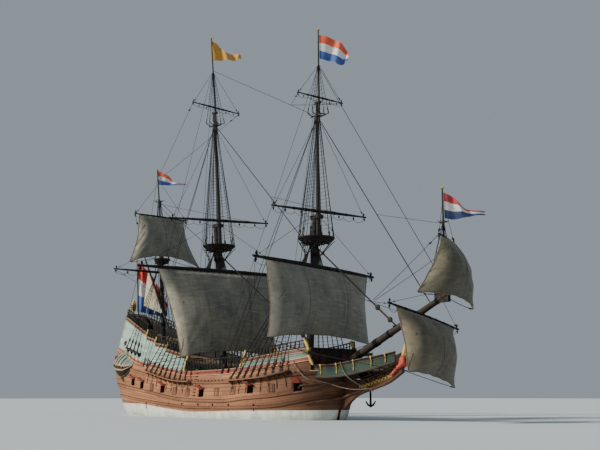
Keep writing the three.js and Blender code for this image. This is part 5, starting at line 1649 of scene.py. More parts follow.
def edge_line(grid):
    """The points round a grid, for its bolt rope."""
    rows, columns = len(grid), len(grid[0])
    line = [grid[i][0] for i in range(rows)] + [grid[-1][j] for j in range(1, columns)]
    line += [grid[i][-1] for i in range(rows - 2, -1, -1)] + [grid[0][j] for j in range(columns - 2, 0, -1)]
    return line + [line[0]]


def creases(u, v, width, drop, seed):
    """Depth of the wrinkles of a square sail: they run from its lower corners and hang from its head."""
    depth = 0.0
    for corner in (0, 1):
        across, up = abs(u - corner) * width, (1 - v) * drop
        far = math.hypot(across, up)
        angle = math.atan2(up, across + 1e-6)
        depth += math.sin(angle * 17 + seed + corner * 2) * math.exp(-far / 6) * min(far, 1) * 0.9
    depth += math.sin(u * width * 2 * math.pi / 1.26) * math.exp(-v * 7) * 0.55
    depth += noise.noise(Vector((u * 5 + seed, v * 2.2, seed))) * 2.4
    depth += noise.noise(Vector((u * 17, v * 6 + seed, 3))) * 0.9
    return depth * math.sin(math.pi * min(v * 4, 0.5))


def square_sail(name):
    """The surface of a square sail, from u across and v down."""
    yard, head, foot, drop, rise, a0, a1, belly = SQUARE_SAILS[name]
    centre, along, forward, _, radius = yard_axes(yard)
    lace = (0.98 * radius + 0.03 + 0.003) * math.sqrt(0.5)
    crease = sail_settings().crease
    seed = float(len(name)) + head

    def point(u, v):
        t = 1 - 2 * u
        width = head + (foot - head) * v - 0.5 * math.sin(math.pi * v)
        ahead = a0 + (a1 - a0) * (1 - u) ** TWIST.get(name, 1)
        lift = rise * (1 - t * t) + HAULED_UP.get(name, 0.0) * (1 - u)
        out = lace
        if v > 0:
            out += ahead * v ** 1.3 + belly * math.sin(math.pi * min(0.85 * v + 0.08, 1)) * (1 - t ** 4)
        out += crease * creases(u, v, 2 * width, drop, seed)
        scallop = 0.05 * (0.5 - 0.5 * math.cos(2 * math.pi * u * int(2 * head / 0.84))) * max(0, 1 - v * 10)
        low = lace + (drop - lift) * v + scallop + 0.03 * math.sin(u * 31) * v
        return centre + along * t * width + forward * out + Vector((0, 0, -low))

    return point, (2 * max(head, foot), drop), yard


class SHIP_OT_sails(bpy.types.Operator):
    """Square sails and the lateen mizzen, with creases, bolt ropes and sewn cloths"""

    bl_idname = "ship.sails"
    bl_label = "Sails"

    def execute(self, context):
        for name in SQUARE_SAILS:
            self.square(name)
        self.lateen()
        return {"FINISHED"}

    def declare(self, piece, grid, name, body, size, area):
        rope = ropes(name + "_bolt_rope", [(edge_line(grid), 0.045)], "hemp", 6)
        finish_piece(rope, body, "tarred_rope")
        piece = finish_piece(piece, body, "canvas", name)

    def square(self, name):
        point, (width, drop), yard = square_sail(name)
        columns = sail_settings().across if width > 12 else 40
        shape, grid = cloth_shape(point, columns, 34, SAIL_THICK, (width, drop))
        # The spritsail and the sprit topsail take the darker canvases, which paint shade on them
        cloth = {"spritsail": "head_canvas", "sprit_topsail": "top_canvas"}.get(name, "canvas")
        piece = shape.make(name + "_cloth", paint_list(cloth), 60)
        _, head, foot = SQUARE_SAILS[name][:3]
        area = min((head + foot) / (2 * max(head, foot)), 1.0)
        self.declare(piece, grid, name, yard, (width, drop * 1.1, yard), area)

    def lateen(self):
        low, high = lateen_ends()
        way = (high - low).normalized()
        down = Vector((way.z, 0, -way.x)) * (0.98 * LATEEN_RADIUS + 0.033) * -1
        tack, peak = low.lerp(high, 0.36) + down, low.lerp(high, 0.84) + down

        def point(u, v):
            top, foot = tack.lerp(peak, u), tack.lerp(LATEEN_CLEW, u)
            place = top.lerp(foot, v)
            belly = -0.45 * math.sin(math.pi * u) * math.sin(math.pi * v)
            fold = 0.045 * noise.noise(Vector((u * 6, v * 4, 5))) * math.sin(math.pi * v)
            return place + Vector((0, belly + fold, -0.25 * v * (1 - u)))

        shape, grid = cloth_shape(lambda u, v: point(0.02 + 0.98 * u, v), 40, 24, SAIL_THICK, (7.5, 4.0))
        # The lateen sail takes the bright canvas, which paints light on it
        piece = shape.make("lateen_sail_cloth", paint_list("pale_canvas"), 60)
        self.declare(piece, grid, "lateen_sail", "ship", (7.5, 4.0, "lateen_yard"), 0.5)


# Flags: place of the upper corner at the staff, depth of the waves, finish, flat size, share of that size
# which is cloth, number of waves, and the upper and lower edges from that corner, as the camera sees them
FLAGS = {
    "main_flag": (
        (-4.57, 50.55), 0.28, "gold_flag", (2.75, 4.6), 0.62, 2.5,
        ((0, 0), (0.6, -0.28), (1.4, -1.1), (2.15, -1.73), (3.25, -1.86), (4.07, -2.07)),
        ((0.1, -2.83), (1.0, -2.78), (2.0, -2.76), (2.9, -2.75), (3.6, -2.7), (4.1, -2.5))),
    "fore_flag": (
        (17.86, 44.1), 0.22, "tricolour", (2.95, 4.0), 0.95, 2.2,
        ((0, 0), (0.94, -0.24), (1.88, -0.65), (2.47, -1.0), (3.06, -1.59), (3.5, -2.5)),
        ((0.05, -2.94), (0.82, -3.17), (1.53, -3.29), (2.25, -3.7), (2.8, -3.66), (3.3, -3.25))),
    "mizzen_pennant": (
        (-17.84, 34.75), 0.15, "tricolour", (2.1, 4.5), 0.42, 2.0,
        ((0, 0), (0.8, -0.34), (1.68, -0.85), (2.26, -1.5), (3.0, -1.84), (4.3, -1.9)),
        ((0.05, -2.09), (0.8, -2.12), (1.6, -2.14), (2.4, -2.14), (3.2, -2.1), (4.35, -2.04))),
    "sprit_jack": (
        (35.98, 21.85), 0.16, "jack_stripes", (2.6, 4.3), 0.58, 2.3,
        ((0, 0), (0.54, -0.24), (1.03, -0.54), (1.6, -1.2), (2.4, -1.72), (3.94, -1.9)),
        ((0.05, -2.55), (0.9, -2.67), (1.7, -2.55), (2.4, -2.38), (3.1, -2.28), (3.95, -2.25))),
    "ensign": (
        (-22.72, 21.9), 0.45, "ensign_stripes", (7.4, 6.2), 0.92, 4.5,
        ((0, 0), (0.8, -0.75), (1.7, -1.6), (2.7, -3.0), (3.6, -4.6), (4.5, -6.3)),
        ((0.1, -7.3), (1.0, -7.45), (2.0, -7.7), (2.9, -7.85), (3.8, -7.95), (4.6, -8.0))),
}


class SHIP_OT_flags(bpy.types.Operator):
    """Striped and plain flags that stream from the mastheads and the ensign staff"""

    bl_idname = "ship.flags"
    bl_label = "Flags"

    def execute(self, context):
        for name, row in FLAGS.items():
            self.flag(name, *row)
        return {"FINISHED"}

    def flag(self, name, place, wave, paint, flat, area, waves, top, foot):
        x, z = place
        start = Vector((x, 0, z)) + CAMERA_RIGHT * 0.1
        square = UP.cross(CAMERA_RIGHT)
        steps_of = spread(0, 1, len(top))
        lines = [[curve(list(zip(steps_of, [row[k] for row in rows]))) for k in (0, 1)]
                 for rows in (top, foot)]

        def point(u, v):
            high = (lines[0][0](u), lines[0][1](u))
            low = (lines[1][0](u), lines[1][1](u))
            across, up = high[0] + (low[0] - high[0]) * v, high[1] + (low[1] - high[1]) * v
            out = wave * min(u * 2, 1) * math.sin(2 * math.pi * waves * u + 1.3 * v + len(name))
            out += 0.06 * u * noise.noise(Vector((u * 7, v * 5, len(name))))
            return start + CAMERA_RIGHT * across + square * out + Vector((0, 0, up))

        shape, _ = cloth_shape(point, 64, 20, 0.02, (1.0, 1.0))
        piece = shape.piece(name + "_cloth", [paint], "canvas", sharp=60)


# Rigging
# Channels: points of the line of each as (along, up), and its width
CHANNELS = {"main_channel": (((-10.9, 5.75), (-7, 5.0), (-3.2, 4.4), (0.2, 4.2)), 0.75),
            "fore_channel": (((8.2, 4.25), (11.5, 4.35), (14.5, 4.55), (16.5, 4.85), (18, 5.1)), 0.75),
            "mizzen_channel": (((-18.6, 9.05), (-16.5, 8.55), (-14.2, 8.0)), 0.5)}
# Lower shrouds: mast, channel, places of the feet along the ship, and height of the heads
SHROUDS = {"fore": ("foremast", "fore_channel", spread(9.0, 17.4, 8), 19.2),
           "main": ("mainmast", "main_channel", spread(-10.3, -0.4, 9), 20.8),
           "mizzen": ("mizzenmast", "mizzen_channel", spread(-18.2, -14.6, 4), 20.8)}
# Topmast shrouds: how many a side and height of the heads. Pole shrouds: height of the cross-trees, half
# their width, and height of the heads
TOP_SHROUDS = {"fore": (5, 34.0), "main": (5, 37.9), "mizzen": (3, 29.9)}
POLE_SHROUDS = {"fore": (34.35, 0.95, 40.3), "main": (38.25, 0.95, 45.8)}
DEADEYE_GAP, LANYARD_RADIUS, RATLINE_RADIUS = 1.15, 0.034, 0.016


def channel_edge(name, x, side):
    """A place on the outer edge of a channel's upper face."""
    rows, width = CHANNELS[name]
    z = curve(rows)(x)
    return on_side(x, z, side, width - 0.06) + Vector((0, 0, 0.1))


def deadeye_shape():
    shape = Shape()
    shape.tube([(-0.07, 0, 0), (-0.04, 0, 0), (0, 0, 0), (0.04, 0, 0), (0.07, 0, 0)],
               [0.15, 0.215, 0.19, 0.215, 0.15], 10)
    return shape


class Rigging:
    """Collects the ropes, deadeyes and chains of one side of the ship."""

    def __init__(self, side):
        self.side = side
        self.standing, self.ratlines, self.deadeyes, self.iron = [], [], [], []

    def shroud(self, foot, head, radius, out, size=1.0):
        """A shroud with its two deadeyes and the lanyard between them, and where its upper deadeye is."""
        foot, head = Vector(foot), Vector(head)
        way = (head - foot).normalized()
        upper = foot + way * DEADEYE_GAP * size
        turn = facing(out)
        for at in (foot + way * 0.12 * size, upper):
            self.deadeyes.append((at, turn, (size, size, size)))
        across = Vector(out).cross(way).normalized()
        for k in (-0.09, 0.0, 0.09):
            self.standing.append(([foot + across * k * size + way * 0.15 * size, upper + across * k * size],
                                  LANYARD_RADIUS))
        self.standing.append(([upper, head], radius))
        self.standing.append(([upper + across * 0.16 * size, upper + way * 0.5 * size], radius * 0.8))
        self.standing.append(([upper - across * 0.16 * size, upper + way * 0.5 * size], radius * 0.8))
        return upper

    def ladder(self, lines, low, high, step):
        """Ratlines across neighbouring shrouds, from one height to another."""
        for i in range(int((high - low) / step)):
            z = low + i * step
            row = []
            for foot, head in lines:
                if z < foot.z:
                    continue
                t = (z - foot.z) / (head.z - foot.z)
                if t < 0.97:
                    row.append(foot.lerp(head, t))
            if len(row) > 1:
                drops = [row[0]]
                for a, b in zip(row, row[1:]):
                    drops += [a.lerp(b, 0.5) - Vector((0, 0, 0.03 * min((b - a).length, 1))), b]
                self.ratlines.append((drops, RATLINE_RADIUS))


def lower_rigging(rig, which):
    """Lower shrouds with deadeyes, chains, ratlines and futtock shrouds."""
    mast, channel, feet, head_z = SHROUDS[which]
    s = rig_settings()
    centre, radius = spar_at(MASTS[mast], head_z)
    lines = []
    for i, x in enumerate(feet):
        foot = channel_edge(channel, x, rig.side)
        out = side_out(x, foot.z, rig.side)
        head = centre + Vector((radius * 0.6 * (i / len(feet) - 0.5) * -1, rig.side * radius * 0.95,
                                0.09 * i))
        thick = s.shroud_radius * (0.75 if which == "mizzen" else 1.0)
        lines.append((rig.shroud(foot, head, thick, out), head))
        low = on_side(x + (foot.x - head.x) * 0.04, foot.z - 1.35, rig.side, 0.02)
        rig.iron.append(([foot + Vector((0, 0, 0.05)), on_side(x, foot.z - 0.5, rig.side, 0.2), low], 0.035))
        rig.iron.append(([low, low - Vector((0, 0, 0.25))], 0.05))
    rig.ladder(lines, min(line[0].z for line in lines) + 0.45, head_z - 0.7, s.ratline_step)
    top, rim = TOPS[which]
    count = TOP_SHROUDS[which][0]
    x0 = between_masts(which, top)
    for i in range(count):
        a = shroud_angle(i, count)
        rim_at = Vector((x0 + rim * math.cos(a), rig.side * rim * math.sin(a), top + 0.2))
        t = (top - 1.9 - lines[0][0].z) / (head_z - lines[0][0].z)
        near = lines[min(int(i * len(lines) / count), len(lines) - 1)]
        rig.standing.append(([near[0].lerp(near[1], t), rim_at], s.shroud_radius * 0.7))


def upper_rigging(rig, which):
    """Topmast and pole shrouds with their ratlines."""
    count, head_z = TOP_SHROUDS[which]
    top, rim = TOPS[which]
    s = rig_settings()
    x0 = between_masts(which, top)
    centre, radius = spar_at(TOPMASTS[which], head_z)
    lines = []
    for i in range(count):
        a = shroud_angle(i, count)
        out = Vector((math.cos(a), rig.side * math.sin(a), 0))
        foot = Vector((x0, 0, top + TOP_WALL + 0.02)) + out * (rim - 0.06)
        head = centre + Vector((0.25 * out.x, rig.side * radius, 0))
        lines.append((rig.shroud(foot, head, s.shroud_radius * 0.75, out, 0.72), head))
    rig.ladder(lines, lines[0][0].z + 0.5, head_z - 0.9, s.ratline_step)
    if which not in POLE_SHROUDS:
        return
    low, half, high = POLE_SHROUDS[which]
    pole_centre, pole_radius = spar_at(TOPGALLANTS[which], high)
    upper = []
    base_x = (spar_at(TOPMASTS[which], low)[0].x + spar_at(TOPGALLANTS[which], low)[0].x) / 2
    for k in (-0.8, 0.0, 0.8):
        foot = Vector((base_x + k * half, rig.side * half * 0.97, low + 0.22))
        head = pole_centre + Vector((0.03 * k, rig.side * pole_radius, 0))
        upper.append((rig.shroud(foot, head, s.shroud_radius * 0.5, (0, rig.side, 0), 0.42), head))
    rig.ladder(upper, upper[0][0].z + 0.3, high - 0.9, s.ratline_step)


# Upper stays: both ends as (along, up), and radius
STAYS = ((((-2.6, 37.6), (15.3, 19.9)), 0.045), (((-3.6, 45.9), (17.3, 34.3)), 0.028),
         (((17.85, 33.9), (34.0, 11.35)), 0.045), (((17.9, 40.2), (35.8, 13.0)), 0.03),
         (((-16.8, 29.9), (-3.85, 21.5)), 0.035), (((35.9, 18.8), (27.0, 21.1)), 0.022))
# How far the two hearts of a lower stay stand from its lower end
LOWER_HEART, UPPER_HEART = 1.1, 3.3
# Backstays, all (along, up): the topmast's head and its two feet, the pole's head and its foot
BACKSTAYS = {"fore": ((17.6, 33.8), ((7.4, 5.15), (6.2, 5.1)), (17.9, 40.1), (5.2, 5.1)),
             "main": ((-3.3, 37.7), ((-11.6, 6.3), (-12.6, 6.4)), (-4.1, 45.7), (-13.4, 6.6))}


class SHIP_OT_standing_rigging(bpy.types.Operator):
    """Shrouds, ratlines, deadeyes, chains, stays and backstays"""

    bl_idname = "ship.standing_rigging"
    bl_label = "Standing rigging"

    def execute(self, context):
        for name, side in SIDES:
            rig = Rigging(side)
            for which in SHROUDS:
                lower_rigging(rig, which)
                upper_rigging(rig, which)
            self.sprit(rig)
            self.backstays(rig)
            self.finish(rig, name)
            self.channels(name, side)
        self.stays()
        return {"FINISHED"}

    def finish(self, rig, name):
        finish_piece(ropes(f"shrouds_{name}", rig.standing, "rope", 6), "ship", "tarred_rope")
        finish_piece(ropes(f"ratlines_{name}", rig.ratlines, "rope", 4), "ship", "tarred_rope")
        finish_piece(ropes(f"chains_{name}", rig.iron, "iron", 6), "ship", "black_iron")
        copies(f"deadeyes_{name}", deadeye_shape(), rig.deadeyes, "block", "ship", "spar_wood")

    def sprit(self, rig):
        lines = []
        for i in range(4):
            a = shroud_angle(i, 4, 55)
            out = Vector((math.cos(a), rig.side * math.sin(a), 0))
            foot = Vector((SPRIT_TOP_X, 0, 13.22)) + out * 1.24
            head = Vector((35.98, rig.side * 0.09, 18.8)) + out * 0.02
            lines.append((rig.shroud(foot, head, 0.025, out, 0.45), head))
        rig.ladder(lines, 13.9, 18.2, rig_settings().ratline_step)

    def backstays(self, rig):
        for (head, feet, pole_head, pole_foot) in BACKSTAYS.values():
            for x, z in feet:
                foot = on_side(x, z, rig.side, 0.12)
                rig.shroud(foot, (head[0], rig.side * 0.15, head[1]), 0.032, side_out(x, z, rig.side), 0.8)
            foot = on_side(pole_foot[0], pole_foot[1], rig.side, 0.12)
            rig.standing.append(([foot, Vector((pole_head[0], rig.side * 0.07, pole_head[1]))], 0.02))

    def channels(self, name, side):
        """The boards that spread the shrouds, with a bright edge and knees under them."""
        for channel, (rows, width) in CHANNELS.items():
            shape = Shape()
            height = curve(rows)
            xs = rail_length(rows[0][0], rows[-1][0])
            shape.moulding(xs, height, side, strip_section(-0.05, width - 0.05, 0.07), 0)
            edge = ((width - 0.05, -0.075), (width, -0.06), (width, 0.06), (width - 0.05, 0.075))
            shape.moulding(xs, height, side, edge, 1)
            for x in spread(rows[0][0] + 0.3, rows[-1][0] - 0.3,
                            max(4, int((rows[-1][0] - rows[0][0]) / 1.1))):
                z = height(x) - 0.07
                wide = Vector((1, 0, 0)) * 0.07
                points = [on_side(x, z, side, -0.02), on_side(x, z, side, width * 0.8),
                          on_side(x, z - 0.5, side, -0.02)]
                shape.add([p + wide for p in points] + [p - wide for p in points],
                          [(0, 1, 2), (5, 4, 3), (0, 3, 4, 1), (1, 4, 5, 2), (2, 5, 3, 0)], 2)
            finishes = ("dark_wood",) * 3 if channel == "mizzen_channel" else ("planking", "wale", "wale")
            node = [] if channel == "mizzen_channel" else [f"{channel}_{name}"]
            shape.piece(f"{channel}_board_{name}", finishes, "oiled_wood", *node)

    def stays(self):
        lines = [([Vector((a[0], 0, a[1])), Vector((b[0], 0, b[1]))], r) for (a, b), r in STAYS]
        finish_piece(ropes("topmast_stays", lines, "rope", 6), "ship", "tarred_rope")
        for name, upper, lower, radius in (("forestay", ("foremast", 18.95), None, 0.075),
                                           ("mainstay", ("mainmast", 20.4), ("foremast", 8.6), 0.08),
                                           ("mizzen_stay", ("mizzenmast", 20.4), ("mainmast", 8.6), 0.05)):
            start, r = spar_at(MASTS[upper[0]], upper[1])
            start = start + Vector((r * 0.9, 0, 0))
            if lower is None:
                end = Vector((29.5, 0, 5.35 + (29.5 - 20.9) * BOWSPRIT_SLOPE + 0.3))
            else:
                end, r = spar_at(MASTS[lower[0]], lower[1])
                end = end - Vector((r * 0.9, 0, 0))
            shape = Shape()
            shape.tube(sag(start, end, 0.02, 7), radius, 10, 0)
            way = (end - start).normalized()
            mouse = start + way * 1.6
            shape.tube([mouse - way * 0.3, mouse - way * 0.05, mouse + way * 0.15],
                       [radius, radius * 2.1, radius], 10, 0)
            for k in (LOWER_HEART, UPPER_HEART):
                heart = end - way * k
                across = Vector((0, 1, 0))
                shape.tube([heart - across * 0.13, heart - across * 0.08, heart + across * 0.08,
                            heart + across * 0.13],
                           [0.2, 0.29, 0.29, 0.2], 10, 1)
            for k in (-0.18, -0.06, 0.06, 0.18):
                up = UP * k
                shape.tube([end - way * LOWER_HEART + up, end - way * UPPER_HEART + up], 0.026, 5, 2)
            collar = [end + Vector((0.35 * math.cos(a), 0.36 * math.sin(a), 0.05 * math.cos(a)))
                      for a in spread(0, 2 * math.pi, 13)] if lower is None else []
            if collar:
                shape.tube(collar, 0.05, 6, 0)
            shape.piece(name + "_rope", ["rope", "block", "hemp"], "tarred_rope", name)


# Where the lifts and the braces of a yard end on the ship
LIFTS = {"fore_yard": (17.45, 0.3, 22.6), "main_yard": (-2.2, 0.3, 24.5),
         "crossjack_yard": (-16.1, 0.25, 23.45),
         "fore_topsail_yard": (17.75, 0.18, 33.7), "main_topsail_yard": (-3.1, 0.2, 37.5),
         "fore_topgallant_yard": (17.98, 0.08, 40.3), "main_topgallant_yard": (-3.9, 0.08, 45.8),
         "mizzen_topsail_yard": (-17.0, 0.08, 32.8), "sprit_topsail_yard": (36.05, 0.08, 21.0),
         "spritsail_yard": (34.9, 0.3, 12.2)}
BRACES = {"fore_yard": (6.0, 0.05, 15.2), "main_yard": (-20.4, 3.3, 10.6),
          "crossjack_yard": (-9.0, 0.06, 13.8),
          "fore_topsail_yard": (9.2, 0.05, 26.15), "main_topsail_yard": (-16.75, 0.15, 29.6),
          "fore_topgallant_yard": (12.9, 0.04, 36.8), "main_topgallant_yard": (-17.6, 0.1, 33.4),
          "mizzen_topsail_yard": (-19.9, -0.35, 22.1), "sprit_topsail_yard": (26.4, 0.12, 12.2),
          "spritsail_yard": (24.3, 0.05, 12.6)}


def knotted_line(shape, start, end, radius, block_at, drop=0.0):
    """A pendant from start to a block, and a line from there to end."""
    start, end = Vector(start), Vector(end)
    length = (end - start).length
    t = min(block_at / length, 0.4)
    path = sag(start, end, drop, 9)
    joint = start.lerp(end, t) - Vector((0, 0, drop * 4 * t * (1 - t)))
    shape.tube([start, joint], radius * 1.1, 6, 0)
    shape.tube([joint] + [p for p in path if (p - start).length > (joint - start).length + 0.2], radius, 6, 0)
    way = (end - start).normalized()
    small = block_shape()
    turn = way.to_track_quat("X", "Z").to_matrix()
    size = 0.55 + radius * 14
    shape.add([joint + turn @ (Vector(p) * size) for p in small.points], small.faces, 1)


class SHIP_OT_running_rigging(bpy.types.Operator):
    """Lifts, braces, sheets, tacks, footropes and buntlines"""

    bl_idname = "ship.running_rigging"
    bl_label = "Running rigging"

    def execute(self, context):
        for name in ALL_YARDS:
            _, _, _, half, radius = yard_axes(name)
            for label, side in SIDES:
                t = -side
                up = radius * 0.45
                self.line(f"{name}_lift_{label}", name, on_yard(name, t * 0.94, up),
                          self.mirrored(LIFTS[name], side), 0.022, 0.5)
                self.line(f"{name}_brace_{label}", name, on_yard(name, t * 0.97, -up),
                          self.mirrored(BRACES[name], side), 0.024, 1.5, (0.02 + 0.012 * half) * 1.2)
            self.footropes(name, half, radius)
        for sail in SQUARE_SAILS:
            self.sail_lines(sail)
        self.sheets()
        self.loose_lines()
        return {"FINISHED"}

    def mirrored(self, place, side):
        return Vector((place[0], side * abs(place[1]), place[2]))

    def line(self, name, body, start, end, radius, block_at, drop=0.0):
        """A rope from a yard to the ship."""
        shape = Shape()
        knotted_line(shape, start, end, radius, block_at, drop)
        piece = shape.make(name, paint_list("rope", "block"), 60)
        tuple(Vector(start) * SCALE)
        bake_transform(piece)

    def footropes(self, name, half, radius):
        lines = []
        depth = 0.5 if half > 5 else 0.35
        for side in (-1, 1):
            nodes = spread(0.08, 0.95, 5 if half > 5 else 3)
            for a, b in zip(nodes, nodes[1:]):
                low = [on_yard(name, side * (a + (b - a) * t),
                               -radius * 0.7 - depth * (0.6 + 0.55 * 4 * t * (1 - t)),
                               -radius * 0.9) for t in spread(0, 1, 7)]
                lines.append((low, 0.022))
            for a in nodes[1:-1]:
                lines.append(([on_yard(name, side * a, 0, -radius * 0.9),
                               on_yard(name, side * a, -radius * 0.7 - depth * 0.6, -radius * 0.9)], 0.018))
            for a in (nodes[0], nodes[-1]):
                lines.append(([on_yard(name, side * a, 0, -radius * 0.5),
                               on_yard(name, side * a, -radius * 0.7 - depth * 0.6, -radius * 0.9)], 0.02))
        finish_piece(ropes(name + "_footropes", lines, "rope", 5), name, "tarred_rope")

    def sail_lines(self, sail):
        """Buntlines and leech lines in front of a sail, and clew lines behind it."""
        point, (width, _), yard = square_sail(sail)
        _, _, forward, _, radius = yard_axes(yard)
        lines = []
        for u in (0.3, 0.7) if width > 12 else (0.5,):
            path = [point(u, v) + forward * 0.045 for v in spread(0.03, 1.0, 18)]
            lines.append((path, 0.011))
        for u in (0.0, 1.0):
            clew = point(u, 1.0)
            head = point(0.5 + (u - 0.5) * 0.45, 0.0) - forward * (radius + 0.15)
            middle = point(0.5 + (u - 0.5) * 0.8, 0.55) - forward * 0.3
            lines.append(([clew - forward * 0.04, middle, head], 0.022))
            for v in (0.3, 0.5, 0.68):
                lines.append(([point(u, v), point(abs(u - 0.1), max(v - 0.3, 0.02)) + forward * 0.05], 0.016))
        finish_piece(ropes(sail + "_lines", lines, "rope", 5), yard, "tarred_rope")

    def sheets(self):
        """Sheets and tacks from the lower corners of the courses and the spritsail."""
        ends = {"main_course": ((-12.6, 5.2, 6.5), (6.4, 5.3, 5.7)),
                "fore_course": ((0.6, 5.35, 5.6), (22.9, 2.7, 6.0)),
                "spritsail": ((19.0, 4.4, 7.4), None), "mizzen_topsail": ((-16.0, 1.1, 21.6), None),
                "sprit_topsail": ((35.4, 0.35, 12.0), None)}
        for sail, (sheet, tack) in ends.items():
            point, _, yard = square_sail(sail)
            for label, side in SIDES:
                clew = point(0.0 if side < 0 else 1.0, 1.0)
                self.line(f"{sail}_sheet_{label}", yard, clew, self.mirrored(sheet, side), 0.034, 0.4, 0.15)
                if tack:
                    self.line(f"{sail}_tack_{label}", yard, clew, self.mirrored(tack, side), 0.034, 0.4, 0.1)

    def loose_lines(self):
        """Halyards and falls beside the masts, and the lateen's tackle."""
        lines = []
        for which, name in (("fore", "foremast"), ("main", "mainmast"), ("mizzen", "mizzenmast")):
            mast = MASTS[name]
            top, _ = TOPS[which]
            low = {"fore": 7.4, "main": 6.0, "mizzen": 11.3}[which]
            for side in (-1, 1):
                for ahead, spare in ((0.35, 0.55), (-0.3, 0.75), (0.1, 0.95)):
                    head, r = spar_at(mast, top - 0.4)
                    foot, _ = spar_at(mast, low)
                    lines.append(([head + Vector((ahead * 0.6, side * r, 0)),
                                   foot + Vector((ahead, side * (r + spare), 0))], 0.018))
            upper = TOPMASTS[which]
            head_z = TOP_SHROUDS[which][1]
            for side in (-1, 1):
                head, r = spar_at(upper, head_z - 0.5)
                foot, r0 = spar_at(upper, top + 1.3)
                lines.append(([head + Vector((-0.1, side * r, 0)),
                               foot + Vector((-0.3, side * (r0 + 0.4), 0))], 0.018))
        lines.append(([Vector((-19.9, -0.44, 22.3)), Vector((-17.7, 0, 33.8))], 0.02))
        lines.append(([Vector((-11.35, -0.44, 9.5)), Vector((-9.6, -2.4, 8.9))], 0.024))
        lines.append(([LATEEN_CLEW, Vector((-21.6, -0.4, 13.9))], 0.026))
        finish_piece(ropes("falls", lines, "rope", 5), "ship", "tarred_rope")


# Ends of the ship and fittings
# Quarter gallery: place along, lower edge, upper edge and bulge
GALLERY = ((-21.2, 6.1, 8.3, 0.55), (-20.4, 5.4, 8.75, 0.85), (-19.2, 5.05, 8.75, 0.95),
           (-17.8, 5.2, 8.1, 0.8), (-16.6, 5.9, 7.3, 0.45), (-16, 6.5, 6.9, 0.1))
# Head: place along, half width, lower edge and upper edge
HEAD = ((20.28, 3.0, 4.35, 5.72), (22.2, 2.75, 4.3, 5.72), (24.2, 2.3, 4.45, 5.9), (26, 1.85, 4.75, 6.2),
        (28, 1.3, 5.2, 6.5), (29.8, 0.66, 5.7, 6.85))
HEAD_WIDE, HEAD_LOW, HEAD_HIGH = (curve([(row[0], row[k]) for row in HEAD]) for k in (1, 2, 3))
HEAD_WALL, PLATFORM_Z = 0.14, 5.2
# The knee's two edges as (along, up)
KNEE_AFT_LOW, KNEE_AFT_HIGH, KNEE_TIP = 21.68, 22.6, 30.3
KNEE_LOWER = curve(((KNEE_AFT_LOW, 1.06), (24.03, 2.57), (26.8, 3.29), (28.25, 3.71), (KNEE_TIP, 4.75)))
KNEE_UPPER = curve(((KNEE_AFT_HIGH, 4.0), (24.5, 3.95), (27.2, 4.55), (KNEE_TIP, 5.5)))
KNEE_HALF = 0.17
FIGURE_FOOT, FIGURE_WAY = Vector((29.95, 0, 5.6)), Vector((0.55, 0, 0.83))


def scroll_shape():
    """A small carved scroll in the plane square to the X axis."""
    shape = Shape()
    path = []
    for i in range(13):
        a = 0.55 * i
        r = 0.03 + 0.013 * i
        path.append((0.0, r * math.cos(a), r * math.sin(a)))
    shape.tube(path, [0.028 + 0.002 * i for i in range(13)], 5)
    shape.tube([(0, 0.16, 0.07), (0.02, 0.3, 0.02), (0, 0.42, -0.1)], [0.04, 0.05, 0.012], 5)
    return shape


def rosette_shape():
    shape = Shape()
    for i in range(8):
        a = math.pi * i / 4
        out = Vector((0, math.cos(a), math.sin(a)))
        shape.tube([out * 0.04, out * 0.12 + Vector((0.03, 0, 0)), out * 0.2], [0.03, 0.055, 0.015], 6)
    shape.tube([(-0.02, 0, 0), (0.04, 0, 0), (0.06, 0, 0)], [0.07, 0.07, 0.03], 8)
    return shape


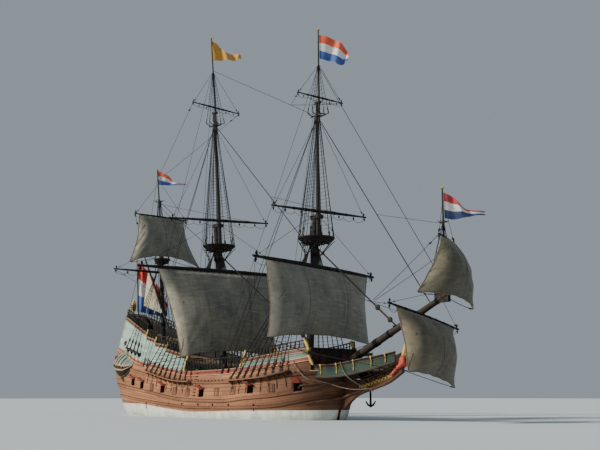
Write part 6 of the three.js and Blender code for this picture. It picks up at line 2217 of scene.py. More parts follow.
class SHIP_OT_gunports(bpy.types.Operator):
    """Raised lids on their hinges, shut ports, frames and the bow gun"""

    bl_idname = "ship.gunports"
    bl_label = "Gunports"

    def execute(self, context):
        for name, x, z in GUNPORTS:
            self.lid(name, x, z)
        frames = Shape()
        for _, x, z in GUNPORTS:
            self.frame(frames, x, z, -1)
            self.shut(frames, x, z, 1)
        for x in SHUT_PORTS:
            self.shut(frames, x, PORT_LINE(x), -1)
            self.shut(frames, x, PORT_LINE(x), 1)
        frames.piece("port_frames", ["dark_red", "wale", "iron"], "oiled_wood")
        self.gun()
        return {"FINISHED"}

    def frame(self, shape, x, z, side):
        """Four timbers round an open port, in its thickness."""
        (along, out, up), middle = port_axes(x, z, side)
        width, height = PORT_WIDTH + 2 * LID_CLEAR, PORT_HEIGHT + 2 * LID_CLEAR
        inside = middle - out * 0.33
        for k in (-1, 1):
            shape.box(inside + along * k * (width / 2 - 0.045), (0.08, 0.2, height - 0.02), (along, out, up),
                      0)
            shape.box(inside + up * k * (height / 2 - 0.045), (width - 0.02, 0.2, 0.08), (along, out, up), 0)

    def shut(self, shape, x, z, side):
        """A closed lid, a little proud of the planks, with two strap hinges."""
        (along, out, up), middle = port_axes(x, z, side)
        lean = half_breadth(x, z + 0.3) - half_breadth(x, z - 0.3)
        tilt = (up * 0.6 + out * lean).normalized()
        axes = (along, tilt.cross(along) if tilt.cross(along).dot(out) > 0 else along.cross(tilt), tilt)
        shape.box(middle + axes[1] * 0.005, (PORT_WIDTH, 0.09, PORT_HEIGHT), axes, 1)
        shape.box(middle - axes[1] * 0.025, (PORT_WIDTH + 0.09, 0.09, PORT_HEIGHT + 0.09), axes, 2)
        for k in (-0.24, 0.24):
            shape.box(middle + along * k + axes[1] * 0.052, (0.06, 0.03, PORT_HEIGHT * 0.96), axes, 2)

    def lid(self, name, x, z):
        """A raised lid where the frame's own lid is: planks outside, red lining inside."""
        node = name + "_port_lid"
        (along, out, up), _ = port_axes(x, z, -1)
        angle = math.radians(LID_OPEN.get(name, 130))
        reach = (-up * math.cos(angle) + out * math.sin(angle)).normalized()
        face = (out * math.cos(angle) + up * math.sin(angle)).normalized()
        points = [v.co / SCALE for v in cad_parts[node].data.vertices]
        spans = [(min(p.dot(way) for p in points), max(p.dot(way) for p in points))
                 for way in (along, reach, face)]
        middle = [sum(span) / 2 for span in spans]
        size = [span[1] - span[0] for span in spans]
        thick = min(size[2], 0.1)
        flat = [p for p in points if p.dot(reach) > spans[1][1] - 0.02]
        level = (min(p.dot(face) for p in flat) + max(p.dot(face) for p in flat)) / 2

        def at(a, r, f):
            return along * (middle[0] + a) + reach * (middle[1] + r) + face * (level + f)

        shape = Shape()
        axes = (along, reach, face)
        for k in range(3):
            strake = (k - 1) * size[1] / 3
            shape.box(at(0, strake, 0.01), (size[0], size[1] / 3 - 0.012, thick - 0.02), axes, 0)
        shape.box(at(0, 0, -thick / 2 + 0.012), (size[0] - 0.12, size[1] - 0.12, 0.024), axes, 1)
        shape.box(at(0, 0, 0.0), (size[0] - 0.03, size[1] - 0.03, thick - 0.035), axes, 3)
        for k in (-0.26, 0.26):
            shape.box(at(k, 0.0, thick / 2 + 0.008), (0.07, size[1] * 0.94, 0.022), axes, 2)
        hinge = at(0, -size[1] / 2 + 0.03, 0)
        shape.tube([hinge - along * size[0] * 0.46, hinge + along * size[0] * 0.46], 0.035, 8, 2)
        shape.piece(name + "_lid", ["wale", "red", "iron", "dark_wood"], "oiled_wood", node, body=node)

    def gun(self):
        """The muzzle of the gun at the bow port."""
        _, x, z = GUNPORTS[-1]
        (_, out, up), middle = port_axes(x, z, -1)
        shape = Shape()
        barrel = ((0, 0.17), (0.5, 0.155), (0.52, 0.175), (0.56, 0.175), (0.58, 0.145), (0.86, 0.13),
                  (0.92, 0.165), (1.0, 0.175), (1.04, 0.15), (1.045, 0.085), (0.8, 0.08))
        shape.turned(middle - out * 1.22 - up * 0.05, out, barrel, 18)
        shape.piece("bow_gun", ["iron"], "black_iron")


def gallery_swell(t):
    """Share of the gallery's full bulge at a share of its height."""
    return math.sin(math.pi * min(t * 1.15 + 0.02, 1)) ** 0.75


def side_window(shape, at, out, size, rim, deep, bar, wood, pane):
    """A framed window with crossed bars: size is the glass, and rim is what the frame adds to it."""
    axes = (UP.cross(out), out, UP)
    width, height = size
    shape.box(at, (width + rim, deep, height + rim), axes, wood)
    shape.box(at + out * 0.02, (width, deep, height), axes, pane)
    proud = out * (deep / 2 + 0.02)
    for k in (-3 * bar, 3 * bar):
        shape.box(at + proud + axes[0] * k, (bar, 0.02, height), axes, wood)
        shape.box(at + proud + axes[2] * k, (width, 0.02, bar), axes, wood)


class SHIP_OT_stern(bpy.types.Operator):
    """Quarter galleries, carved transom, lantern, ensign staff and rudder irons"""

    bl_idname = "ship.stern"
    bl_label = "Stern"

    def execute(self, context):
        for name, side in SIDES:
            self.gallery(name, side)
        self.side_lights()
        self.transom()
        self.lantern()
        self.staff()
        self.rudder_irons()
        return {"FINISHED"}

    def gallery(self, name, side):
        """A closed gallery: carved foot, windows between ribs, and a ribbed green roof."""
        low, high, bulge = (curve([(row[0], row[k]) for row in GALLERY]) for k in (1, 2, 3))
        shape = Shape()
        rows = 16
        xs = spread(GALLERY[0][0], GALLERY[-1][0], 22)
        rings, uvs = [], []
        for x in xs:
            ring = [on_side(x, low(x), side, -0.05)]
            for i in range(1, rows):
                t = i / rows
                z = low(x) + (high(x) - low(x)) * t
                ring.append(on_side(x, z, side, max(bulge(x) * gallery_swell(t), 0.02)))
            ring += [on_side(x, high(x), side, 0.01), on_side(x, high(x), side, -0.05)]
            rings.append(ring)
            uvs.append([(x, i * 0.5) for i in range(len(ring))])
        kinds = [1] * 4 + [2] + [1] * 2 + [2] + [0] * 10
        shape.loft(rings, 0, uvs=uvs, paints=kinds)
        for t, size, paint in ((0.02, 0.05, 4), (0.27, 0.055, 2), (0.47, 0.055, 2), (0.99, 0.05, 4)):
            path = []
            for x in xs:
                z = low(x) + (high(x) - low(x)) * t
                path.append(on_side(x, z, side, max(bulge(x) * gallery_swell(t), 0.02) + 0.01))
            shape.tube(path, size, 6, paint)
        for x0, paint in ((-21.05, 2), (-20.1, 2), (-19.2, 2), (-18.3, 2), (-17.4, 2), (-19.95, 1),
                          (-19.05, 1), (-18.15, 1)):
            path = []
            for t in spread(0.48, 0.97, 10):
                x = x0 + 0.5 * (t - 0.48)
                z = low(x) + (high(x) - low(x)) * t
                path.append(on_side(x, z, side, bulge(x) * gallery_swell(t) + 0.02))
            shape.tube(path, 0.05, 5, paint)
        for x in (-20.55, -19.65, -18.75, -17.85):
            z = low(x) + (high(x) - low(x)) * 0.37
            out = side_out(x, z, side)
            at = on_side(x, z, side, bulge(x) * math.sin(math.pi * 0.446) ** 0.75 + 0.012)
            side_window(shape, at, out, (0.38, 0.32), 0.08, 0.05, 0.02, wood=4, pane=5)
        end = on_side(-21.22, 7.35, side, 0.22)
        shape.box(end, (0.12, 0.62, 1.35), None, 6)
        shape.box(end - Vector((0.06, 0, 0)), (0.06, 0.4, 1.05), None, 5)
        drop = [on_side(-18.9, 5.05, side, 0.3), on_side(-18.5, 4.7, side, 0.2),
                on_side(-18.2, 4.4, side, 0.05)]
        shape.tube(drop, [0.22, 0.15, 0.05], 8, 4)
        # The lower band of the gallery takes the near-black wood of painted shade
        finishes = ["roof_green", "inner_wall", "cream", "head_green", "old_gold", "glass", "red"]
        shape.piece(f"gallery_{name}", finishes, "green_paint", f"quarter_gallery_{name}", sharp=30)

    def side_lights(self):
        """A small framed window in each side above the gallery."""
        shape = Shape()
        for side in (-1, 1):
            x, z = -19.9, 9.67
            out = side_out(x, z, side)
            side_window(shape, on_side(x, z, side, 0.02), out, (0.5, 0.56), 0.22, 0.08, 0.03, wood=0, pane=1)
        shape.piece("side_lights", ["dark_red", "glass"], "red_paint")

    def transom(self):
        """Cornices, windows, pilasters and plain carved ornament across the stern."""
        shape = Shape()

        def face(y, z, out=0.0):
            return Vector((STERN_X(z) - out, y, z))

        def wide(z):
            return half_breadth(STERN_X(z), z) if z < 9.3 else half_breadth(-21.9, z)

        for z, size, paint in ((3.35, 0.1, 1), (4.9, 0.12, 0), (5.25, 0.07, 1), (7.9, 0.12, 0),
                               (8.25, 0.07, 1), (9.35, 0.1, 1),
                               (11.6, 0.09, 1), (13.75, 0.14, 0), (14.0, 0.09, 1)):
            w = wide(z) - 0.05
            shape.tube([face(y, z + 0.12 * (1 - (y / w) ** 2), 0.03) for y in spread(-w, w, 13)], size, 6,
                       paint)
        for y in (-2.1, -0.7, 0.7, 2.1):
            for z, tall, width in ((6.6, 1.3, 0.85), (8.82, 0.62, 0.5)):
                if abs(y) > wide(z) - 0.5:
                    continue
                at = face(y, z, 0.02)
                shape.box(at, (0.1, width + 0.2, tall + 0.2), None, 1)
                shape.box(at - Vector((0.035, 0, 0)), (0.08, width, tall), None, 2)
                for k in range(1, 4):
                    shape.box(at - Vector((0.08, 0, 0)) + Vector((0, 0, tall * (k / 4 - 0.5))),
                              (0.02, width, 0.03), None, 1)
                for k in (-0.17, 0.17):
                    shape.box(at - Vector((0.08, 0, 0)) + Vector((0, width * k, 0)), (0.02, 0.03, tall), None,
                              1)
        for y in (-2.8, -1.4, 0.0, 1.4, 2.8):
            for low, high in ((5.35, 7.85), (9.5, 11.5), (11.75, 13.6)):
                if abs(y) > wide(high) - 0.12:
                    continue
                at = [face(y, z, 0.06) for z in spread(low, high, 7)]
                shape.tube(at, [0.09, 0.13, 0.08, 0.12, 0.09, 0.15, 0.1], 8, 1)
        for side in (-1, 1):
            edge = [Vector((STERN_X(z) - 0.02, side * (wide(z) - 0.02), z)) for z in spread(5.3, 13.8, 15)]
            shape.tube(edge, [0.045 + 0.02 * (i % 2) for i in range(15)], 8, 3)
        shape.piece("transom_carving", ["dark_red", "gold", "glass", "old_gold"], "gilding")
        panels = Shape()
        for low, high, paint in ((5.4, 7.8, 0), (9.45, 11.5, 0), (11.7, 13.65, 1)):
            rings = []
            for z in spread(low, high, 5):
                w = wide(z) - 0.12
                rings.append([face(-w, z, -0.03), face(w, z, -0.03), face(w, z, 0.025), face(-w, z, 0.025)])
            panels.loft(rings, paint)
        panels.piece("transom_panels", ["red", "dark_green"], "red_paint")
        scrolls = []
        for z, ys in ((10.5, (-2.1, -0.7, 0.7, 2.1)), (12.7, (-1.7, -0.85, 0.85, 1.7)),
                      (4.1, (-2.4, -1.2, 1.2, 2.4))):
            for y in ys:
                if abs(y) > wide(z) - 0.35:
                    continue
                size = 1.35
                scrolls.append((face(y, z, 0.05), (0, 0, math.pi), (size, size if y > 0 else -size, size)))
        copies("transom_scrolls", scroll_shape(), scrolls, "gold", "ship", "gilding")
        rosettes = [(face(0, z, 0.06), (0, 0, math.pi), (s, s, s))
                    for z, s in ((10.5, 2.2), (12.75, 2.6), (4.1, 1.5))]
        copies("transom_rosettes", rosette_shape(), rosettes, "gold", "ship", "gilding")

    def lantern(self):
        low, high = (Vector(c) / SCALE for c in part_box("stern_lantern"))
        shape = Shape()
        centre = Vector((-23.4, 0, 0))
        z0, z1 = 14.45, high.z
        # The lantern's own height, and that of the rows below
        tall, drawn_tall = z1 - z0, 1.95
        body = [(0.0, 0.12), (0.12, 0.2), (0.2, 0.34), (0.26, 0.34), (0.3, 0.3)]
        glass = [(0.3, 0.29), (0.6, 0.37), (1.15, 0.4), (1.3, 0.34)]
        roof = [(1.28, 0.42), (1.34, 0.44), (1.42, 0.36), (1.6, 0.2), (1.68, 0.22), (1.76, 0.1), (1.9, 0.06),
                (drawn_tall, 0.02)]
        for rows, paint in ((body, 0), (glass, 1), (roof, 0)):
            profile = [(h * tall / drawn_tall, r) for h, r in rows]
            shape.turned(centre + Vector((0, 0, z0)), UP, profile, 8, paint)
        for j in range(8):
            a = 2 * math.pi * j / 8
            out = Vector((math.cos(a), math.sin(a), 0))
            path = [centre + out * (r + 0.012) + Vector((0, 0, z0 + h * tall / drawn_tall)) for h, r in glass]
            shape.tube(path, 0.032, 5, 0)
        for h, r in ((0.6, 0.375), (0.88, 0.39), (1.15, 0.405)):
            ring = [centre + Vector((r * math.cos(a), r * math.sin(a), z0 + h * tall / drawn_tall))
                    for a in spread(0, 2 * math.pi, 17)]
            shape.tube(ring, 0.022, 5, 0)
        shape.tube([Vector((-22.25, 0, max(low.z, 13.3) + 0.12)), Vector((-22.8, 0, 13.75)),
                    Vector((-23.3, 0, 14.05)), Vector((-23.4, 0, 14.5))],
                   [0.08, 0.07, 0.06, 0.09], 8, 2)
        for side in (-1, 1):
            shape.tube([Vector((-22.2, side * 0.7, 13.7)), Vector((-22.9, side * 0.3, 14.0)),
                        Vector((-23.35, 0, 14.4))], 0.03, 6, 2)
        shape.piece("lantern", ["gold", "glass", "iron"], "gilding", "stern_lantern")

    def staff(self):
        low, high = (Vector(c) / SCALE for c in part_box("ensign_staff"))
        shape = Shape()
        foot, head = Vector((-21.55, 0, low.z)), Vector((-22.9, 0, 22.2))
        shape.tube([foot.lerp(head, t) for t in spread(0, 1, 8)], spread(0.1, 0.05, 8), 12, 0)
        truck(shape, -22.9, min(22.28, high.z - 0.1))
        for t in (0.08, 0.16):
            at = foot.lerp(head, t)
            shape.tube([at - Vector((0, 0, 0.06)), at + Vector((0, 0, 0.06))], 0.13, 10, 3)
        shape.piece("staff", MAST_PAINTS, "spar_wood", "ensign_staff")

    def rudder_irons(self):
        low, high = (Vector(c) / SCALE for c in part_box("rudder"))
        shape = Shape()
        half = (high.y - low.y) / 2
        reach = steps([(-5, 1.75), (-4, 1.8), (-2, 1.55), (0, 1.2), (1.6, 0.95), (3, 0.8)])
        for z in (-3.9, -2.5, -1.1, 0.3, 1.6, 2.6):
            length = reach(z) * 0.72
            start = rudder_line(z) - 0.3
            for side in (-1, 1):
                shape.box((start - length / 2, side * (half * 0.72 + 0.012), z), (length, 0.03, 0.13), None,
                          0)
        shape.piece("rudder_irons", ["iron"], "black_iron", body="rudder")


class SHIP_OT_beakhead(bpy.types.Operator):
    """Head panels and rails, knee, frieze, grating, bulkhead and the carved beast"""

    bl_idname = "ship.beakhead"
    bl_label = "Beakhead"

    def execute(self, context):
        for name, side in SIDES:
            self.panel(name, side)
        self.knee()
        self.timbers()
        self.frieze()
        self.grating()
        self.bulkhead()
        self.beast()
        return {"FINISHED"}

    def panel(self, name, side):
        xs = spread(HEAD[0][0], HEAD[-1][0], 26)
        shape = Shape()
        rings, uvs = [], []
        for x in xs:
            y, low, high = HEAD_WIDE(x), HEAD_LOW(x), HEAD_HIGH(x)
            inner = max(y - HEAD_WALL, 0.2)
            points = [(y, low), (y, low + (high - low) * 0.33), (y, low + (high - low) * 0.66),
                      (y, high - 0.34),
                      (y - 0.03, high - 0.33), (y - 0.03, high - 0.1), (y, high - 0.09), (y, high),
                      (inner, high), (inner, low)]
            rings.append([(x, side * a, b) for a, b in points])
            uvs.append([(x, i * 1.0) for i in range(len(points))])
        shape.loft(rings, 0, uvs=uvs, paints=[0, 0, 0, 1, 1, 1, 2, 2, 1, 1])
        for drop, size, paint in ((0.05, 0.05, 2), (0.36, 0.03, 2)):
            shape.tube([(x, side * (HEAD_WIDE(x) + 0.02), HEAD_HIGH(x) - drop) for x in xs], size, 6, paint)
        for rise, size, paint in ((0.04, 0.04, 1), (0.2, 0.016, 3)):
            shape.tube([(x, side * (HEAD_WIDE(x) + 0.02), HEAD_LOW(x) + rise) for x in xs], size, 6, paint)
        finishes = ["head_green", "dark_wood", "head_cream", "old_gold"]
        shape.piece(f"head_rail_{name}", finishes, "dark_green_paint", f"head_panel_{name}")
        gold = Shape()
        for x in (21.4, 23.4, 25.4, 27.4, 28.9):
            y, low, high = HEAD_WIDE(x), HEAD_LOW(x), HEAD_HIGH(x)
            path, sizes = [], []
            for i, t in enumerate(spread(0, 1, 9)):
                bow = 0.08 + 0.05 * math.sin(6.28 * t)
                path.append((x - 0.1 + 0.16 * t + 0.08 * math.sin(5 * t), side * (y + bow),
                             high + 0.02 - (high - low - 0.3) * t))
                sizes.append((0.06, 0.11, 0.05, 0.06, 0.035, 0.05, 0.085, 0.05, 0.03)[i])
            gold.tube(path, sizes, 8, 0)
        gold.piece(f"head_brackets_{name}", ["gold"], "gilding", sharp=60)

    def knee(self):
        shape = Shape()
        rings, uvs = [], []
        for t in spread(0, 1, 24):
            x0 = KNEE_AFT_LOW + (KNEE_TIP - KNEE_AFT_LOW) * t
            x1 = KNEE_AFT_HIGH + (KNEE_TIP - KNEE_AFT_HIGH) * t
            low, high = Vector((x0, 0, KNEE_LOWER(x0))), Vector((x1, 0, KNEE_UPPER(x1)))
            ring = []
            for y, share in ((-1, 0.0), (-1, 0.5), (-1, 1.0), (1, 1.0), (1, 0.5), (1, 0.0)):
                at = low.lerp(high, share)
                ring.append((at.x, y * KNEE_HALF, at.z))
            rings.append(ring)
            uvs.append([(x0, k * 1.0) for k in (0, 2, 4, 4.5, 2.5, 0.5)])
        shape.loft(rings, 0, uvs=uvs)
        for side in (-1, 1):
            for line, aft, inset in ((KNEE_LOWER, 21.8, 0.09), (KNEE_UPPER, 22.7, -0.07)):
                span = spread(aft, 30.25, 20)
                shape.tube([(x, side * (KNEE_HALF - 0.01), line(x) + inset) for x in span], 0.06, 6, 1)
        shape.piece("knee", ["wale", "planking"], "oiled_wood", "stem_knee")

    def timbers(self):
        """Head timbers and cheeks between the hull, the knee and the panels."""
        shape = Shape()
        for side in (-1, 1):
            for x in (22.9, 24.2, 25.5, 26.8, 28.0, 29.1):
                foot = Vector((x - 0.1, side * (KNEE_HALF - 0.02), KNEE_UPPER(x) - 0.15))
                head = Vector((x, side * (HEAD_WIDE(x) - 0.07), HEAD_LOW(x) + 0.15))
                middle = foot.lerp(head, 0.5) + Vector((0, side * 0.12, -0.12))
                shape.tube([foot, middle, head], [0.09, 0.085, 0.08], 6, 0)
            cheek = [on_side(19.0, 3.55, side, 0.03), on_side(20.5, 3.75, side, 0.05),
                     (22.3, side * 0.55, 3.95), (23.6, side * 0.3, 4.0), (25.0, side * 0.22, 4.05)]
            shape.tube(cheek, [0.12, 0.13, 0.13, 0.11, 0.07], 8, 1)
            low = [on_side(19.3, 1.72, side, 0.05), on_side(20.6, 1.98, side, 0.06),
                   (21.9, side * 0.32, 2.35), (23.2, side * 0.24, 2.75), (24.6, side * 0.2, 3.05)]
            shape.tube(low, [0.1, 0.12, 0.12, 0.1, 0.06], 8, 2)
            for drop in (0.0, 0.42):
                rail = []
                for x in spread(22.4, 29.6, 10):
                    knee = KNEE_UPPER(max(x, 22.7))
                    y = 0.2 + (HEAD_WIDE(x) - 0.2) * (0.42 - drop * 0.35)
                    rail.append((x, side * y, knee + (HEAD_LOW(x) - knee) * (0.5 - drop)))
                shape.tube(rail, 0.06, 6, 1 if drop else 0)
        shape.piece("head_timbers", ["dark_wood", "wale", "planking"], "dark_green_paint")

    def frieze(self):
        """Gilded scrolls along both faces of the knee."""
        places = []
        for side in (-1, 1):
            for x in spread(24.4, 28.7, 10):
                z = (KNEE_LOWER(x) + KNEE_UPPER(x)) / 2 + 0.12
                turn = (0, math.radians(-20 * side), math.pi / 2 * side)
                tall = 1.1 + 0.6 * abs(math.sin(2.3 * x))
                places.append(((x, side * (KNEE_HALF + 0.01), z), turn, (1.2, 1.15, tall)))
        copies("knee_scrolls", scroll_shape(), places, "gold", "ship", "gilding")

    def grating(self):
        slat = Shape()
        slat.box((0, 0, 0), (0.085, 1, 0.06))
        places = [((x, 0, PLATFORM_Z - 0.03), (0, 0, 0), (1, 2 * (HEAD_WIDE(x) - HEAD_WALL) - 0.02, 1))
                  for x in spread(22.45, 28.3, 40)]
        copies("head_slats", slat, places, "deck", "ship", "oiled_wood")
        low, _ = (Vector(c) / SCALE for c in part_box("beakhead_platform"))
        shape = Shape()
        for k in (-0.8, -0.4, 0.0, 0.4, 0.8):
            rings = []
            for x in spread(max(low.x, 20.3), 28.3, 12):
                y = k * (HEAD_WIDE(x) - HEAD_WALL - 0.05)
                rings.append([(x, y - 0.07, PLATFORM_Z - 0.2), (x, y + 0.07, PLATFORM_Z - 0.2),
                              (x, y + 0.07, PLATFORM_Z - 0.065), (x, y - 0.07, PLATFORM_Z - 0.065)])
            shape.loft(rings)
        shape.piece("head_beams", ["deck"], "oiled_wood", "beakhead_platform")

    def bulkhead(self):
        """The panelled front of the forecastle."""
        shape = Shape()
        x = BEAK_BULKHEAD + 0.02
        half = half_breadth(BEAK_BULKHEAD, 6.2)
        # The flat front takes the near-black wood of painted shade
        shape.box((x, 0, 6.35), (0.06, 2 * half - 0.2, 2.2), None, 0)
        for y in (-3.0, -2.0, -1.05, 1.05, 2.0, 3.0):
            if abs(y) < half - 0.15:
                shape.tube([(x + 0.06, y, z) for z in spread(5.25, 7.4, 7)],
                           [0.1, 0.13, 0.09, 0.12, 0.09, 0.13, 0.1], 8, 1)
        for side in (-1, 1):
            shape.box((x + 0.04, side * 1.52, 6.1), (0.08, 0.72, 1.5), None, 2)
            shape.box((x + 0.04, side * 2.5, 6.5), (0.08, 0.6, 0.6), None, 2)
        for z in (5.22, 7.45):
            shape.box((x + 0.05, 0, z), (0.16, 2 * half - 0.1, 0.12), None, 3)
        shape.piece("beak_bulkhead", ["inner_wall", "dark_wood", "dark_red", "dark_wood"], "dark_green_paint")

    def beast(self):
        """A plain carved beast that climbs the knee, and its gilded mane."""
        way = FIGURE_WAY.normalized()
        across = Vector((0, 1, 0))
        front = way.cross(across) * -1

        def at(along, ahead, side=0.0):
            return FIGURE_FOOT + way * along + front * ahead + across * side

        body = (((-0.75, -0.75), 0.2), ((-0.45, -0.45), 0.26), ((-0.15, -0.2), 0.3), ((0.15, 0.0), 0.34),
                ((0.5, 0.04), 0.38), ((0.9, 0.06), 0.31), ((1.3, 0.08), 0.35), ((1.7, 0.12), 0.38),
                ((2.05, 0.2), 0.33), ((2.32, 0.34), 0.28), ((2.42, 0.52), 0.18))
        haunch = (((29.0, 4.62), 0.17), ((29.25, 4.8), 0.2), ((29.55, 5.02), 0.22), ((29.9, 5.28), 0.24),
                  ((30.25, 5.5), 0.27), ((30.6, 5.75), 0.3))
        thighs = [(Vector((x, side * 0.27, z)), size) for (x, z), size in haunch for side in (-1, 1)]
        balls = [(at(*place), size) for place, size in body] + self.legs(at) + thighs
        self.lump("carved_beast", balls, "red", "figurehead")
        mane = [(at(1.15 + 0.2 * i, 0.1 - 0.05 * i, s), 0.25 - 0.01 * i) for i in range(7)
                for s in (-0.27, 0.0, 0.27)]
        rand = random.Random(5)
        curls = []
        for centre, size in mane:
            for _ in range(5):
                push = Vector((rand.uniform(-1, 1), rand.uniform(-1, 1), rand.uniform(-1, 1))).normalized()
                curls.append((centre + push * size * 0.75, 0.09))
        self.lump("beast_mane", mane + curls, "gold")

    def legs(self, at):
        lumps = []
        for side in (-1, 1):
            for i in range(6):
                lumps.append((at(1.25 + 0.1 * i, 0.3 + 0.055 * i, side * 0.27), 0.14 - 0.008 * i))
                lumps.append((at(0.15 + 0.1 * i, 0.2 + 0.02 * i, side * 0.27), 0.15 - 0.004 * i))
            lumps.append((at(2.36, 0.12, side * 0.2), 0.1))
            for i in range(7):
                lumps.append((at(0.2 + 0.16 * i, -0.22 - 0.05 * math.sin(i), side * 0.12), 0.07))
        return lumps

    def lump(self, name, balls, paint, *nodes):
        """Overlapping balls melted into one carved surface."""
        mesh = bpy.data.meshes.new(name)
        form = bmesh.new()
        for centre, size in balls:
            place = Matrix.Translation(Vector(centre) * SCALE) @ Matrix.Scale(size * SCALE, 4)
            bmesh.ops.create_icosphere(form, subdivisions=2, radius=1.0, matrix=place)
        form.to_mesh(mesh)
        form.free()
        piece = bpy.data.objects.new(name, mesh)
        bpy.context.scene.collection.objects.link(piece)
        melt = piece.modifiers.new("melt", "REMESH")
        melt.mode = "VOXEL"
        melt.voxel_size = 0.035 * SCALE
        soft = piece.modifiers.new("soft", "SMOOTH")
        soft.iterations, soft.factor = 3, 0.5
        bake(piece)
        piece.data.shade_smooth()
        piece.data.materials.clear()
        piece.data.materials.append(paints()[paint])
        return finish_piece(piece, "ship", {"red": "red_paint", "gold": "gilding"}[paint], *nodes)


class SHIP_OT_deck_fittings(bpy.types.Operator):
    """Hatches, gratings, capstan, belfry, bitts, ladders and bow ropes"""

    bl_idname = "ship.deck_fittings"
    bl_label = "Deck fittings"

    def execute(self, context):
        shape = Shape()
        deck = WAIST_DECK(4.0)
        for x, length, width in ((2.6, 2.0, 1.9), (7.4, 1.5, 1.5)):
            self.hatch(shape, x, WAIST_DECK(x), length, width)
        self.hatch(shape, -6.6, QUARTERDECK(-6.6), 1.3, 1.3)
        self.hatch(shape, 13.2, FORECASTLE_TOP(13.2), 1.2, 1.4)
        capstan = Vector((5.2, 0, deck))
        barrel = ((0, 0.45), (0.15, 0.4), (0.7, 0.26), (0.75, 0.36), (1.05, 0.36), (1.1, 0.3))
        shape.turned(capstan, UP, barrel, 12, 1)
        for i in range(4):
            a = math.pi * i / 4
            way = Vector((math.cos(a), math.sin(a), 0))
            bar = capstan + UP * 0.9
            shape.tube([bar - way * 1.2, bar + way * 1.2], 0.04, 6, 1)
        for x, z in ((14.9, FORECASTLE_TOP(14.9)), (-1.2, WAIST_DECK(-1.2)), (9.3, WAIST_DECK(9.3))):
            for y in (-1.1, -0.5, 0.5, 1.1):
                shape.box((x, y, z + 0.45), (0.16, 0.16, 0.9), None, 1)
            shape.box((x, 0, z + 0.62), (0.14, 2.7, 0.14), None, 1)
        self.belfry(shape)
        for side in (-1, 1):
            self.ladder(shape, (-0.9, side * 2.6, WAIST_DECK(-1.0)), (-2.0, side * 2.6, QUARTERDECK(-2.1)))
            self.ladder(shape, (8.7, side * 2.6, WAIST_DECK(9.0)), (9.8, side * 2.6, FORECASTLE_TOP(9.8)))
            self.ladder(shape, (-12.5, side * 2.0, QUARTERDECK(-12.5)),
                        (-13.65, side * 2.0, POOP_DECK(-13.7)))
        shape.piece("deck_furniture", ["dark_wood", "wale", "gold", "deck"], "oiled_wood")
        self.bow_ropes()
        self.steps()
        self.anchor_rope()
        return {"FINISHED"}

    def hatch(self, shape, x, z, length, width):
        for k in (-1, 1):
            shape.box((x + k * length / 2, 0, z + 0.12), (0.14, width + 0.14, 0.26), None, 1)
            shape.box((x, k * width / 2, z + 0.12), (length, 0.14, 0.26), None, 1)
        for i in range(1, 9):
            shape.box((x - length / 2 + length * i / 9, 0, z + 0.2), (0.06, width, 0.06), None, 3)
            shape.box((x, -width / 2 + width * i / 9, z + 0.22), (length, 0.05, 0.05), None, 3)

    def belfry(self, shape):
        z = FORECASTLE_TOP(10.2)
        for side in (-1, 1):
            shape.tube([(10.2, side * 0.5, z), (10.2, side * 0.5, z + 1.3)], [0.1, 0.07], 8, 1)
        shape.tube([(10.2, y, z + 1.3 + 0.25 * math.cos(y * 2.6)) for y in spread(-0.6, 0.6, 7)], 0.08, 6, 2)
        bell = ((0, 0.05), (0.05, 0.1), (0.25, 0.14), (0.36, 0.22), (0.38, 0.2))
        shape.turned((10.2, 0, z + 1.35), -UP, bell, 14, 2)

    def ladder(self, shape, foot, head):
        foot, head = Vector(foot), Vector(head)
        for side in (-1, 1):
            shift = Vector((0, side * 0.36, 0))
            shape.plank(foot + shift, head + shift, 0.06, 0.22, UP, 1)
        count = max(3, int((head.z - foot.z) / 0.3))
        for i in range(1, count):
            shape.box(foot.lerp(head, i / count), (0.24, 0.72, 0.05), None, 3)

    def bow_ropes(self):
        """Hawsers made fast at the bow and on the knee."""
        first = [on_side(18.3, 6.2, -1, 0.1), on_side(18.9, 5.5, -1, 0.3), on_side(19.6, 4.85, -1, 0.55),
                 on_side(20.4, 4.3, -1, 1.0), (21.5, -1.95, 3.8), (22.8, -1.5, 3.4), (24.4, -0.8, 3.15),
                 (26.1, -0.19, 3.28)]
        second = [(23.9, -2.5, 5.95), (24.2, -2.5, 5.2), (24.7, -2.35, 4.5), (25.5, -1.35, 3.6),
                  (26.3, -0.19, 3.0)]
        lines = [(self.smooth(path), 0.05) for path in (first, second)]
        finish_piece(ropes("bow_hawsers", lines, "hemp", 6), "ship", "tarred_rope")

    def smooth(self, path):
        rows = spread(0, 1, len(path))
        axes = [curve([(t, p[k]) for t, p in zip(rows, path)]) for k in range(3)]
        return [tuple(axis(t) for axis in axes) for t in spread(0, 1, 20)]

    def steps(self):
        """Boarding steps up the sides and the row of cleats under the rail."""
        step = Shape()
        step.box((0.05, 0, 0), (0.16, 0.62, 0.07))
        cleat = Shape()
        cleat.box((0.04, 0, 0), (0.12, 0.3, 0.12))
        places, cleats = [], []
        for side in (-1, 1):
            for z in spread(2.6, 5.6, 9):
                places.append((on_side(1.0, z, side, 0.02), facing(side_out(1.0, z, side)), ONE))
            for x in spread(-8.4, 19.2, 40):
                z = UPPER_WALE(x) + 0.42
                if abs(x - 1.0) > 0.5:
                    cleats.append((on_side(x, z, side, 0.0), facing(side_out(x, z, side)), ONE))
        copies("side_steps", step, places, "wale", "ship", "oiled_wood")
        copies("side_cleats", cleat, cleats, "wale", "ship", "oiled_wood")

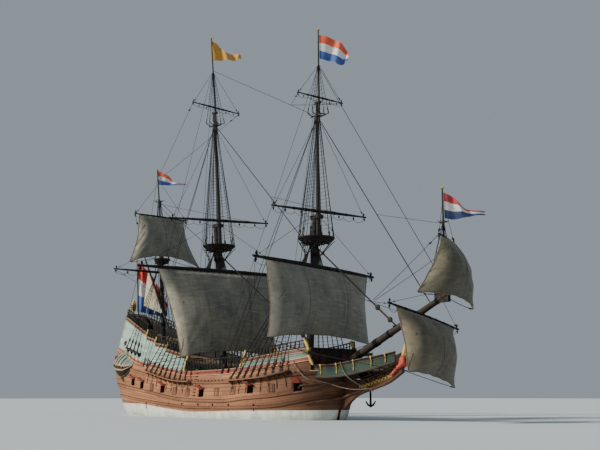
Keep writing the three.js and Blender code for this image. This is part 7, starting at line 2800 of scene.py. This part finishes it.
    def anchor_rope(self):
        low, high = (Vector(c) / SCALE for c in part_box("anchor"))
        middle = (low + high) / 2
        path = [(middle.x, middle.y, high.z - 0.3), (middle.x + 0.3, middle.y - 0.5, high.z - 1.4),
                (22.2, 1.6, 4.0), (21.4, 0.9, 4.6)]
        finish_piece(ropes("anchor_cable", [(self.smooth(path), 0.06)], "hemp", 6), "ship", "tarred_rope")


class SHIP_OT_kept_nodes(bpy.types.Operator):
    """Finishes for the frame's parts whose own shape shows"""

    bl_idname = "ship.kept_nodes"
    bl_label = "Kept parts"

    def execute(self, context):
        finishes = {"oiled_wood": "timber", "black_iron": "iron", "spar_wood": "block", "mast_wood": "timber",
                    "tarred_rope": "rope", "green_paint": "leaf_green", "dark_green_paint": "dark_green",
                    "red_paint": "red", "gilding": "gold", "canvas": "netting"}
        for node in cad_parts.values():
            for slot in node.material_slots:
                name = slot.material.name.split(".")[0] if slot.material else ""
                if name in finishes:
                    slot.material = paints()[finishes[name]]
            if not node.material_slots:
                node.data.materials.append(paints()["timber"])
        return {"FINISHED"}


# The panel, and the order of the steps
STEPS = ("stage", "hull", "upper_works", "masts", "tops", "yards", "sails", "flags", "standing_rigging",
         "running_rigging", "gunports", "stern", "beakhead", "deck_fittings", "kept_nodes")


class SHIP_PT_panel(bpy.types.Panel):
    """The ship's settings and the steps that build it"""

    bl_idname = "SHIP_PT_panel"
    bl_label = "Tall ship"
    bl_space_type = "VIEW_3D"
    bl_region_type = "UI"
    bl_category = "Tall ship"

    def draw(self, context):
        for step in STEPS:
            self.layout.operator("ship." + step)
        for settings in (context.scene.ship_hull, context.scene.ship_rig, context.scene.ship_sails,
                         context.scene.ship_stage):
            for name in settings.bl_rna.properties.keys():
                if name not in ("rna_type", "name"):
                    self.layout.prop(settings, name)


CLASSES = (ShipHullSettings, ShipRigSettings, ShipSailSettings, ShipStageSettings, SHIP_OT_stage,
           SHIP_OT_hull,
           SHIP_OT_upper_works, SHIP_OT_masts, SHIP_OT_tops, SHIP_OT_yards, SHIP_OT_sails, SHIP_OT_flags,
           SHIP_OT_standing_rigging, SHIP_OT_running_rigging, SHIP_OT_gunports, SHIP_OT_stern,
           SHIP_OT_beakhead, SHIP_OT_deck_fittings, SHIP_OT_kept_nodes, SHIP_PT_panel)


def register():
    for made in CLASSES:
        bpy.utils.register_class(made)
    scene = bpy.types.Scene
    scene.ship_hull = PointerProperty(type=ShipHullSettings)
    scene.ship_rig = PointerProperty(type=ShipRigSettings)
    scene.ship_sails = PointerProperty(type=ShipSailSettings)
    scene.ship_stage = PointerProperty(type=ShipStageSettings)


def unregister():
    for name in ("ship_hull", "ship_rig", "ship_sails", "ship_stage"):
        delattr(bpy.types.Scene, name)
    for made in reversed(CLASSES):
        bpy.utils.unregister_class(made)


def main():
    register()
    for step in STEPS:
        getattr(bpy.ops.ship, step)()


if __name__ == "__main__":
    main()
